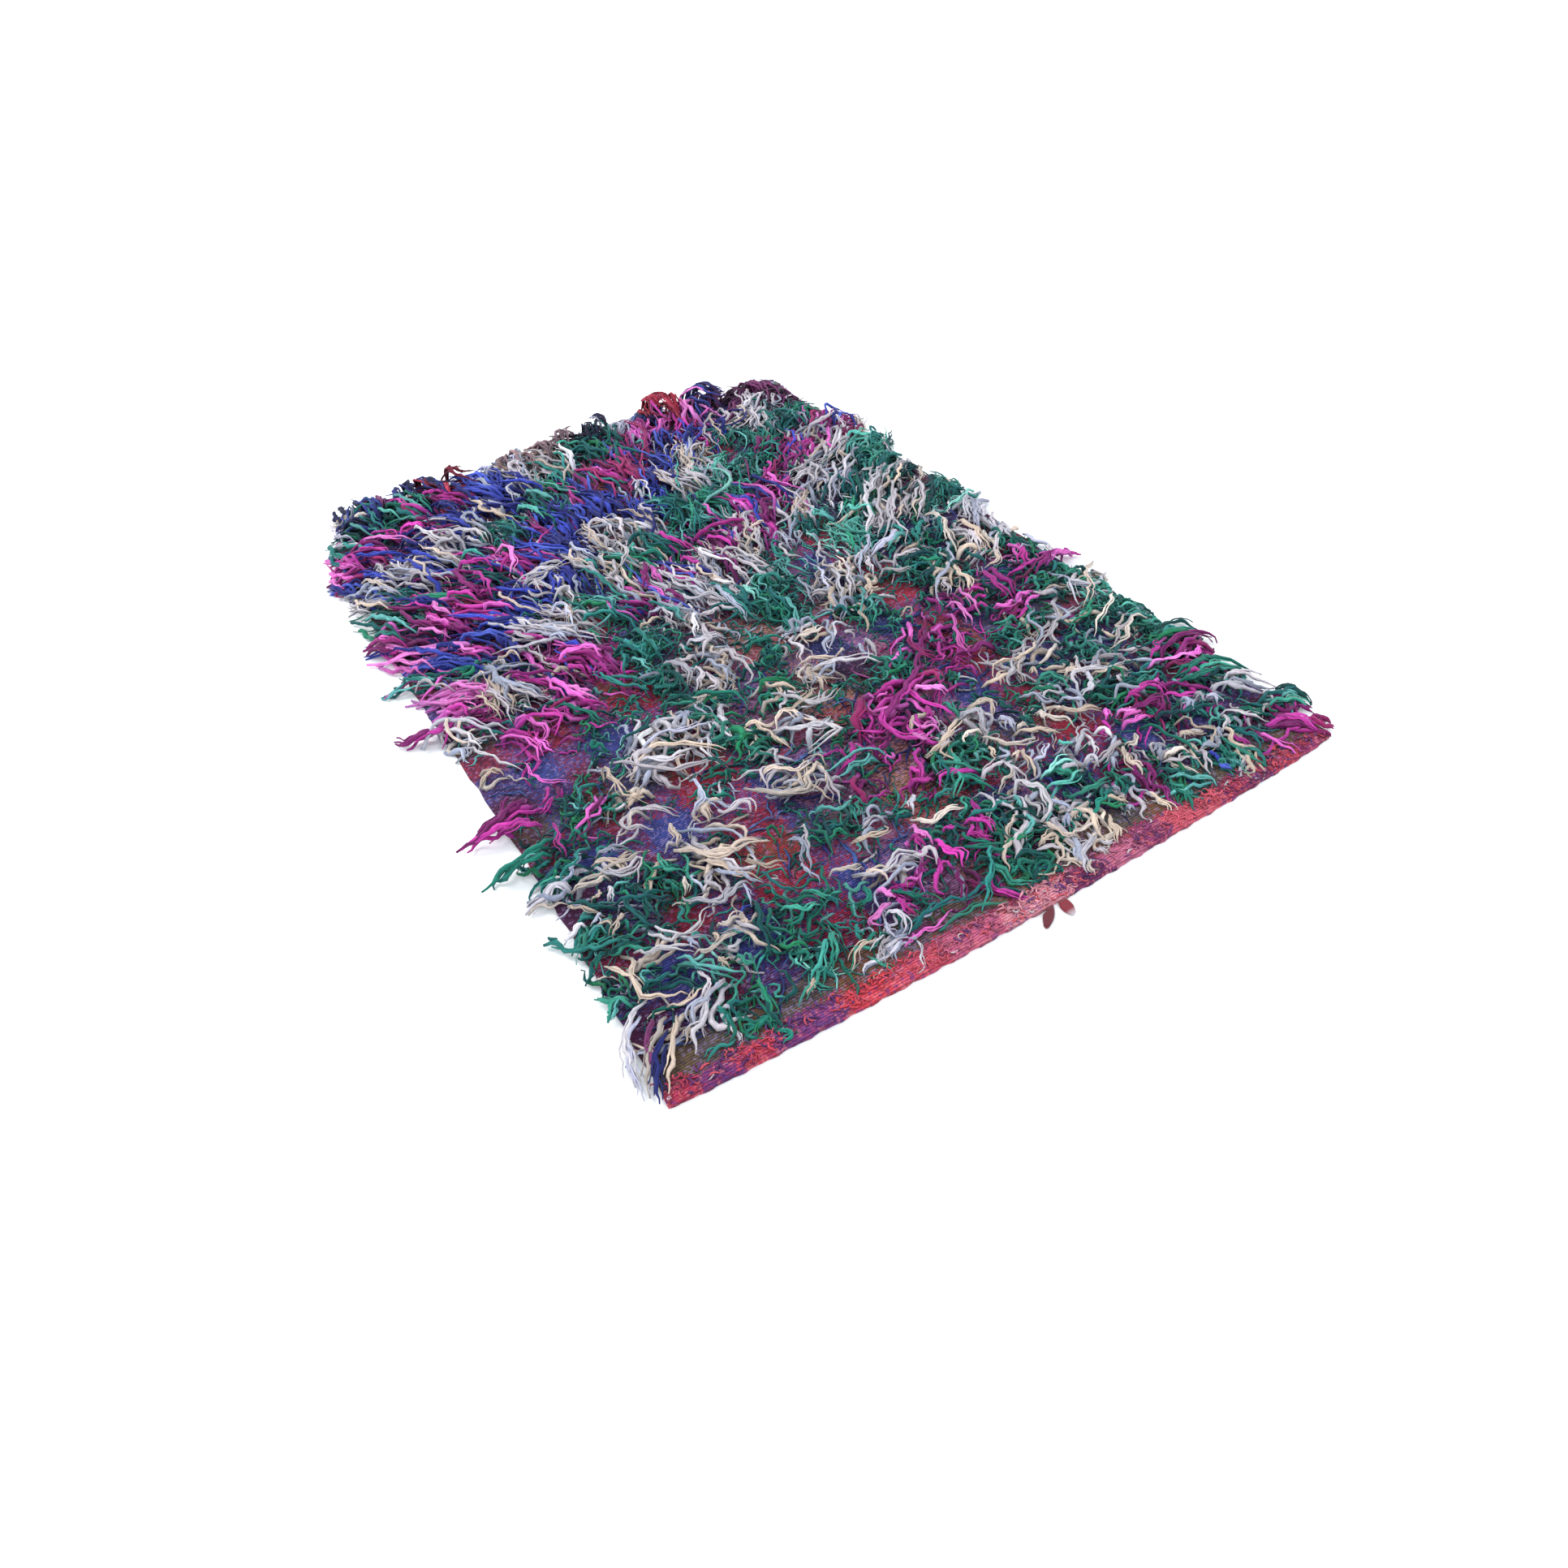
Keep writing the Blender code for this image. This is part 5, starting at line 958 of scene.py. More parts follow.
def lay(x, y):
    """The way the pile lies, in radians: combed away from the hem at the far end, and mostly towards it at the near one."""
    x, y = np.asarray(x, float), np.asarray(y, float)
    far = np.interp(x, *LAY_FAR)
    rows = np.stack([np.interp(x, LAY_NEAR_X, row) for row in LAY_NEAR])
    at = np.clip(np.interp(y, LAY_NEAR_Y, np.arange(6)), 0, 4.9999)
    low = at.astype(int)
    near = np.take_along_axis(rows, low[None], 0)[0] * (1 - (at - low)) + np.take_along_axis(rows, low[None] + 1, 0)[0] * (at - low)
    edge = y + 0.05 * field(x, y, 2.0, 0.30) + 0.03 * np.sin(91.0 * x + 57.0 * y)
    angle = np.where(edge > 0.02, far, near)
    turned = (x > 0.12) & (edge > -0.20) & (np.sin(173.0 * x + 211.0 * y) > 0.60)
    angle = angle + np.where(turned, 175.0, 0.0)
    return np.radians(angle + np.where(edge > 0.02, 12.0, 24.0) * field(x, y, 9.0, 0.30))


def tangle(x, y):
    """How tangled the pile is, 0 combed and 1 tangled."""
    combed = smooth((y + 0.06) / 0.20) * (1.0 - 0.25 * smooth((x + 0.05) / 0.25))
    return 1.0 - 0.75 * combed


def thickness(x, y):
    """How closely the ropes lie: sparse over the hem half, dense at the far end."""
    return 1.10 + 0.26 * smooth((y + 0.16) / 0.26) + 0.06 * smooth((x - 0.10) / 0.2) * (1 - smooth((y + 0.16) / 0.26))


patch_box = np.array([[p[1], p[2], p[3], p[4]] for p in PATCHES], float)
patch_box[:, :2].sort(axis=1)
patch_box[:, 2:].sort(axis=1)
patch_mid = np.stack([patch_box[:, :2].mean(1), patch_box[:, 2:].mean(1)], 1)
patch_half = np.maximum(np.stack([np.ptp(patch_box[:, :2], axis=1), np.ptp(patch_box[:, 2:], axis=1)], 1) / 2, 0.006)
patch_mid = np.stack(on_pile(patch_mid[:, 0], patch_mid[:, 1]), 1)
patch_kind = np.array([p[0] for p in PATCHES])


def kind_at(x, y):
    """The colour of the nearest patch, and of the smallest where several reach."""
    best = np.full(len(x), 1e9)
    found = np.zeros(len(x), int)
    area = patch_half[:, 0] * patch_half[:, 1]
    for i in range(len(PATCHES)):
        d = np.maximum(np.abs(x - patch_mid[i, 0]) / patch_half[i, 0], np.abs(y - patch_mid[i, 1]) / patch_half[i, 1])
        outside = np.maximum(d - 1.0, 0) * patch_half[i].mean()
        score = outside * 100 + np.sqrt(area[i]) * 0.5 - (0.008 if patch_kind[i] == "B" else 0.0)
        better = score < best
        best[better] = score[better]
        found[better] = i
    return patch_kind[found]


def bare_at(x, y):
    bare = np.zeros(len(x))
    for x0, x1, y0, y1, how in BARE:
        inside = (x > x0) & (x < x1) & (y > y0) & (y < y1)
        bare = np.maximum(bare, np.where(inside, how, 0))
    return bare


# --------------------------------------------------------------------------
# Strands.  A batch is a dict of arrays: path (n, k, 3), radius (n, k),
# colour (n, k, 3), kind (n,)
# --------------------------------------------------------------------------
def walk(x0, y0, heading, length, k):
    """Points along headings (n, k), so that the middle one is at x0, y0."""
    step = length[:, None] / (k - 1)
    mid = 0.5 * (heading[:, 1:] + heading[:, :-1])
    x = np.concatenate([np.zeros((len(x0), 1)), np.cumsum(np.cos(mid) * step, 1)], 1)
    y = np.concatenate([np.zeros((len(x0), 1)), np.cumsum(np.sin(mid) * step, 1)], 1)
    m = k // 2
    return x - x[:, m:m + 1] + x0[:, None], y - y[:, m:m + 1] + y0[:, None]


def shade(kind, locks_of, n, s):
    """Colours (n, k, 3) of strands of these kinds.  Strands of one lock are close in colour."""
    colour = np.zeros((n, 3))
    for one in np.unique(kind):
        rgb, share = SHADES_LINEAR[one]
        at = np.nonzero(kind == one)[0]
        ids = np.unique(locks_of[at])
        base = rng.choice(len(rgb), size=len(ids), p=share)
        own = rng.choice(len(rgb), size=len(at), p=share)
        pick = np.where(rng.random(len(at)) < 0.62, base[np.searchsorted(ids, locks_of[at])], own)
        colour[at] = rgb[pick]
    ids = np.unique(locks_of)
    lock_light = np.exp(rng.normal(0, 0.13, len(ids)))[np.searchsorted(ids, locks_of)]
    light = lock_light * np.exp(rng.normal(0, 0.12, n))
    # painted shade: each strand is darker and cooler towards its root, low in the pile where shade falls, and a little
    # lighter towards its tip, where light falls
    tip = smooth(s / 0.55)[:, None]
    along = np.array([0.66, 0.72, 0.78]) * (1 - tip) + np.array([1.08, 1.07, 1.05]) * tip
    return np.clip(colour[:, None, :] * light[:, None, None] * along[None], 0, 0.95)


def grow(kind, cx, cy, angle, length, level, k=12, count=None):
    """Bundles of ropes with these middles.  Everything is an array, one for each bundle."""
    n = len(cx)
    table = np.array([STYLES[STYLE_OF[q]] for q in kind])
    count = table[:, 0].astype(int) if count is None else count
    radius, width, wave = table[:, 1] / 1000, table[:, 2] / 1000, np.radians(table[:, 3])
    wavelength, curl, own, tip = table[:, 4] / 1000, table[:, 5], table[:, 6], table[:, 7]

    s = np.linspace(0, 1, k)
    messy = tangle(cx, cy)
    turn = rng.normal(0, 1, n) * curl * (0.30 + 0.8 * messy)
    wave = wave * (0.70 + 0.42 * messy) * np.exp(rng.normal(0, 0.18, n))
    phase = rng.random(n) * 6.283
    wavelength = wavelength * np.exp(rng.normal(0, 0.20, n))

    idx = np.repeat(np.arange(n), count)
    m = len(idx)
    own_m, messy_m = own[idx], messy[idx]
    stretch = length[idx] * np.exp(rng.normal(0, 0.22, m))
    along = s[None, :] * stretch[:, None]
    middle = along - 0.5 * stretch[:, None]
    heading = (angle[idx][:, None] + turn[idx][:, None] * middle
               + wave[idx][:, None] * np.sin(6.283 * along / (wavelength[idx] * np.exp(rng.normal(0, 0.10, m)))[:, None]
                                             + (phase[idx] + 1.5 * own_m * rng.normal(0, 1, m))[:, None]))
    heading = heading + (np.radians(15) * own_m * rng.normal(0, 1, m) * (0.4 + messy_m))[:, None]
    heading = heading + (own_m * (0.42 + 0.36 * messy_m))[:, None] * np.sin(
        6.283 * along / (0.52 * wavelength[idx] * np.exp(rng.normal(0, 0.25, m)))[:, None] + rng.random(m)[:, None] * 6.283)
    heading = heading + (rng.normal(0, 1, m) * own_m * 14 * (0.3 + messy_m))[:, None] * middle
    hooked = rng.random(m) < 0.16 * messy_m + 0.05
    heading = heading + (hooked * rng.normal(0, 2.0, m))[:, None] * smooth((s[None, :] - 0.55) / 0.45)

    around = rng.random(m) * 6.283
    out = np.sqrt(rng.random(m))
    across0 = out * np.cos(around) * 0.5 * width[idx]
    up0 = out * np.sin(around) * 0.0042
    tip = tip * (1 - 0.25 * (1 - smooth((cy + 0.12) / 0.20)))
    gather = 1.0 - (1.0 - tip[idx])[:, None] * smooth((s[None, :] - 0.35) / 0.65) - 0.35 * (1 - smooth(s[None, :] / 0.35))
    x, y = walk(cx[idx] + rng.normal(0, 0.004, m), cy[idx] + rng.normal(0, 0.004, m), heading, stretch, k)
    x = x - np.sin(angle[idx])[:, None] * across0[:, None] * gather
    y = y + np.cos(angle[idx])[:, None] * across0[:, None] * gather

    # a rope that runs past the outline moves back whole, all but a little
    back = (0.70 + 0.25 * rng.random(m))[:, None]
    x = x + back * np.maximum(side_x("left", y) + 0.003 - x, 0).max(1, keepdims=True)
    x = x - back * np.maximum(x - side_x("right", y) + 0.003, 0).max(1, keepdims=True)
    y = y + back * np.maximum(end_y("near", x) + 0.003 - y, 0).max(1, keepdims=True)
    y = y - back * np.maximum(y - end_y("far", x) + 0.002, 0).max(1, keepdims=True)

    near_m = 1 - smooth((cy[idx] + 0.12) / 0.20)
    reds = np.isin(np.asarray(kind)[idx], list("MIX"))
    r = radius[idx] * (1.10 + 0.06 * near_m) * np.where(reds, 1.14, 1.0) * np.exp(rng.normal(0, 0.24, m))
    taper = 1.0 - 0.68 * smooth((s - 0.58) / 0.42) - 0.28 * (1 - smooth(s / 0.18))
    swell = 1.0 + 0.15 * np.sin(6.283 * (s[None, :] * rng.uniform(1.5, 3.6, m)[:, None] + rng.random(m)[:, None]))
    rad = r[:, None] * taper[None, :] * swell

    top, ground = pile_top(x, y), ground_top(x, y)
    z = ground + (top - ground) * np.clip(level[idx] + rng.normal(0, 0.12, m), 0.12, np.maximum(level[idx], 1.25))[:, None] + up0[:, None] * gather - 0.5 * rad
    z = z + 0.0022 * np.sin(6.283 * (s[None, :] * rng.uniform(1.0, 2.3, m)[:, None] + rng.random(m)[:, None]))
    z = ground + (z - ground) * (0.10 + 0.90 * smooth(s / 0.24))[None, :]
    drop = rng.random(m)[:, None] * (0.30 + 0.45 * messy_m)[:, None] * smooth((s[None, :] - 0.55) / 0.45)
    z = ground + (z - ground) * (1 - drop)
    z = np.clip(z, np.where(ground > 0, GROUND_THICKNESS + 0.7 * rad, 1.05 * rad), np.maximum(top + 0.004 + 0.016 * smooth((y - 0.67) / 0.05), 0.006))
    # single ropes from the locks around
    other = kind_at(cx[idx] + rng.normal(0, 0.030, m), cy[idx] + rng.normal(0, 0.030, m))
    kinds = np.where(rng.random(m) < 0.18 - 0.08 * near_m, other, np.asarray(kind)[idx])
    odd = rng.random(m)
    kinds = np.where((kinds == "M") & (odd < 0.15 * (1 - near_m)), "B", np.where((kinds == "M") & (odd > 0.88), "X", kinds))
    return {"path": np.stack([x, y, z], 2), "radius": rad, "colour": shade(kinds, idx, m, s), "kind": kinds}


def wisps(batch, share, k=8, thin=(0.36, 0.60), apart=0.0045):
    """Finer wisps that run beside the ropes and leave them towards the tip."""
    n, kk, _ = batch["path"].shape
    chance = np.array([STYLES[STYLE_OF[q]][8] for q in batch["kind"]]) * share
    middle = batch["path"][:, kk // 2]
    chance = chance * (1 - 0.55 * tangle(middle[:, 0], middle[:, 1]))
    count = np.floor(chance + rng.random(n)).astype(int)
    pick = np.repeat(np.arange(n), count)
    m = len(pick)
    begin = rng.uniform(0.0, 0.30, m)
    finish = rng.uniform(0.72, 1.0, m)
    t = np.linspace(0, 1, k)
    at = (begin[:, None] + (finish - begin)[:, None] * t[None, :]) * (kk - 1)
    low = np.clip(np.floor(at).astype(int), 0, kk - 2)
    f = (at - low)[:, :, None]
    rows = pick[:, None]
    path = batch["path"][rows, low] * (1 - f) + batch["path"][rows, low + 1] * f
    big = batch["radius"][rows, low] * (1 - f[:, :, 0]) + batch["radius"][rows, low + 1] * f[:, :, 0]
    colour = batch["colour"][rows, low] * (1 - f) + batch["colour"][rows, low + 1] * f
    tangent = np.gradient(path, axis=1)
    flat = np.maximum(np.hypot(tangent[:, :, 0], tangent[:, :, 1]), 1e-9)
    side = rng.choice([-1.0, 1.0], m)
    away = side[:, None] * (0.85 * big + (rng.uniform(0.000, apart, m))[:, None] * smooth((t[None, :] - 0.20) / 0.80)
                            + 0.0012 * np.sin(6.283 * (t[None, :] * rng.uniform(1.2, 2.6, m)[:, None] + rng.random(m)[:, None])))
    path = path.copy()
    path[:, :, 0] += -tangent[:, :, 1] / flat * away
    path[:, :, 1] += tangent[:, :, 0] / flat * away
    path[:, :, 2] += rng.uniform(-0.0010, 0.0014, m)[:, None] * (0.4 + t[None, :])
    r = big[:, :1] * 0 + (np.median(big, axis=1) * rng.uniform(thin[0], thin[1], m))[:, None]
    rad = r * (1 - 0.55 * smooth((t[None, :] - 0.5) / 0.5)) * (1 - 0.25 * (1 - smooth(t[None, :] / 0.2)))
    path[:, :, 2] = np.maximum(path[:, :, 2], 1.05 * rad)
    light = np.exp(rng.normal(0.04, 0.14, m))[:, None, None]
    return {"path": path, "radius": rad, "colour": np.clip(colour * light, 0, 0.95), "kind": batch["kind"][pick]}


def single_area():
    """Points along the single locks, each with the area that the lock covers around it."""
    at, area = [], []
    for kind, thick, points in LOCKS:
        pts = np.array(points)
        px, py = on_pile(pts[:, 0], pts[:, 1], 0.95)
        line, long = spline(np.stack([px, py], 1), 12)
        at.append(line)
        area.append(np.full(12, thick / 1000 * long / 12))
    return np.concatenate(at), np.concatenate(area)


def patch_locks():
    """Bundles that fill each patch, laid the way the pile lies there."""
    kind, cx, cy, angle, length, level, count = [], [], [], [], [], [], []
    lock_at, lock_area = single_area()
    for i, row in enumerate(PATCHES):
        style = STYLES[STYLE_OF[row[0]]]
        (mx, my), (hx, hy) = patch_mid[i], patch_half[i]
        way = math.radians(row[5]) if len(row) > 5 else float(lay(mx, my))
        dx, dy = math.cos(way), math.sin(way)
        run = 2 * min(hx / max(abs(dx), 1e-3), hy / max(abs(dy), 1e-3))
        messy = float(tangle(mx, my))
        long = float(np.clip(1.35 * run, 0.070, 0.118)) if my > 0.02 else float(np.clip(1.15 * run, 0.048, 0.086))
        long *= 0.88 if style is STYLES["green"] else 1.0
        area = 4 * hx * hy
        bare = float(bare_at(np.array([mx]), np.array([my]))[0])
        cover = float(thickness(mx, my)) * (1 - 0.35 * bare)
        if my < 0.02:
            cover *= 0.66 if style is STYLES["cream"] else 0.62 if style is STYLES["smooth"] else 1.08
        if mx < -0.42 and my < -0.585:
            cover *= 0.12
        inside = (np.abs(lock_at[:, 0] - mx) < hx + 0.004) & (np.abs(lock_at[:, 1] - my) < hy + 0.004)
        if row[0] in ("G", "E", "H") and mx < -0.05 and my < -0.40:
            cover *= 0.55
        taken = (0.60 if my < 0.02 else 1.25) * lock_area[inside].sum()
        ropes = max(0, int((cover * (area + 0.10 * long * 0.02) - taken) / (long * 2.1 * style[1] / 1000) + rng.random()))
        spare_x = max(hx - 0.28 * abs(dx) * long, 0.10 * hx)
        spare_y = max(hy - 0.28 * abs(dy) * long, 0.10 * hy)
        while ropes > 0:
            some = int(min(ropes, rng.integers(2, style[0] + 2) if my > 0.02 else rng.integers(1, 4)))
            ropes -= some
            kind.append(row[0])
            cx.append(mx + spare_x * rng.uniform(-1, 1))
            cy.append(my + spare_y * rng.uniform(-1, 1))
            angle.append(way + math.radians(7 + 24 * messy) * rng.normal())
            length.append(long * rng.uniform(0.85, 1.2))
            level.append(rng.uniform(0.50, 0.98))
            count.append(some)
    kind, cx, cy, angle, length, level = (np.array(v) for v in (kind, cx, cy, angle, length, level))
    # the colours run into each other at the patches' borders
    other = kind_at(cx + rng.normal(0, 0.020, len(cx)), cy + rng.normal(0, 0.020, len(cx)))
    kind = np.where(rng.random(len(cx)) < 0.42, other, kind)
    kind = np.where((kind == "C") & (cy < 0.02) & (rng.random(len(cx)) < 0.25), "O", kind)
    kind = np.where((kind == "E") & (cy < -0.08) & (rng.random(len(cx)) < 0.60), "G", kind)
    kind = np.where((kind == "G") & (cy < -0.08) & (rng.random(len(cx)) < 0.75), "H", kind)
    kind = np.where((kind == "G") & (rng.random(len(cx)) < 0.25), "H", kind)
    return (kind, cx, cy, angle, length, level), np.array(count)


def under_locks():
    """Short wool low in the pile, in its rows of knots: a full layer at the far end, small tufts at the hem side."""
    x, y = np.meshgrid(np.arange(-0.480, 0.480, 0.021), np.arange(-0.650, 0.735, 0.040))
    x, y = x.ravel(), y.ravel()
    x = x + rng.normal(0, 0.006, len(x))
    y = y + rng.normal(0, 0.007, len(y))
    dense = smooth((y + 0.16) / 0.26)
    keep = rng.random(len(x)) < (0.66 + 0.34 * dense) * (1 - 0.75 * bare_at(x, y))
    keep &= (x > side_x("left", y, False) + 0.03) & (x < side_x("right", y, False) - 0.03)
    x, y, dense = x[keep], y[keep], dense[keep]
    kind = kind_at(x + rng.normal(0, 0.02, len(x)), y + rng.normal(0, 0.02, len(x)))
    dark = rng.random(len(x)) * (1 + 0.7 * dense)
    kind = np.where(dark < 0.05, "P", np.where(dark < 0.16, "N", np.where(dark < 0.28, "D", np.where(dark < 0.52, "H", kind))))
    pale = np.isin(kind, list("CWOL"))
    kind = np.where(pale & (rng.random(len(x)) < 0.45), np.where(rng.random(len(x)) < 0.6, "G", "L"), kind)
    return (kind, x, y, lay(x, y) + rng.normal(0, 0.6, len(x)), rng.uniform(0.040, 0.066, len(x)), rng.uniform(0.12, 0.40, len(x)))


def filling_locks(number):
    """Wool half way up the pile, which closes the gaps between the ropes above it."""
    x, y = rng.uniform(-0.47, 0.47, number * 2), rng.uniform(-0.10, 0.715, number * 2)
    keep = (x > side_x("left", y, False) + 0.025) & (x < side_x("right", y, False) - 0.025) & (rng.random(len(x)) < 0.35 + 0.65 * smooth((y + 0.1) / 0.2))
    x, y = x[keep][:number], y[keep][:number]
    kind = kind_at(x + rng.normal(0, 0.016, len(x)), y + rng.normal(0, 0.016, len(x)))
    return (kind, x, y, lay(x, y) + rng.normal(0, 0.35, len(x)), rng.uniform(0.044, 0.076, len(x)), rng.uniform(0.38, 0.68, len(x)))


def edge_locks():
    """Ropes that lie out over the edges and give the outline its tips."""
    kind, cx, cy, angle, length, level, count = [], [], [], [], [], [], []
    for side, at, far, half, colour in OVERHANGS:
        groups = max(1, int(1 + (60 if side == "far" else 34) * half))
        for j in range(groups):
            off = rng.uniform(-1, 1) * half * 0.9 if groups > 1 else 0.0
            long = rng.uniform(0.070, 0.100)
            out = far * (0.5 + 0.5 * math.cos(math.pi * min(abs(off) / (1.5 * half), 1))) + 0.002
            if side == "far":
                edge = float(end_y("far", np.array(at + off), False))
                way = math.radians(rng.choice([90, -90])) + rng.normal(0, 0.35)
                px, py = at + off, edge + out - 0.5 * long * abs(math.sin(way)) - 0.004
            else:
                edge = float(side_x(side, np.array(at + off), False))
                way = (math.pi if side == "left" else 0.0) + rng.normal(0, 0.22)
                if at > 0.16:
                    way = math.radians(137 if side == "left" else 44) + rng.normal(0, 0.16)
                px, py = edge + (-1 if side == "left" else 1) * out - 0.5 * long * math.cos(way), at + off * 0.8
            kind.append(colour)
            cx.append(px)
            cy.append(py)
            angle.append(way)
            length.append(long)
            level.append((rng.uniform(1.0, 2.1) if colour in "RNK" else rng.uniform(0.8, 1.4)) if side == "far" else rng.uniform(0.35, 0.85))
            count.append(5 if side == "far" else 1 if half < 0.025 else int(rng.integers(1, 3 if at < 0.05 else 5)))
    return tuple(np.array(v) for v in (kind, cx, cy, angle, length, level)), np.array(count)


def curls(number, k=9):
    """Small curls of matted wool, most of them in the green of the hem half."""
    x, y = rng.uniform(-0.485, 0.480, number * 4), rng.uniform(-0.665, 0.70, number * 4)
    kind = kind_at(x + rng.normal(0, 0.012, len(x)), y + rng.normal(0, 0.012, len(x)))
    green = np.isin(kind, list("GEV"))
    chance = np.where(green, np.where(y < 0.05, 1.0, 0.45), np.where(y < 0.05, 0.30, 0.08)) * (1 - 0.9 * bare_at(x, y))
    kind = np.where(green | (rng.random(len(x)) < 0.40), kind, "G")
    kind = np.where((kind == "G") & (rng.random(len(x)) < np.where(y < -0.05, 0.75, 0.3)), "H", kind)
    chance = np.where((x < -0.42) & (y < -0.60), 0.0, chance)
    keep = np.nonzero(rng.random(len(x)) < chance)[0][:number]
    x, y, kind = x[keep], y[keep], kind[keep]
    n = len(x)
    s = np.linspace(0, 1, k)
    long = rng.uniform(0.026, 0.052, n)
    heading = (lay(x, y) + rng.normal(0, 0.9, n))[:, None] + rng.uniform(0.8, 2.1, n)[:, None] * np.sin(
        6.283 * (s[None, :] * rng.uniform(0.8, 1.7, n)[:, None] + rng.random(n)[:, None]))
    px, py = walk(x, y, heading, long, k)
    px = np.clip(px, side_x("left", py) + 0.004, side_x("right", py) - 0.004)
    rad = (0.0021 * np.exp(rng.normal(0, 0.22, n)))[:, None] * (1 - 0.6 * smooth((s[None, :] - 0.6) / 0.4)) * (1 - 0.3 * (1 - smooth(s[None, :] / 0.15)))
    top, ground = pile_top(px, py), ground_top(px, py)
    z = ground + (top - ground) * rng.uniform(0.25, 0.90, n)[:, None] * (0.35 + 0.65 * np.sin(np.pi * np.clip(s[None, :] * 0.9 + 0.1, 0, 1)))
    z = z + 0.002 * np.sin(6.283 * (s[None, :] * 1.7 + rng.random(n)[:, None]))
    z = np.maximum(z, ground + 1.0 * rad)
    return {"path": np.stack([px, py, z], 2), "radius": rad, "colour": shade(kind, np.arange(n), n, s), "kind": kind}


def hem_yarn(number, k=6):
    """Small loops of coarse yarn that stand out of the hem's face."""
    x = rng.uniform(-0.497, 0.485, number)
    y = end_y("near", x) + rng.uniform(0.0025, 0.031, number)
    s = np.linspace(0, 1, k)
    heading = (rng.normal(0, 0.7, number) + np.where(rng.random(number) < 0.5, 0, np.pi))[:, None] + rng.normal(0, 2.4, number)[:, None] * s[None, :]
    px, py = walk(x, y, heading, rng.uniform(0.007, 0.015, number), k)
    py = np.maximum(py, end_y("near", px) + 0.0016)
    rad = (0.00125 * np.exp(rng.normal(0, 0.22, number)))[:, None] * (1 - 0.5 * np.abs(2 * s[None, :] - 1) ** 3)
    pz = 0.0066 + rng.uniform(0.0, 0.0007, number)[:, None] + 0.0011 * np.sin(np.pi * s[None, :]) * rng.uniform(0.2, 1.0, number)[:, None]
    tones = np.array([linear(c) for _, c in HEM_COLUMNS])
    column = np.clip(np.searchsorted([a for a, _ in HEM_COLUMNS], x + rng.normal(0, 0.012, number)) - 1, 0, len(tones) - 1)
    colour = tones[column] * np.exp(rng.normal(0.02, 0.22, number))[:, None]
    odd = rng.random(number)
    colour = np.where((odd < 0.07)[:, None], linear((104, 58, 120)), np.where((odd < 0.22)[:, None], linear((206, 84, 98)), colour))
    colour = np.where((odd > 0.975)[:, None], linear((206, 190, 196)), colour)
    return {"path": np.stack([px, py, pz], 2), "radius": rad, "colour": np.repeat(np.clip(colour, 0, 0.95)[:, None, :], k, 1), "kind": np.full(number, "R")}


def spline(points, k):
    """Catmull-Rom through the points, k samples evenly along it."""
    p = np.array(points, float)
    p = np.vstack([2 * p[0] - p[1], p, 2 * p[-1] - p[-2]])
    fine = []
    for i in range(1, len(p) - 2):
        t = np.linspace(0, 1, 24, endpoint=False)[:, None]
        a, b, c, d = p[i - 1], p[i], p[i + 1], p[i + 2]
        fine.append(0.5 * (2 * b + (c - a) * t + (2 * a - 5 * b + 4 * c - d) * t ** 2 + (3 * b - a - 3 * c + d) * t ** 3))
    fine = np.vstack(fine + [p[-2:-1]])
    run = np.concatenate([[0], np.cumsum(np.linalg.norm(np.diff(fine, axis=0), axis=1))])
    s = np.linspace(0, run[-1], k)
    return np.stack([np.interp(s, run, fine[:, 0]), np.interp(s, run, fine[:, 1])], 1), run[-1]


def single_locks(k=15):
    paths, radii, kinds, ids = [], [], [], []
    s = np.linspace(0, 1, k)
    for number, (kind, thick, points) in enumerate(LOCKS):
        pts = np.array(points)
        px, py = on_pile(pts[:, 0], pts[:, 1], 0.95)
        line, long = spline(np.stack([px, py], 1), k)
        tangent = np.gradient(line, axis=0)
        tangent /= np.linalg.norm(tangent, axis=1)[:, None]
        normal = np.stack([-tangent[:, 1], tangent[:, 0]], 1)
        r = 0.47 * thick / 1000 * (0.82 if kind in "CWOL" and pts[:, 1].mean() > 0.05 else 1.0)
        wobble = 0.0022 * np.sin(6.283 * (long / 0.040 * s + rng.random())) + 0.0012 * np.sin(6.283 * (long / 0.021 * s + rng.random()))
        xy = line + normal * (wobble * np.sin(np.pi * s) ** 0.5)[:, None]
        top, ground = pile_top(xy[:, 0], xy[:, 1]), ground_top(xy[:, 0], xy[:, 1])
        z = np.maximum(top + 0.0005, ground + 2.0 * r)
        z = ground + (z - ground) * (0.55 + 0.45 * smooth(s / 0.15)) * (1 - 0.30 * smooth((s - 0.8) / 0.2))
        rad = r * (1 - 0.62 * smooth((s - 0.66) / 0.34)) * (1 - 0.3 * (1 - smooth(s / 0.14))) * (1 + 0.13 * np.sin(6.283 * (2.6 * s + rng.random())) + 0.10 * np.sin(6.283 * (6.1 * s + rng.random())))
        z = np.maximum(z, ground + rad)
        paths.append(np.column_stack([xy, z]))
        radii.append(rad)
        kinds.append(kind)
        ids.append(number)
    kinds, ids = np.array(kinds), np.array(ids)
    by_hem = np.array([path[k // 2, 1] for path in paths]) < -0.08
    kinds = np.where((kinds == "C") & by_hem & (rng.random(len(kinds)) < 0.30), "O", kinds)
    kinds = np.where((kinds == "E") & by_hem & (rng.random(len(kinds)) < 0.5), "G", kinds)
    kinds = np.where((kinds == "G") & by_hem & (rng.random(len(kinds)) < 0.55), "H", kinds)
    colour = shade(kinds, ids, len(kinds), np.linspace(0.25, 1, k))
    return {"path": np.array(paths), "radius": np.array(radii), "colour": colour, "kind": kinds}


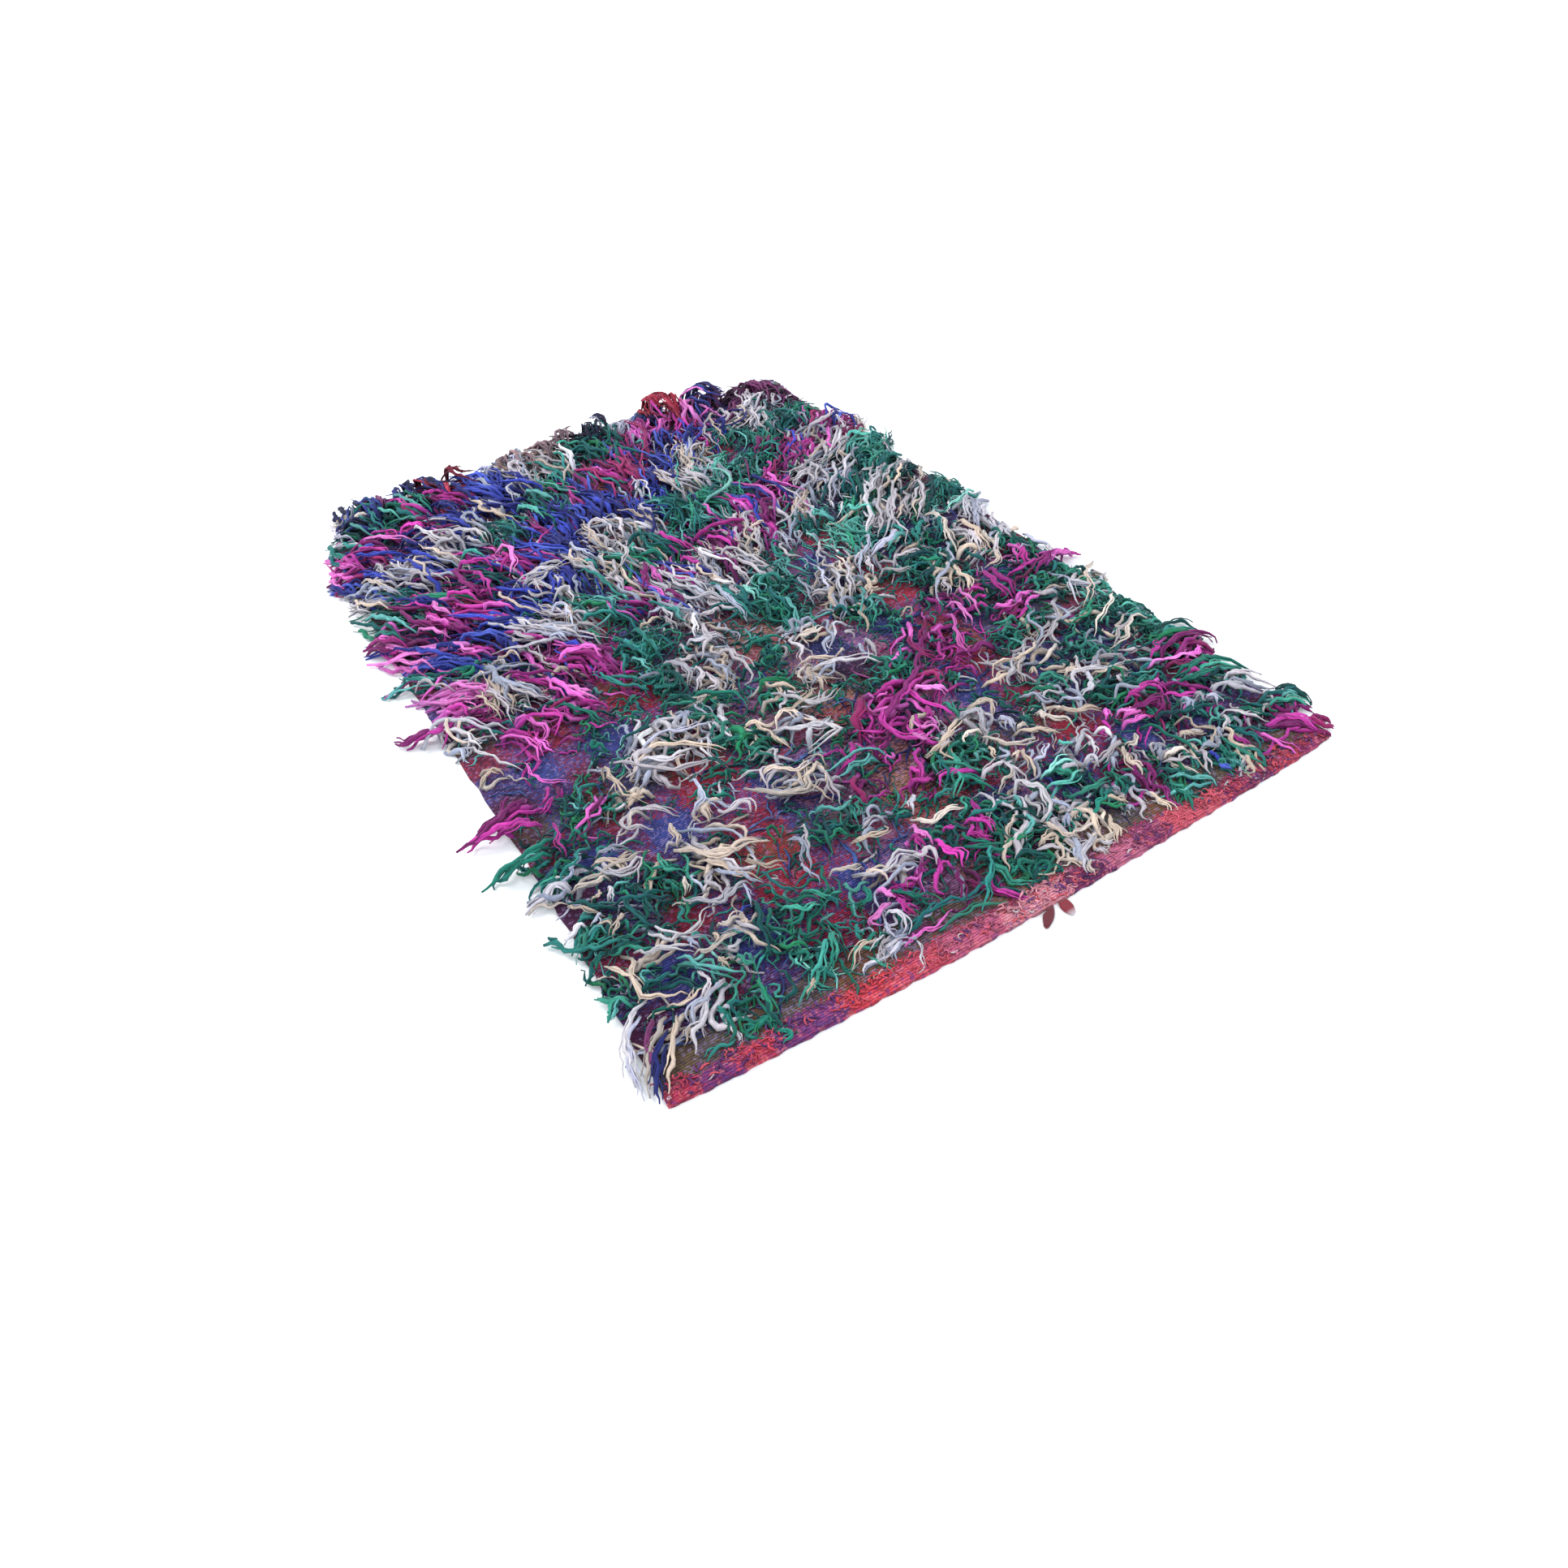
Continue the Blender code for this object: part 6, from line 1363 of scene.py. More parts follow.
def stray_fibres(batch, count, k=4):
    """Fine fibres that stand off the strands."""
    n, kk = batch["radius"].shape
    pick = rng.choice(n, size=count, replace=True)
    at = rng.integers(2, kk - 1, count)
    p0 = batch["path"][pick, at]
    along = batch["path"][pick, at] - batch["path"][pick, at - 1]
    heading0 = np.arctan2(along[:, 1], along[:, 0]) + rng.normal(0, 0.45, count)
    long = rng.uniform(0.010, 0.032, count)
    s = np.linspace(0, 1, k)
    heading = heading0[:, None] + rng.normal(0, 1.5, count)[:, None] * s[None, :] + 0.5 * np.sin(9 * s[None, :] + rng.random(count)[:, None] * 6.283)
    step = long[:, None] / (k - 1)
    x = p0[:, 0:1] + np.concatenate([np.zeros((count, 1)), np.cumsum(np.cos(heading[:, 1:]) * step, 1)], 1)
    y = p0[:, 1:2] + np.concatenate([np.zeros((count, 1)), np.cumsum(np.sin(heading[:, 1:]) * step, 1)], 1)
    lift = batch["radius"][pick, at][:, None] * 0.8 + (rng.uniform(0.000, 0.0045, count)[:, None]) * np.sin(np.pi * 0.62 * s[None, :])
    z = p0[:, 2:3] + lift
    rad = np.full((count, k), 0.00026) * (1 - 0.6 * s[None, :]) * np.exp(rng.normal(0, 0.2, count))[:, None]
    z = np.maximum(z, 0.0006)
    # painted highlight: the fibres are lighter than the strands they stand off, as a lit halo
    colour = np.repeat((np.clip(batch["colour"][pick, at] * 1.15 + 0.02, 0, 0.95))[:, None, :], k, 1)
    return {"path": np.stack([x, y, z], 2), "radius": rad, "colour": colour, "kind": batch["kind"][pick]}


def frames(path):
    """Tangents and two cross directions, carried along each path without turning."""
    t = np.gradient(path, axis=1)
    t /= np.maximum(np.linalg.norm(t, axis=2, keepdims=True), 1e-12)
    n = np.zeros_like(t)
    first = np.cross(t[:, 0], np.array([0.0, 0.0, 1.0]))
    weak = np.linalg.norm(first, axis=1) < 0.05
    first[weak] = np.cross(t[weak, 0], np.array([1.0, 0.0, 0.0]))
    n[:, 0] = first / np.linalg.norm(first, axis=1, keepdims=True)
    for j in range(1, path.shape[1]):
        v = n[:, j - 1] - (n[:, j - 1] * t[:, j]).sum(1, keepdims=True) * t[:, j]
        n[:, j] = v / np.maximum(np.linalg.norm(v, axis=1, keepdims=True), 1e-12)
    return t, n, np.cross(t, n)


def tube_parts(batch, sides, flat=0.78, turns=0.6):
    """Vertices, quads and corner UVs of closed tubes."""
    path, rad = batch["path"].copy(), batch["radius"]
    # the highest strands bend over at the top of the pile
    path[:, :, 2] = np.minimum(path[:, :, 2], 0.0572 - 1.15 * rad)
    n, k, _ = path.shape
    _, a, b = frames(path)
    spin = (rng.random(n) * 6.283)[:, None] + (turns * rng.uniform(0.5, 1.5, n) * 6.283)[:, None] * np.linspace(0, 1, k)[None, :]
    turn = 6.283185307 * np.arange(sides) / sides
    ca, sa = np.cos(turn), np.sin(turn)
    # an oval section, turned along the strand as plied wool is
    u = (a[:, :, None, :] * np.cos(spin)[:, :, None, None] + b[:, :, None, :] * np.sin(spin)[:, :, None, None])
    v = (-a[:, :, None, :] * np.sin(spin)[:, :, None, None] + b[:, :, None, :] * np.cos(spin)[:, :, None, None])
    lumpy = 1 + 0.13 * rng.uniform(-1, 1, (n, k, sides, 1))
    ring = (u * ca[None, None, :, None] + v * (flat * sa)[None, None, :, None]) * rad[:, :, None, None] * lumpy
    vert = path[:, :, None, :] + ring
    colour = np.repeat(batch["colour"][:, :, None, :], sides, 2)

    index = np.arange(n * k * sides).reshape(n, k, sides)
    nxt = np.roll(index, -1, axis=2)
    quads = np.stack([index[:, :-1], nxt[:, :-1], nxt[:, 1:], index[:, 1:]], -1).reshape(n, -1, 4)
    cell = int(math.ceil(math.sqrt(n)))
    grid_u, grid_v = (np.arange(n) % cell) / cell, (np.arange(n) // cell) / cell
    pad, size = 0.06 / cell, 0.88 / cell
    lu = np.arange(sides) / sides
    lv = np.linspace(0, 1, k)
    cu = np.stack([lu, lu + 1 / sides, lu + 1 / sides, lu], -1)[None, None]           # (1, 1, sides, 4)
    cv = np.stack([lv[:-1], lv[:-1], lv[1:], lv[1:]], -1)[None, :, None]              # (1, k-1, 1, 4)
    cu, cv = np.broadcast_to(cu, (n, k - 1, sides, 4)), np.broadcast_to(cv, (n, k - 1, sides, 4))
    bake = np.stack([grid_u[:, None, None, None] + pad + size * cu, grid_v[:, None, None, None] + pad + size * cv], -1).reshape(n, -1, 4, 2)
    long = np.linalg.norm(np.diff(path, axis=1), axis=2).sum(1)
    start = rng.random(n) * 40
    yarn = np.stack([cu + start[:, None, None, None], cv * (long * 100)[:, None, None, None] + start[:, None, None, None]], -1).reshape(n, -1, 4, 2)
    # caps
    if sides == 4:
        first, last = index[:, 0, ::-1], index[:, -1, :]
        quads = np.concatenate([quads, first[:, None], last[:, None]], 1)
        cap_bake = np.stack([np.stack([grid_u + pad, grid_v + pad], -1)] * 4, 1)[:, None] + np.array([[0, 0], [.01, 0], [.01, .01], [0, .01]])[None, None] * size
        cap_yarn = np.zeros((n, 1, 4, 2)) + start[:, None, None, None]
        bake = np.concatenate([bake, cap_bake, cap_bake], 1)
        yarn = np.concatenate([yarn, cap_yarn, cap_yarn], 1)
    caps = None
    if sides != 4:
        caps = np.concatenate([index[:, 0, ::-1], index[:, -1, :]], 0)
    return vert.reshape(-1, 3), colour.reshape(-1, 3), quads.reshape(-1, 4), bake.reshape(-1, 2), yarn.reshape(-1, 2), caps, (grid_u + pad, grid_v + pad)


def add_mesh(name, batches, material):
    """One closed mesh of all the strands in batches, with its colours and UV maps."""
    verts, colours, faces, sizes, bakes, yarns, base = [], [], [], [], [], [], 0
    cells = []
    total = len(batches)
    for number, (batch, sides) in enumerate(batches):
        v, c, q, bake, yarn, caps, corner = tube_parts(batch, sides)
        bake = bake * np.array([1.0 / total, 1.0]) + np.array([number / total, 0.0])
        verts.append(v)
        colours.append(c)
        faces.append((q + base).ravel())
        sizes.append(np.full(len(q), 4))
        bakes.append(bake)
        yarns.append(yarn)
        if caps is not None:
            faces.append((caps + base).ravel())
            sizes.append(np.full(len(caps), sides))
            spot = np.stack([np.concatenate([corner[0], corner[0]]), np.concatenate([corner[1], corner[1]])], 1)
            spot = spot * np.array([1.0 / total, 1.0]) + np.array([number / total, 0.0])
            bakes.append(np.repeat(spot, sides, 0))
            yarns.append(np.repeat(spot * 40, sides, 0))
        base += len(v)
    verts, colours = np.concatenate(verts), np.concatenate(colours)
    faces, sizes = np.concatenate(faces), np.concatenate(sizes)
    verts[:, :2] -= PLAN_CENTRE
    mesh = bpy.data.meshes.new(name)
    mesh.vertices.add(len(verts))
    mesh.vertices.foreach_set("co", verts.astype(np.float32).ravel())
    mesh.loops.add(len(faces))
    mesh.loops.foreach_set("vertex_index", faces.astype(np.int32))
    mesh.polygons.add(len(sizes))
    starts = np.concatenate([[0], np.cumsum(sizes)[:-1]])
    mesh.polygons.foreach_set("loop_start", starts.astype(np.int32))
    mesh.polygons.foreach_set("loop_total", sizes.astype(np.int32))
    mesh.update(calc_edges=True)
    mesh.polygons.foreach_set("use_smooth", np.ones(len(sizes), bool))
    for layer, data in (("OFBake", bakes), ("Yarn", yarns)):
        uv = mesh.uv_layers.new(name=layer)
        uv.data.foreach_set("uv", np.concatenate(data).astype(np.float32).ravel())
    attribute = mesh.color_attributes.new(name="Wool", type="FLOAT_COLOR", domain="POINT")
    rgba = np.concatenate([colours, np.ones((len(colours), 1))], 1)
    attribute.data.foreach_set("color", rgba.astype(np.float32).ravel())
    mesh.materials.append(material)
    obj = bpy.data.objects.new(name, mesh)
    bpy.context.scene.collection.objects.link(obj)
    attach(obj, "root")
    return obj


# --------------------------------------------------------------------------
# Materials
# --------------------------------------------------------------------------
class Tree:
    """Short names for building a node tree."""

    def __init__(self, name):
        self.material = bpy.data.materials.new(name)
        self.material.use_nodes = True
        self.nodes, self.links = self.material.node_tree.nodes, self.material.node_tree.links
        self.shader = self.nodes["Principled BSDF"] if "Principled BSDF" in self.nodes else None
        if self.shader is None:
            self.nodes.clear()
            self.shader = self.nodes.new("ShaderNodeBsdfPrincipled")
            out = self.nodes.new("ShaderNodeOutputMaterial")
            self.links.new(self.shader.outputs[0], out.inputs[0])

    def add(self, kind, inputs=None, **settings):
        node = self.nodes.new(kind)
        for key, value in settings.items():
            setattr(node, key, value)
        for key, value in (inputs or {}).items():
            if isinstance(value, bpy.types.NodeSocket):
                self.links.new(value, node.inputs[key])
            else:
                node.inputs[key].default_value = value
        return node

    def math(self, operation, a, b=0.0, c=0.0, clamp=False):
        return self.add("ShaderNodeMath", {0: a, 1: b, 2: c}, operation=operation, use_clamp=clamp).outputs[0]

    def mix(self, factor, a, b, blend="MIX"):
        node = self.nodes.new("ShaderNodeMix")
        node.data_type, node.blend_type = "RGBA", blend
        for socket, value in ((node.inputs[0], factor), (node.inputs[6], a), (node.inputs[7], b)):
            if isinstance(value, bpy.types.NodeSocket):
                self.links.new(value, socket)
            elif isinstance(value, (tuple, list)):
                socket.default_value = tuple(value) + ((1.0,) if len(value) == 3 else ())
            else:
                socket.default_value = value
        return node.outputs[2]

    def ramp(self, factor, stops, interpolation="LINEAR"):
        node = self.add("ShaderNodeValToRGB", {0: factor})
        node.color_ramp.interpolation = interpolation
        elements = node.color_ramp.elements
        while len(elements) > len(stops):
            elements.remove(elements[-1])
        while len(elements) < len(stops):
            elements.new(1.0)
        for element, (position, colour) in zip(elements, stops):
            element.position = position
        for element, (position, colour) in zip(elements, stops):
            element.color = tuple(colour) + (1.0,)
        return node.outputs[0]


def wool(name, fibre_low, fibre_high, roughness, sheen, bump):
    """Loose wool: fibres run along each strand and show as streaks and fine ridges."""
    t = Tree(name)
    yarn = t.add("ShaderNodeUVMap", uv_map="Yarn").outputs[0]
    colour = t.add("ShaderNodeVertexColor", layer_name="Wool").outputs[0]
    streak_at = t.add("ShaderNodeMapping", {"Vector": yarn, "Scale": (9.0, 0.9, 1.0)}).outputs[0]
    streak = t.add("ShaderNodeTexNoise", {"Vector": streak_at, "Scale": 1.0, "Detail": 4.0, "Roughness": 0.72}).outputs[0]
    ply_at = t.add("ShaderNodeSeparateXYZ", {0: yarn})
    slant = t.math("ADD", t.math("MULTIPLY", ply_at.outputs[0], 2.0), t.math("MULTIPLY", ply_at.outputs[1], 1.3))
    ply = t.math("SINE", t.math("MULTIPLY", slant, 6.2832))
    blotch = t.add("ShaderNodeTexNoise", {"Vector": yarn, "Scale": 0.8, "Detail": 2.0}).outputs[0]
    tone = t.ramp(streak, [(0.25, (fibre_low,) * 3), (0.75, (fibre_high,) * 3)])
    shaded = t.mix(1.0, colour, tone, "MULTIPLY")
    soft = t.ramp(blotch, [(0.3, (0.86, 0.86, 0.88)), (0.7, (1.08, 1.07, 1.05))])
    shaded = t.mix(1.0, shaded, soft, "MULTIPLY")
    height = t.math("ADD", t.math("MULTIPLY", streak, 1.0), t.math("MULTIPLY", ply, 0.10))
    bumped = t.add("ShaderNodeBump", {"Strength": bump, "Distance": 0.0012, "Height": height}).outputs[0]
    t.links.new(shaded, t.shader.inputs["Base Color"])
    t.links.new(bumped, t.shader.inputs["Normal"])
    t.shader.inputs["Roughness"].default_value = roughness
    t.shader.inputs["Sheen Weight"].default_value = sheen
    t.shader.inputs["Sheen Roughness"].default_value = 0.45
    t.shader.inputs["Specular IOR Level"].default_value = 0.25
    return t.material


# The ground's bands, away from the hem, and its columns across: where each
# starts, in metres, and its colour.
WEFT_BANDS = [(0.000, (152, 38, 60)), (0.052, (92, 78, 50)), (0.092, (74, 24, 62)), (0.146, (56, 64, 132)), (0.205, (152, 38, 60))]
WARP_COLUMNS = [
    (-0.500, (78, 26, 64)), (-0.445, (54, 62, 134)), (-0.390, (120, 30, 58)), (-0.345, (54, 64, 134)), (-0.275, (170, 36, 58)),
    (-0.190, (58, 66, 132)), (-0.150, (150, 100, 136)), (-0.060, (182, 122, 112)), (0.025, (24, 24, 58)), (0.085, (176, 104, 134)),
    (0.140, (54, 62, 132)), (0.190, (168, 38, 60)), (0.260, (54, 62, 130)), (0.310, (64, 18, 48)), (0.360, (52, 60, 130)),
    (0.410, (86, 26, 62))]
HEM_COLUMNS = [
    (-0.500, (164, 50, 78)), (-0.455, (96, 46, 104)), (-0.410, (188, 60, 82)), (-0.370, (98, 54, 116)), (-0.285, (204, 64, 76)),
    (-0.215, (200, 76, 94)), (-0.150, (184, 92, 122)), (-0.065, (208, 140, 152)), (0.030, (84, 40, 88)), (0.088, (184, 104, 134)), (0.145, (132, 60, 104)),
    (0.190, (196, 84, 100)), (0.290, (150, 50, 84)), (0.335, (104, 44, 84)), (0.380, (176, 60, 80)), (0.430, (134, 46, 96)), (0.465, (104, 30, 66))]


def weave(name):
    """Weft-faced marled flat-weave: bands of weft crossed by columns of warp colour, with the hem along its near end."""
    t = Tree(name)
    at = t.add("ShaderNodeUVMap", uv_map="Plan").outputs[0]
    parts = t.add("ShaderNodeSeparateXYZ", {0: at})
    x, y = parts.outputs[0], parts.outputs[1]
    inwards = t.add("ShaderNodeSeparateXYZ", {0: t.add("ShaderNodeUVMap", uv_map="Edge").outputs[0]}).outputs[1]
    drift = t.add("ShaderNodeTexNoise", {"Vector": at, "Scale": 9.0, "Detail": 2.0}).outputs[0]
    wander = t.math("MULTIPLY", t.math("SUBTRACT", drift, 0.5), 0.034)
    grain = t.add("ShaderNodeTexNoise", {"Vector": at, "Scale": 260.0, "Detail": 2.0}).outputs[0]
    frayed = t.math("MULTIPLY", t.math("SUBTRACT", grain, 0.5), 0.050)
    yy = t.math("ADD", t.math("ADD", t.math("ADD", y, 0.735), wander), frayed)
    band = t.math("FRACT", t.math("DIVIDE", yy, 0.205))
    weft = t.ramp(band, [(a / 0.205, linear(c)) for a, c in WEFT_BANDS], "CONSTANT")
    xx = t.math("ADD", t.math("ADD", t.math("ADD", x, 0.5), wander), frayed)
    warp = t.ramp(xx, [(a + 0.5, linear(c)) for a, c in WARP_COLUMNS], "CONSTANT")
    hem_colour = t.ramp(xx, [(a + 0.5, linear(c)) for a, c in HEM_COLUMNS], "CONSTANT")

    # short slanting floats in two colours
    float_at = t.add("ShaderNodeMapping", {"Vector": at, "Rotation": (0, 0, 0.42), "Scale": (150.0, 300.0, 1.0)}).outputs[0]
    floats = t.add("ShaderNodeTexNoise", {"Vector": float_at, "Scale": 1.0, "Detail": 1.5, "Roughness": 0.6}).outputs[0]
    marl = t.ramp(floats, [(0.43, (0.12, 0.12, 0.12)), (0.57, (0.88, 0.88, 0.88))])
    by_hem = t.add("ShaderNodeMapRange", {"Value": y, "From Min": -0.65, "From Max": -0.60, "To Min": 0.30, "To Max": 1.0}).outputs[0]
    cloth = t.mix(t.math("MULTIPLY", marl, by_hem), weft, warp)
    spots = t.add("ShaderNodeTexVoronoi", {"Vector": at, "Scale": 270.0, "Randomness": 1.0})
    per_spot = t.add("ShaderNodeSeparateColor", {0: spots.outputs["Color"]}).outputs[0]
    light_spot = t.math("GREATER_THAN", per_spot, 0.80)
    dark_spot = t.math("LESS_THAN", per_spot, 0.22)
    cloth = t.mix(t.math("MULTIPLY", light_spot, 0.30), cloth, tuple(linear((158, 138, 184))))
    cloth = t.mix(t.math("MULTIPLY", dark_spot, 0.42), cloth, tuple(linear((34, 20, 52))))

    # the hem: coral and red wool with purple spots, its edge against the ground uneven
    hem = t.mix(marl, t.mix(0.35, hem_colour, tuple(linear((192, 64, 88)))), hem_colour)
    patchy = t.add("ShaderNodeMapRange", {"Value": drift, "From Min": 0.40, "From Max": 0.62, "To Min": 0.10, "To Max": 0.65}).outputs[0]
    hem = t.mix(t.math("MULTIPLY", dark_spot, patchy), hem, tuple(linear((96, 56, 120))))
    hem = t.mix(t.math("MULTIPLY", light_spot, 0.40), hem, tuple(linear((222, 124, 130))))
    narrow = t.add("ShaderNodeMapRange", {"Value": x, "From Min": 0.34, "From Max": 0.45, "To Min": 0.0, "To Max": 0.013}).outputs[0]
    uneven = t.math("ADD", t.math("ADD", inwards, narrow), t.math("MULTIPLY", t.math("SUBTRACT", drift, 0.5), 0.045))
    uneven = t.math("ADD", uneven, t.math("MULTIPLY", t.math("SUBTRACT", grain, 0.5), 0.036))
    is_hem = t.add("ShaderNodeMapRange", {"Value": uneven, "From Min": 0.0200, "From Max": 0.0290, "To Min": 1.0, "To Max": 0.0}).outputs[0]
    cloth = t.mix(is_hem, cloth, hem)
    # painted shade: the cloth is darker within 3 mm of its near edge, where the hem rolls under
    fold_shade = t.add("ShaderNodeMapRange", {"Value": inwards, "From Min": 0.000, "From Max": 0.003, "To Min": 0.78, "To Max": 1.0}).outputs[0]

    rib = t.math("SINE", t.math("MULTIPLY", t.math("ADD", y, t.math("MULTIPLY", frayed, 0.05)), 6.2832 / 0.0034))
    weft_rib = t.math("MULTIPLY", t.math("ADD", rib, 1.0), 0.5)
    # painted shade: the cloth is darker in the grooves between its weft ribs and lighter on their crests
    rib_groove_shade = t.ramp(weft_rib, [(0.0, (0.52, 0.50, 0.56)), (0.75, (1.10, 1.08, 1.08))])
    cloth = t.mix(1.0, cloth, rib_groove_shade, "MULTIPLY")
    cloth = t.mix(1.0, cloth, fold_shade, "MULTIPLY")
    lumps = t.math("SUBTRACT", 1.0, spots.outputs["Distance"])
    height = t.math("ADD", t.math("MULTIPLY", weft_rib, 0.5), t.math("ADD", t.math("MULTIPLY", floats, 0.7), t.math("MULTIPLY", lumps, 0.8)))
    bumped = t.add("ShaderNodeBump", {"Strength": 0.9, "Distance": 0.0016, "Height": height}).outputs[0]
    t.links.new(cloth, t.shader.inputs["Base Color"])
    t.links.new(bumped, t.shader.inputs["Normal"])
    t.shader.inputs["Roughness"].default_value = 0.95
    t.shader.inputs["Sheen Weight"].default_value = 0.10
    t.shader.inputs["Specular IOR Level"].default_value = 0.2
    return t.material


def felt(name, body, tip, tip_from, tip_to):
    """Felted wool, with a tip of another colour where the tab points away from the rug."""
    t = Tree(name)
    at = t.add("ShaderNodeTexCoord").outputs["Object"]
    fibres = t.add("ShaderNodeTexNoise", {"Vector": at, "Scale": 900.0, "Detail": 4.0, "Roughness": 0.7}).outputs[0]
    tone = t.ramp(fibres, [(0.3, (0.62, 0.62, 0.62)), (0.7, (1.15, 1.15, 1.15))])
    y = t.add("ShaderNodeSeparateXYZ", {0: at}).outputs[1]
    edge = t.math("ADD", y, t.math("MULTIPLY", t.math("SUBTRACT", fibres, 0.5), 0.004))
    share = t.add("ShaderNodeMapRange", {"Value": edge, "From Min": tip_from, "From Max": tip_to, "To Min": 1.0, "To Max": 0.0}).outputs[0]
    colour = t.mix(share, tuple(linear(body)), tuple(linear(tip)))
    colour = t.mix(1.0, colour, tone, "MULTIPLY")
    bumped = t.add("ShaderNodeBump", {"Strength": 0.7, "Distance": 0.0006, "Height": fibres}).outputs[0]
    t.links.new(colour, t.shader.inputs["Base Color"])
    t.links.new(bumped, t.shader.inputs["Normal"])
    t.shader.inputs["Roughness"].default_value = 0.92
    t.shader.inputs["Sheen Weight"].default_value = 0.3
    return t.material


# --------------------------------------------------------------------------
# The ground sheet: a thin closed sheet, thicker along its turned hem
# --------------------------------------------------------------------------
def ground_sheet():
    across = np.linspace(0, 1, 151)
    span = FAR_Y - NEAR_Y
    hem = np.array([0.0, 0.0016, 0.004, 0.009, 0.014, 0.019, 0.024, 0.029, 0.034]) / span
    along = np.concatenate([hem, np.linspace(hem[-1], 1, 52)[1:]])
    u, v = np.meshgrid(across, along)
    y_line = NEAR_Y + span * v
    left, right = side_x("left", y_line, False), side_x("right", y_line, False)
    left = left + 0.012 * smooth((0.0 - y_line) / 0.5) * smooth((y_line + 0.95) / 0.2) - 0.004 * np.sin(7 * y_line) + 0.0016 * np.sin(83 * y_line)
    right = right + 0.0015 * np.sin(71 * y_line + 1.0)
    x = left + (right - left) * u
    near, far = end_y("near", x), end_y("far", x, False) - 0.008
    near = near + (0.0009 * np.sin(160 * x + 1.3) + 0.0007 * np.sin(311 * x)) * np.sin(np.pi * np.clip(u, 0, 1)) ** 0.2
    y = near + (far - near) * v
    from_near = v * span
    hem_share = 1 - smooth((from_near - 0.023) / 0.010)
    puff = 0.0014 * np.sin(np.pi * np.clip(from_near / 0.030, 0, 1)) ** 0.6
    lumps = 0.0007 * np.sin(402 * x + 190 * y) + 0.0006 * np.sin(-233 * x + 377 * y + 1.0) + 0.0004 * np.sin(577 * x + 2.0)
    z = GROUND_THICKNESS + hem_share * (HEM_THICKNESS - GROUND_THICKNESS - 0.0012 + puff + lumps * smooth(from_near / 0.004))
    z = z + 0.00035 * np.sin(61 * x + 17 * y) + 0.0003 * np.sin(43 * y - 29 * x)
    z = np.where(from_near < 0.001, 0.0030, z)
    z = np.where((u < 1e-6) | (u > 1 - 1e-6), np.minimum(z, 0.0032), z)
    rows, cols = u.shape
    top = np.stack([x, y, z], -1).reshape(-1, 3)
    under = top.copy()
    under[:, 2] = 0.0004
    verts = np.concatenate([top, under])
    inwards = np.tile(from_near.ravel(), 2)
    verts[:, :2] -= PLAN_CENTRE
    index = np.arange(rows * cols).reshape(rows, cols)
    low = index + rows * cols
    quads = [np.stack([index[:-1, :-1], index[:-1, 1:], index[1:, 1:], index[1:, :-1]], -1).reshape(-1, 4),
             np.stack([low[:-1, :-1], low[1:, :-1], low[1:, 1:], low[:-1, 1:]], -1).reshape(-1, 4)]
    for line, lower in ((index[0, ::-1], low[0, ::-1]), (index[-1], low[-1]), (index[:, 0], low[:, 0]), (index[::-1, -1], low[::-1, -1])):
        quads.append(np.stack([line[:-1], line[1:], lower[1:], lower[:-1]], -1))
    quads = np.concatenate(quads)
    mesh = bpy.data.meshes.new("ground")
    mesh.from_pydata([tuple(p) for p in verts], [], [tuple(int(i) for i in q) for q in quads])
    mesh.update()
    loops = np.zeros(len(mesh.loops), np.int32)
    mesh.loops.foreach_get("vertex_index", loops)
    plan = verts[:, :2] + PLAN_CENTRE
    for layer, data in (("Plan", plan), ("Edge", np.stack([plan[:, 0], inwards], 1))):
        uv = mesh.uv_layers.new(name=layer)
        uv.data.foreach_set("uv", data[loops].astype(np.float32).ravel())
    mesh.polygons.foreach_set("use_smooth", np.ones(len(mesh.polygons), bool))
    mesh.materials.append(weave("ground_weave"))
    obj = bpy.data.objects.new("ground", mesh)
    bpy.context.scene.collection.objects.link(obj)
    mesh.set_sharp_from_angle(angle=math.radians(60))
    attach(obj, "root")
    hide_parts("rug")
    return obj


# --------------------------------------------------------------------------
# Build
# --------------------------------------------------------------------------
sheet = ground_sheet()

bundles, ropes_in = patch_locks()
top_batch = grow(*bundles, count=ropes_in)
low = under_locks()
low_batch = grow(*low, k=6, count=np.full(len(low[0]), 2))
low_batch["radius"] = low_batch["radius"] * 0.62
# painted light: the under layer's colours are lightened, which lifts the shade that falls deep in the pile
low_batch["colour"] = low_batch["colour"] * 1.16
filling = filling_locks(640)
filling_batch = grow(*filling, k=7, count=np.full(len(filling[0]), 2))
filling_batch["radius"] = filling_batch["radius"] * 0.85
filling_batch["colour"] = filling_batch["colour"] * 1.06
bundles, ropes_in = edge_locks()
rim_batch = grow(*bundles, count=ropes_in)
one_batch = single_locks()
curl_batch = curls(1350)
one_far = one_batch["path"][:, 7, 1] > 0.03
fine_batches = [wisps(top_batch, 1.0), wisps(rim_batch, 1.0),
                wisps({key: value[~one_far] for key, value in one_batch.items()}, 5.4, 11, (0.50, 0.88), 0.0075),
                wisps({key: value[one_far] for key, value in one_batch.items()}, 2.2, 9, (0.36, 0.66), 0.0060)]

MATERIALS = {
    "pile_cream": (wool("cream_wool", 0.60, 1.16, 0.90, 0.18, 0.80), "wool_cream"),
    "pile_green": (wool("green_wool", 0.55, 1.30, 0.88, 0.08, 0.70), "wool_green"),
    "pile_magenta": (wool("magenta_wool", 0.60, 1.28, 0.78, 0.10, 0.55), "wool_magenta"),
    "pile_blue": (wool("blue_wool", 0.58, 1.30, 0.78, 0.10, 0.55), "wool_blue"),
    "pile_edge": (wool("mixed_wool", 0.58, 1.30, 0.82, 0.08, 0.55), "wool_mixed"),
}

pile = []
LIMIT = 196000


def part_of(batch, mask):
    return {key: value[mask] for key, value in batch.items()}


def triangles(batch, sides):
    n, k = batch["radius"].shape
    return n * ((k - 1) * sides * 2 + 2 * (sides - 2))


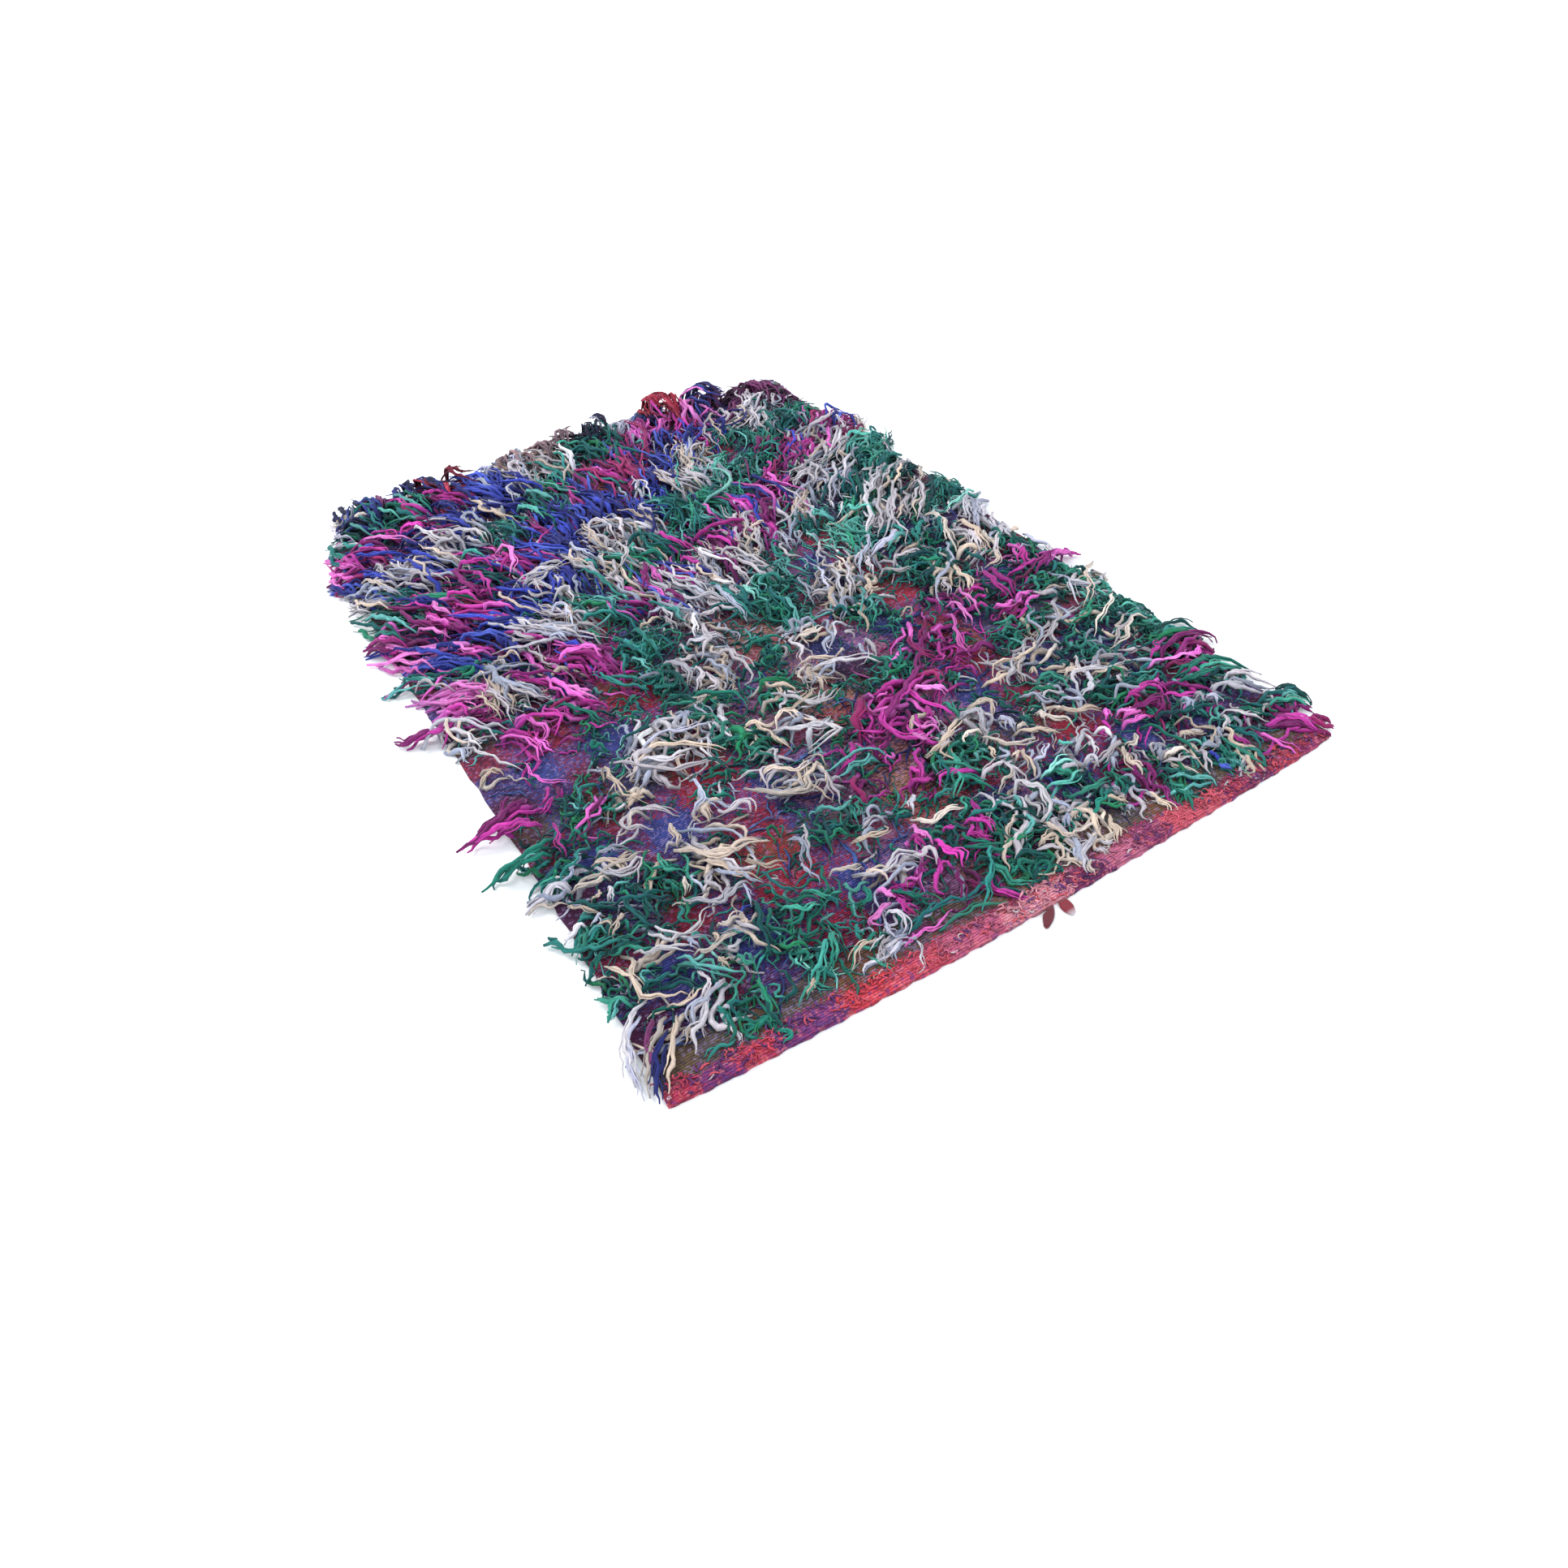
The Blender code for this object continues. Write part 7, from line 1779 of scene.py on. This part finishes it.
for piece in ("pile_cream", "pile_green", "pile_magenta", "pile_blue", "pile_edge"):
    chosen = []
    for batch, sides in [(top_batch, 5 if piece == "pile_cream" else 4), (rim_batch, 4), (one_batch, 5), (low_batch, 4), (filling_batch, 4), (curl_batch, 4)] + [(b, 4) for b in fine_batches]:
        mask = np.array([PIECE_OF[q] == piece for q in batch["kind"]])
        if mask.any():
            chosen.append((part_of(batch, mask), sides))
    count = sum(triangles(b, sides) for b, sides in chosen)
    parts = int(math.ceil(count / LIMIT))
    material, slot_name = MATERIALS[piece]
    for number in range(parts):
        some = [(part_of(b, np.arange(len(b["kind"])) % parts == number), sides) for b, sides in chosen]
        some = [(b, sides) for b, sides in some if len(b["kind"])]
        name = piece if parts == 1 else f"{piece}_{number + 1}"
        pile.append(add_mesh(name, some, material))
    print("PIECE", piece, parts, count)

fibre_source = {key: np.concatenate([top_batch[key], rim_batch[key]]) for key in top_batch}
fibres = stray_fibres(fibre_source, 2900)
pile.append(add_mesh("hem_yarn", [(hem_yarn(620), 4)], MATERIALS["pile_edge"][0]))
strays = add_mesh("stray_fibres", [(fibres, 3)], MATERIALS["pile_cream"][0])
pile.append(strays)

sizes = {}
for o in pile:
    loops = np.zeros(len(o.data.polygons), np.int32)
    o.data.polygons.foreach_get("loop_total", loops)
    sizes[o.name] = int((loops - 2).sum())
print("TRIANGLES", sum(sizes.values()), sizes, {n: len(b["kind"]) for n, b in (("top", top_batch), ("low", low_batch), ("rim", rim_batch))})

tab_left, tab_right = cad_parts["tassel_left"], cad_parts["tassel_right"]
for tab, body, tip, tip_from, tip_to in ((tab_left, (94, 10, 28), (84, 10, 26), -2.0, -1.9),
                                         (tab_right, (124, 18, 38), (200, 186, 192), -0.7525, -0.7440)):
    tab.data.materials.clear()
    tab.data.materials.append(felt("felt_" + tab.name, body, tip, tip_from, tip_to))

# --------------------------------------------------------------------------
# Floor, light and camera
# --------------------------------------------------------------------------
floor_mesh = bpy.data.meshes.new("floor")
floor_mesh.from_pydata([(-9, -9, 0), (9, -9, 0), (9, 9, 0), (-9, 9, 0)], [], [(0, 1, 2, 3)])
floor = bpy.data.objects.new("floor", floor_mesh)
bpy.context.scene.collection.objects.link(floor)
pale = Tree("floor_pale")
pale.shader.inputs["Base Color"].default_value = (0.90, 0.90, 0.90, 1.0)
pale.shader.inputs["Roughness"].default_value = 1.0
pale.shader.inputs["Specular IOR Level"].default_value = 0.0
floor_mesh.materials.append(pale.material)
floor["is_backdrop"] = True

world = bpy.data.worlds.new("studio")
bpy.context.scene.world = world
world.use_nodes = True
background = world.node_tree.nodes["Background"]
background.inputs[0].default_value = (0.88, 0.94, 1.0, 1.0)
background.inputs[1].default_value = 1.31


def area_light(name, at, towards, size, power):
    data = bpy.data.lights.new(name, "AREA")
    data.shape, data.size, data.size_y = "RECTANGLE", size[0], size[1]
    data.energy = power
    light = bpy.data.objects.new(name, data)
    bpy.context.scene.collection.objects.link(light)
    direction = Vector(towards) - Vector(at)
    light.matrix_world = Matrix.Translation(at) @ direction.to_track_quat("-Z", "Y").to_matrix().to_4x4()
    light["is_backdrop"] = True
    return light


area_light("key", (-1.6, 1.9, 2.6), (0, 0, 0), (1.6, 1.6), 70)
area_light("fill", (1.8, -1.4, 2.4), (0, 0, 0), (2.4, 2.4), 22)

camera_data = bpy.data.cameras.new("camera")
camera_data.lens, camera_data.sensor_width = 24.983, 36.0
camera_data.clip_start, camera_data.clip_end = 0.05, 60
camera = bpy.data.objects.new("camera", camera_data)
bpy.context.scene.collection.objects.link(camera)
right = Vector((0.85268385, -0.51861648, -0.06298572))
down = Vector((-0.39797275, -0.56671035, -0.72142711))
forward = Vector((0.33844933, 0.64021584, -0.68961999))
turn = Matrix((right, -down, -forward)).transposed().to_4x4()
camera.matrix_world = Matrix.Translation((-0.6251254, -1.2940552, 0.9918093)) @ turn
bpy.context.scene.camera = camera
bpy.context.scene.view_settings.view_transform = "Standard"

low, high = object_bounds()
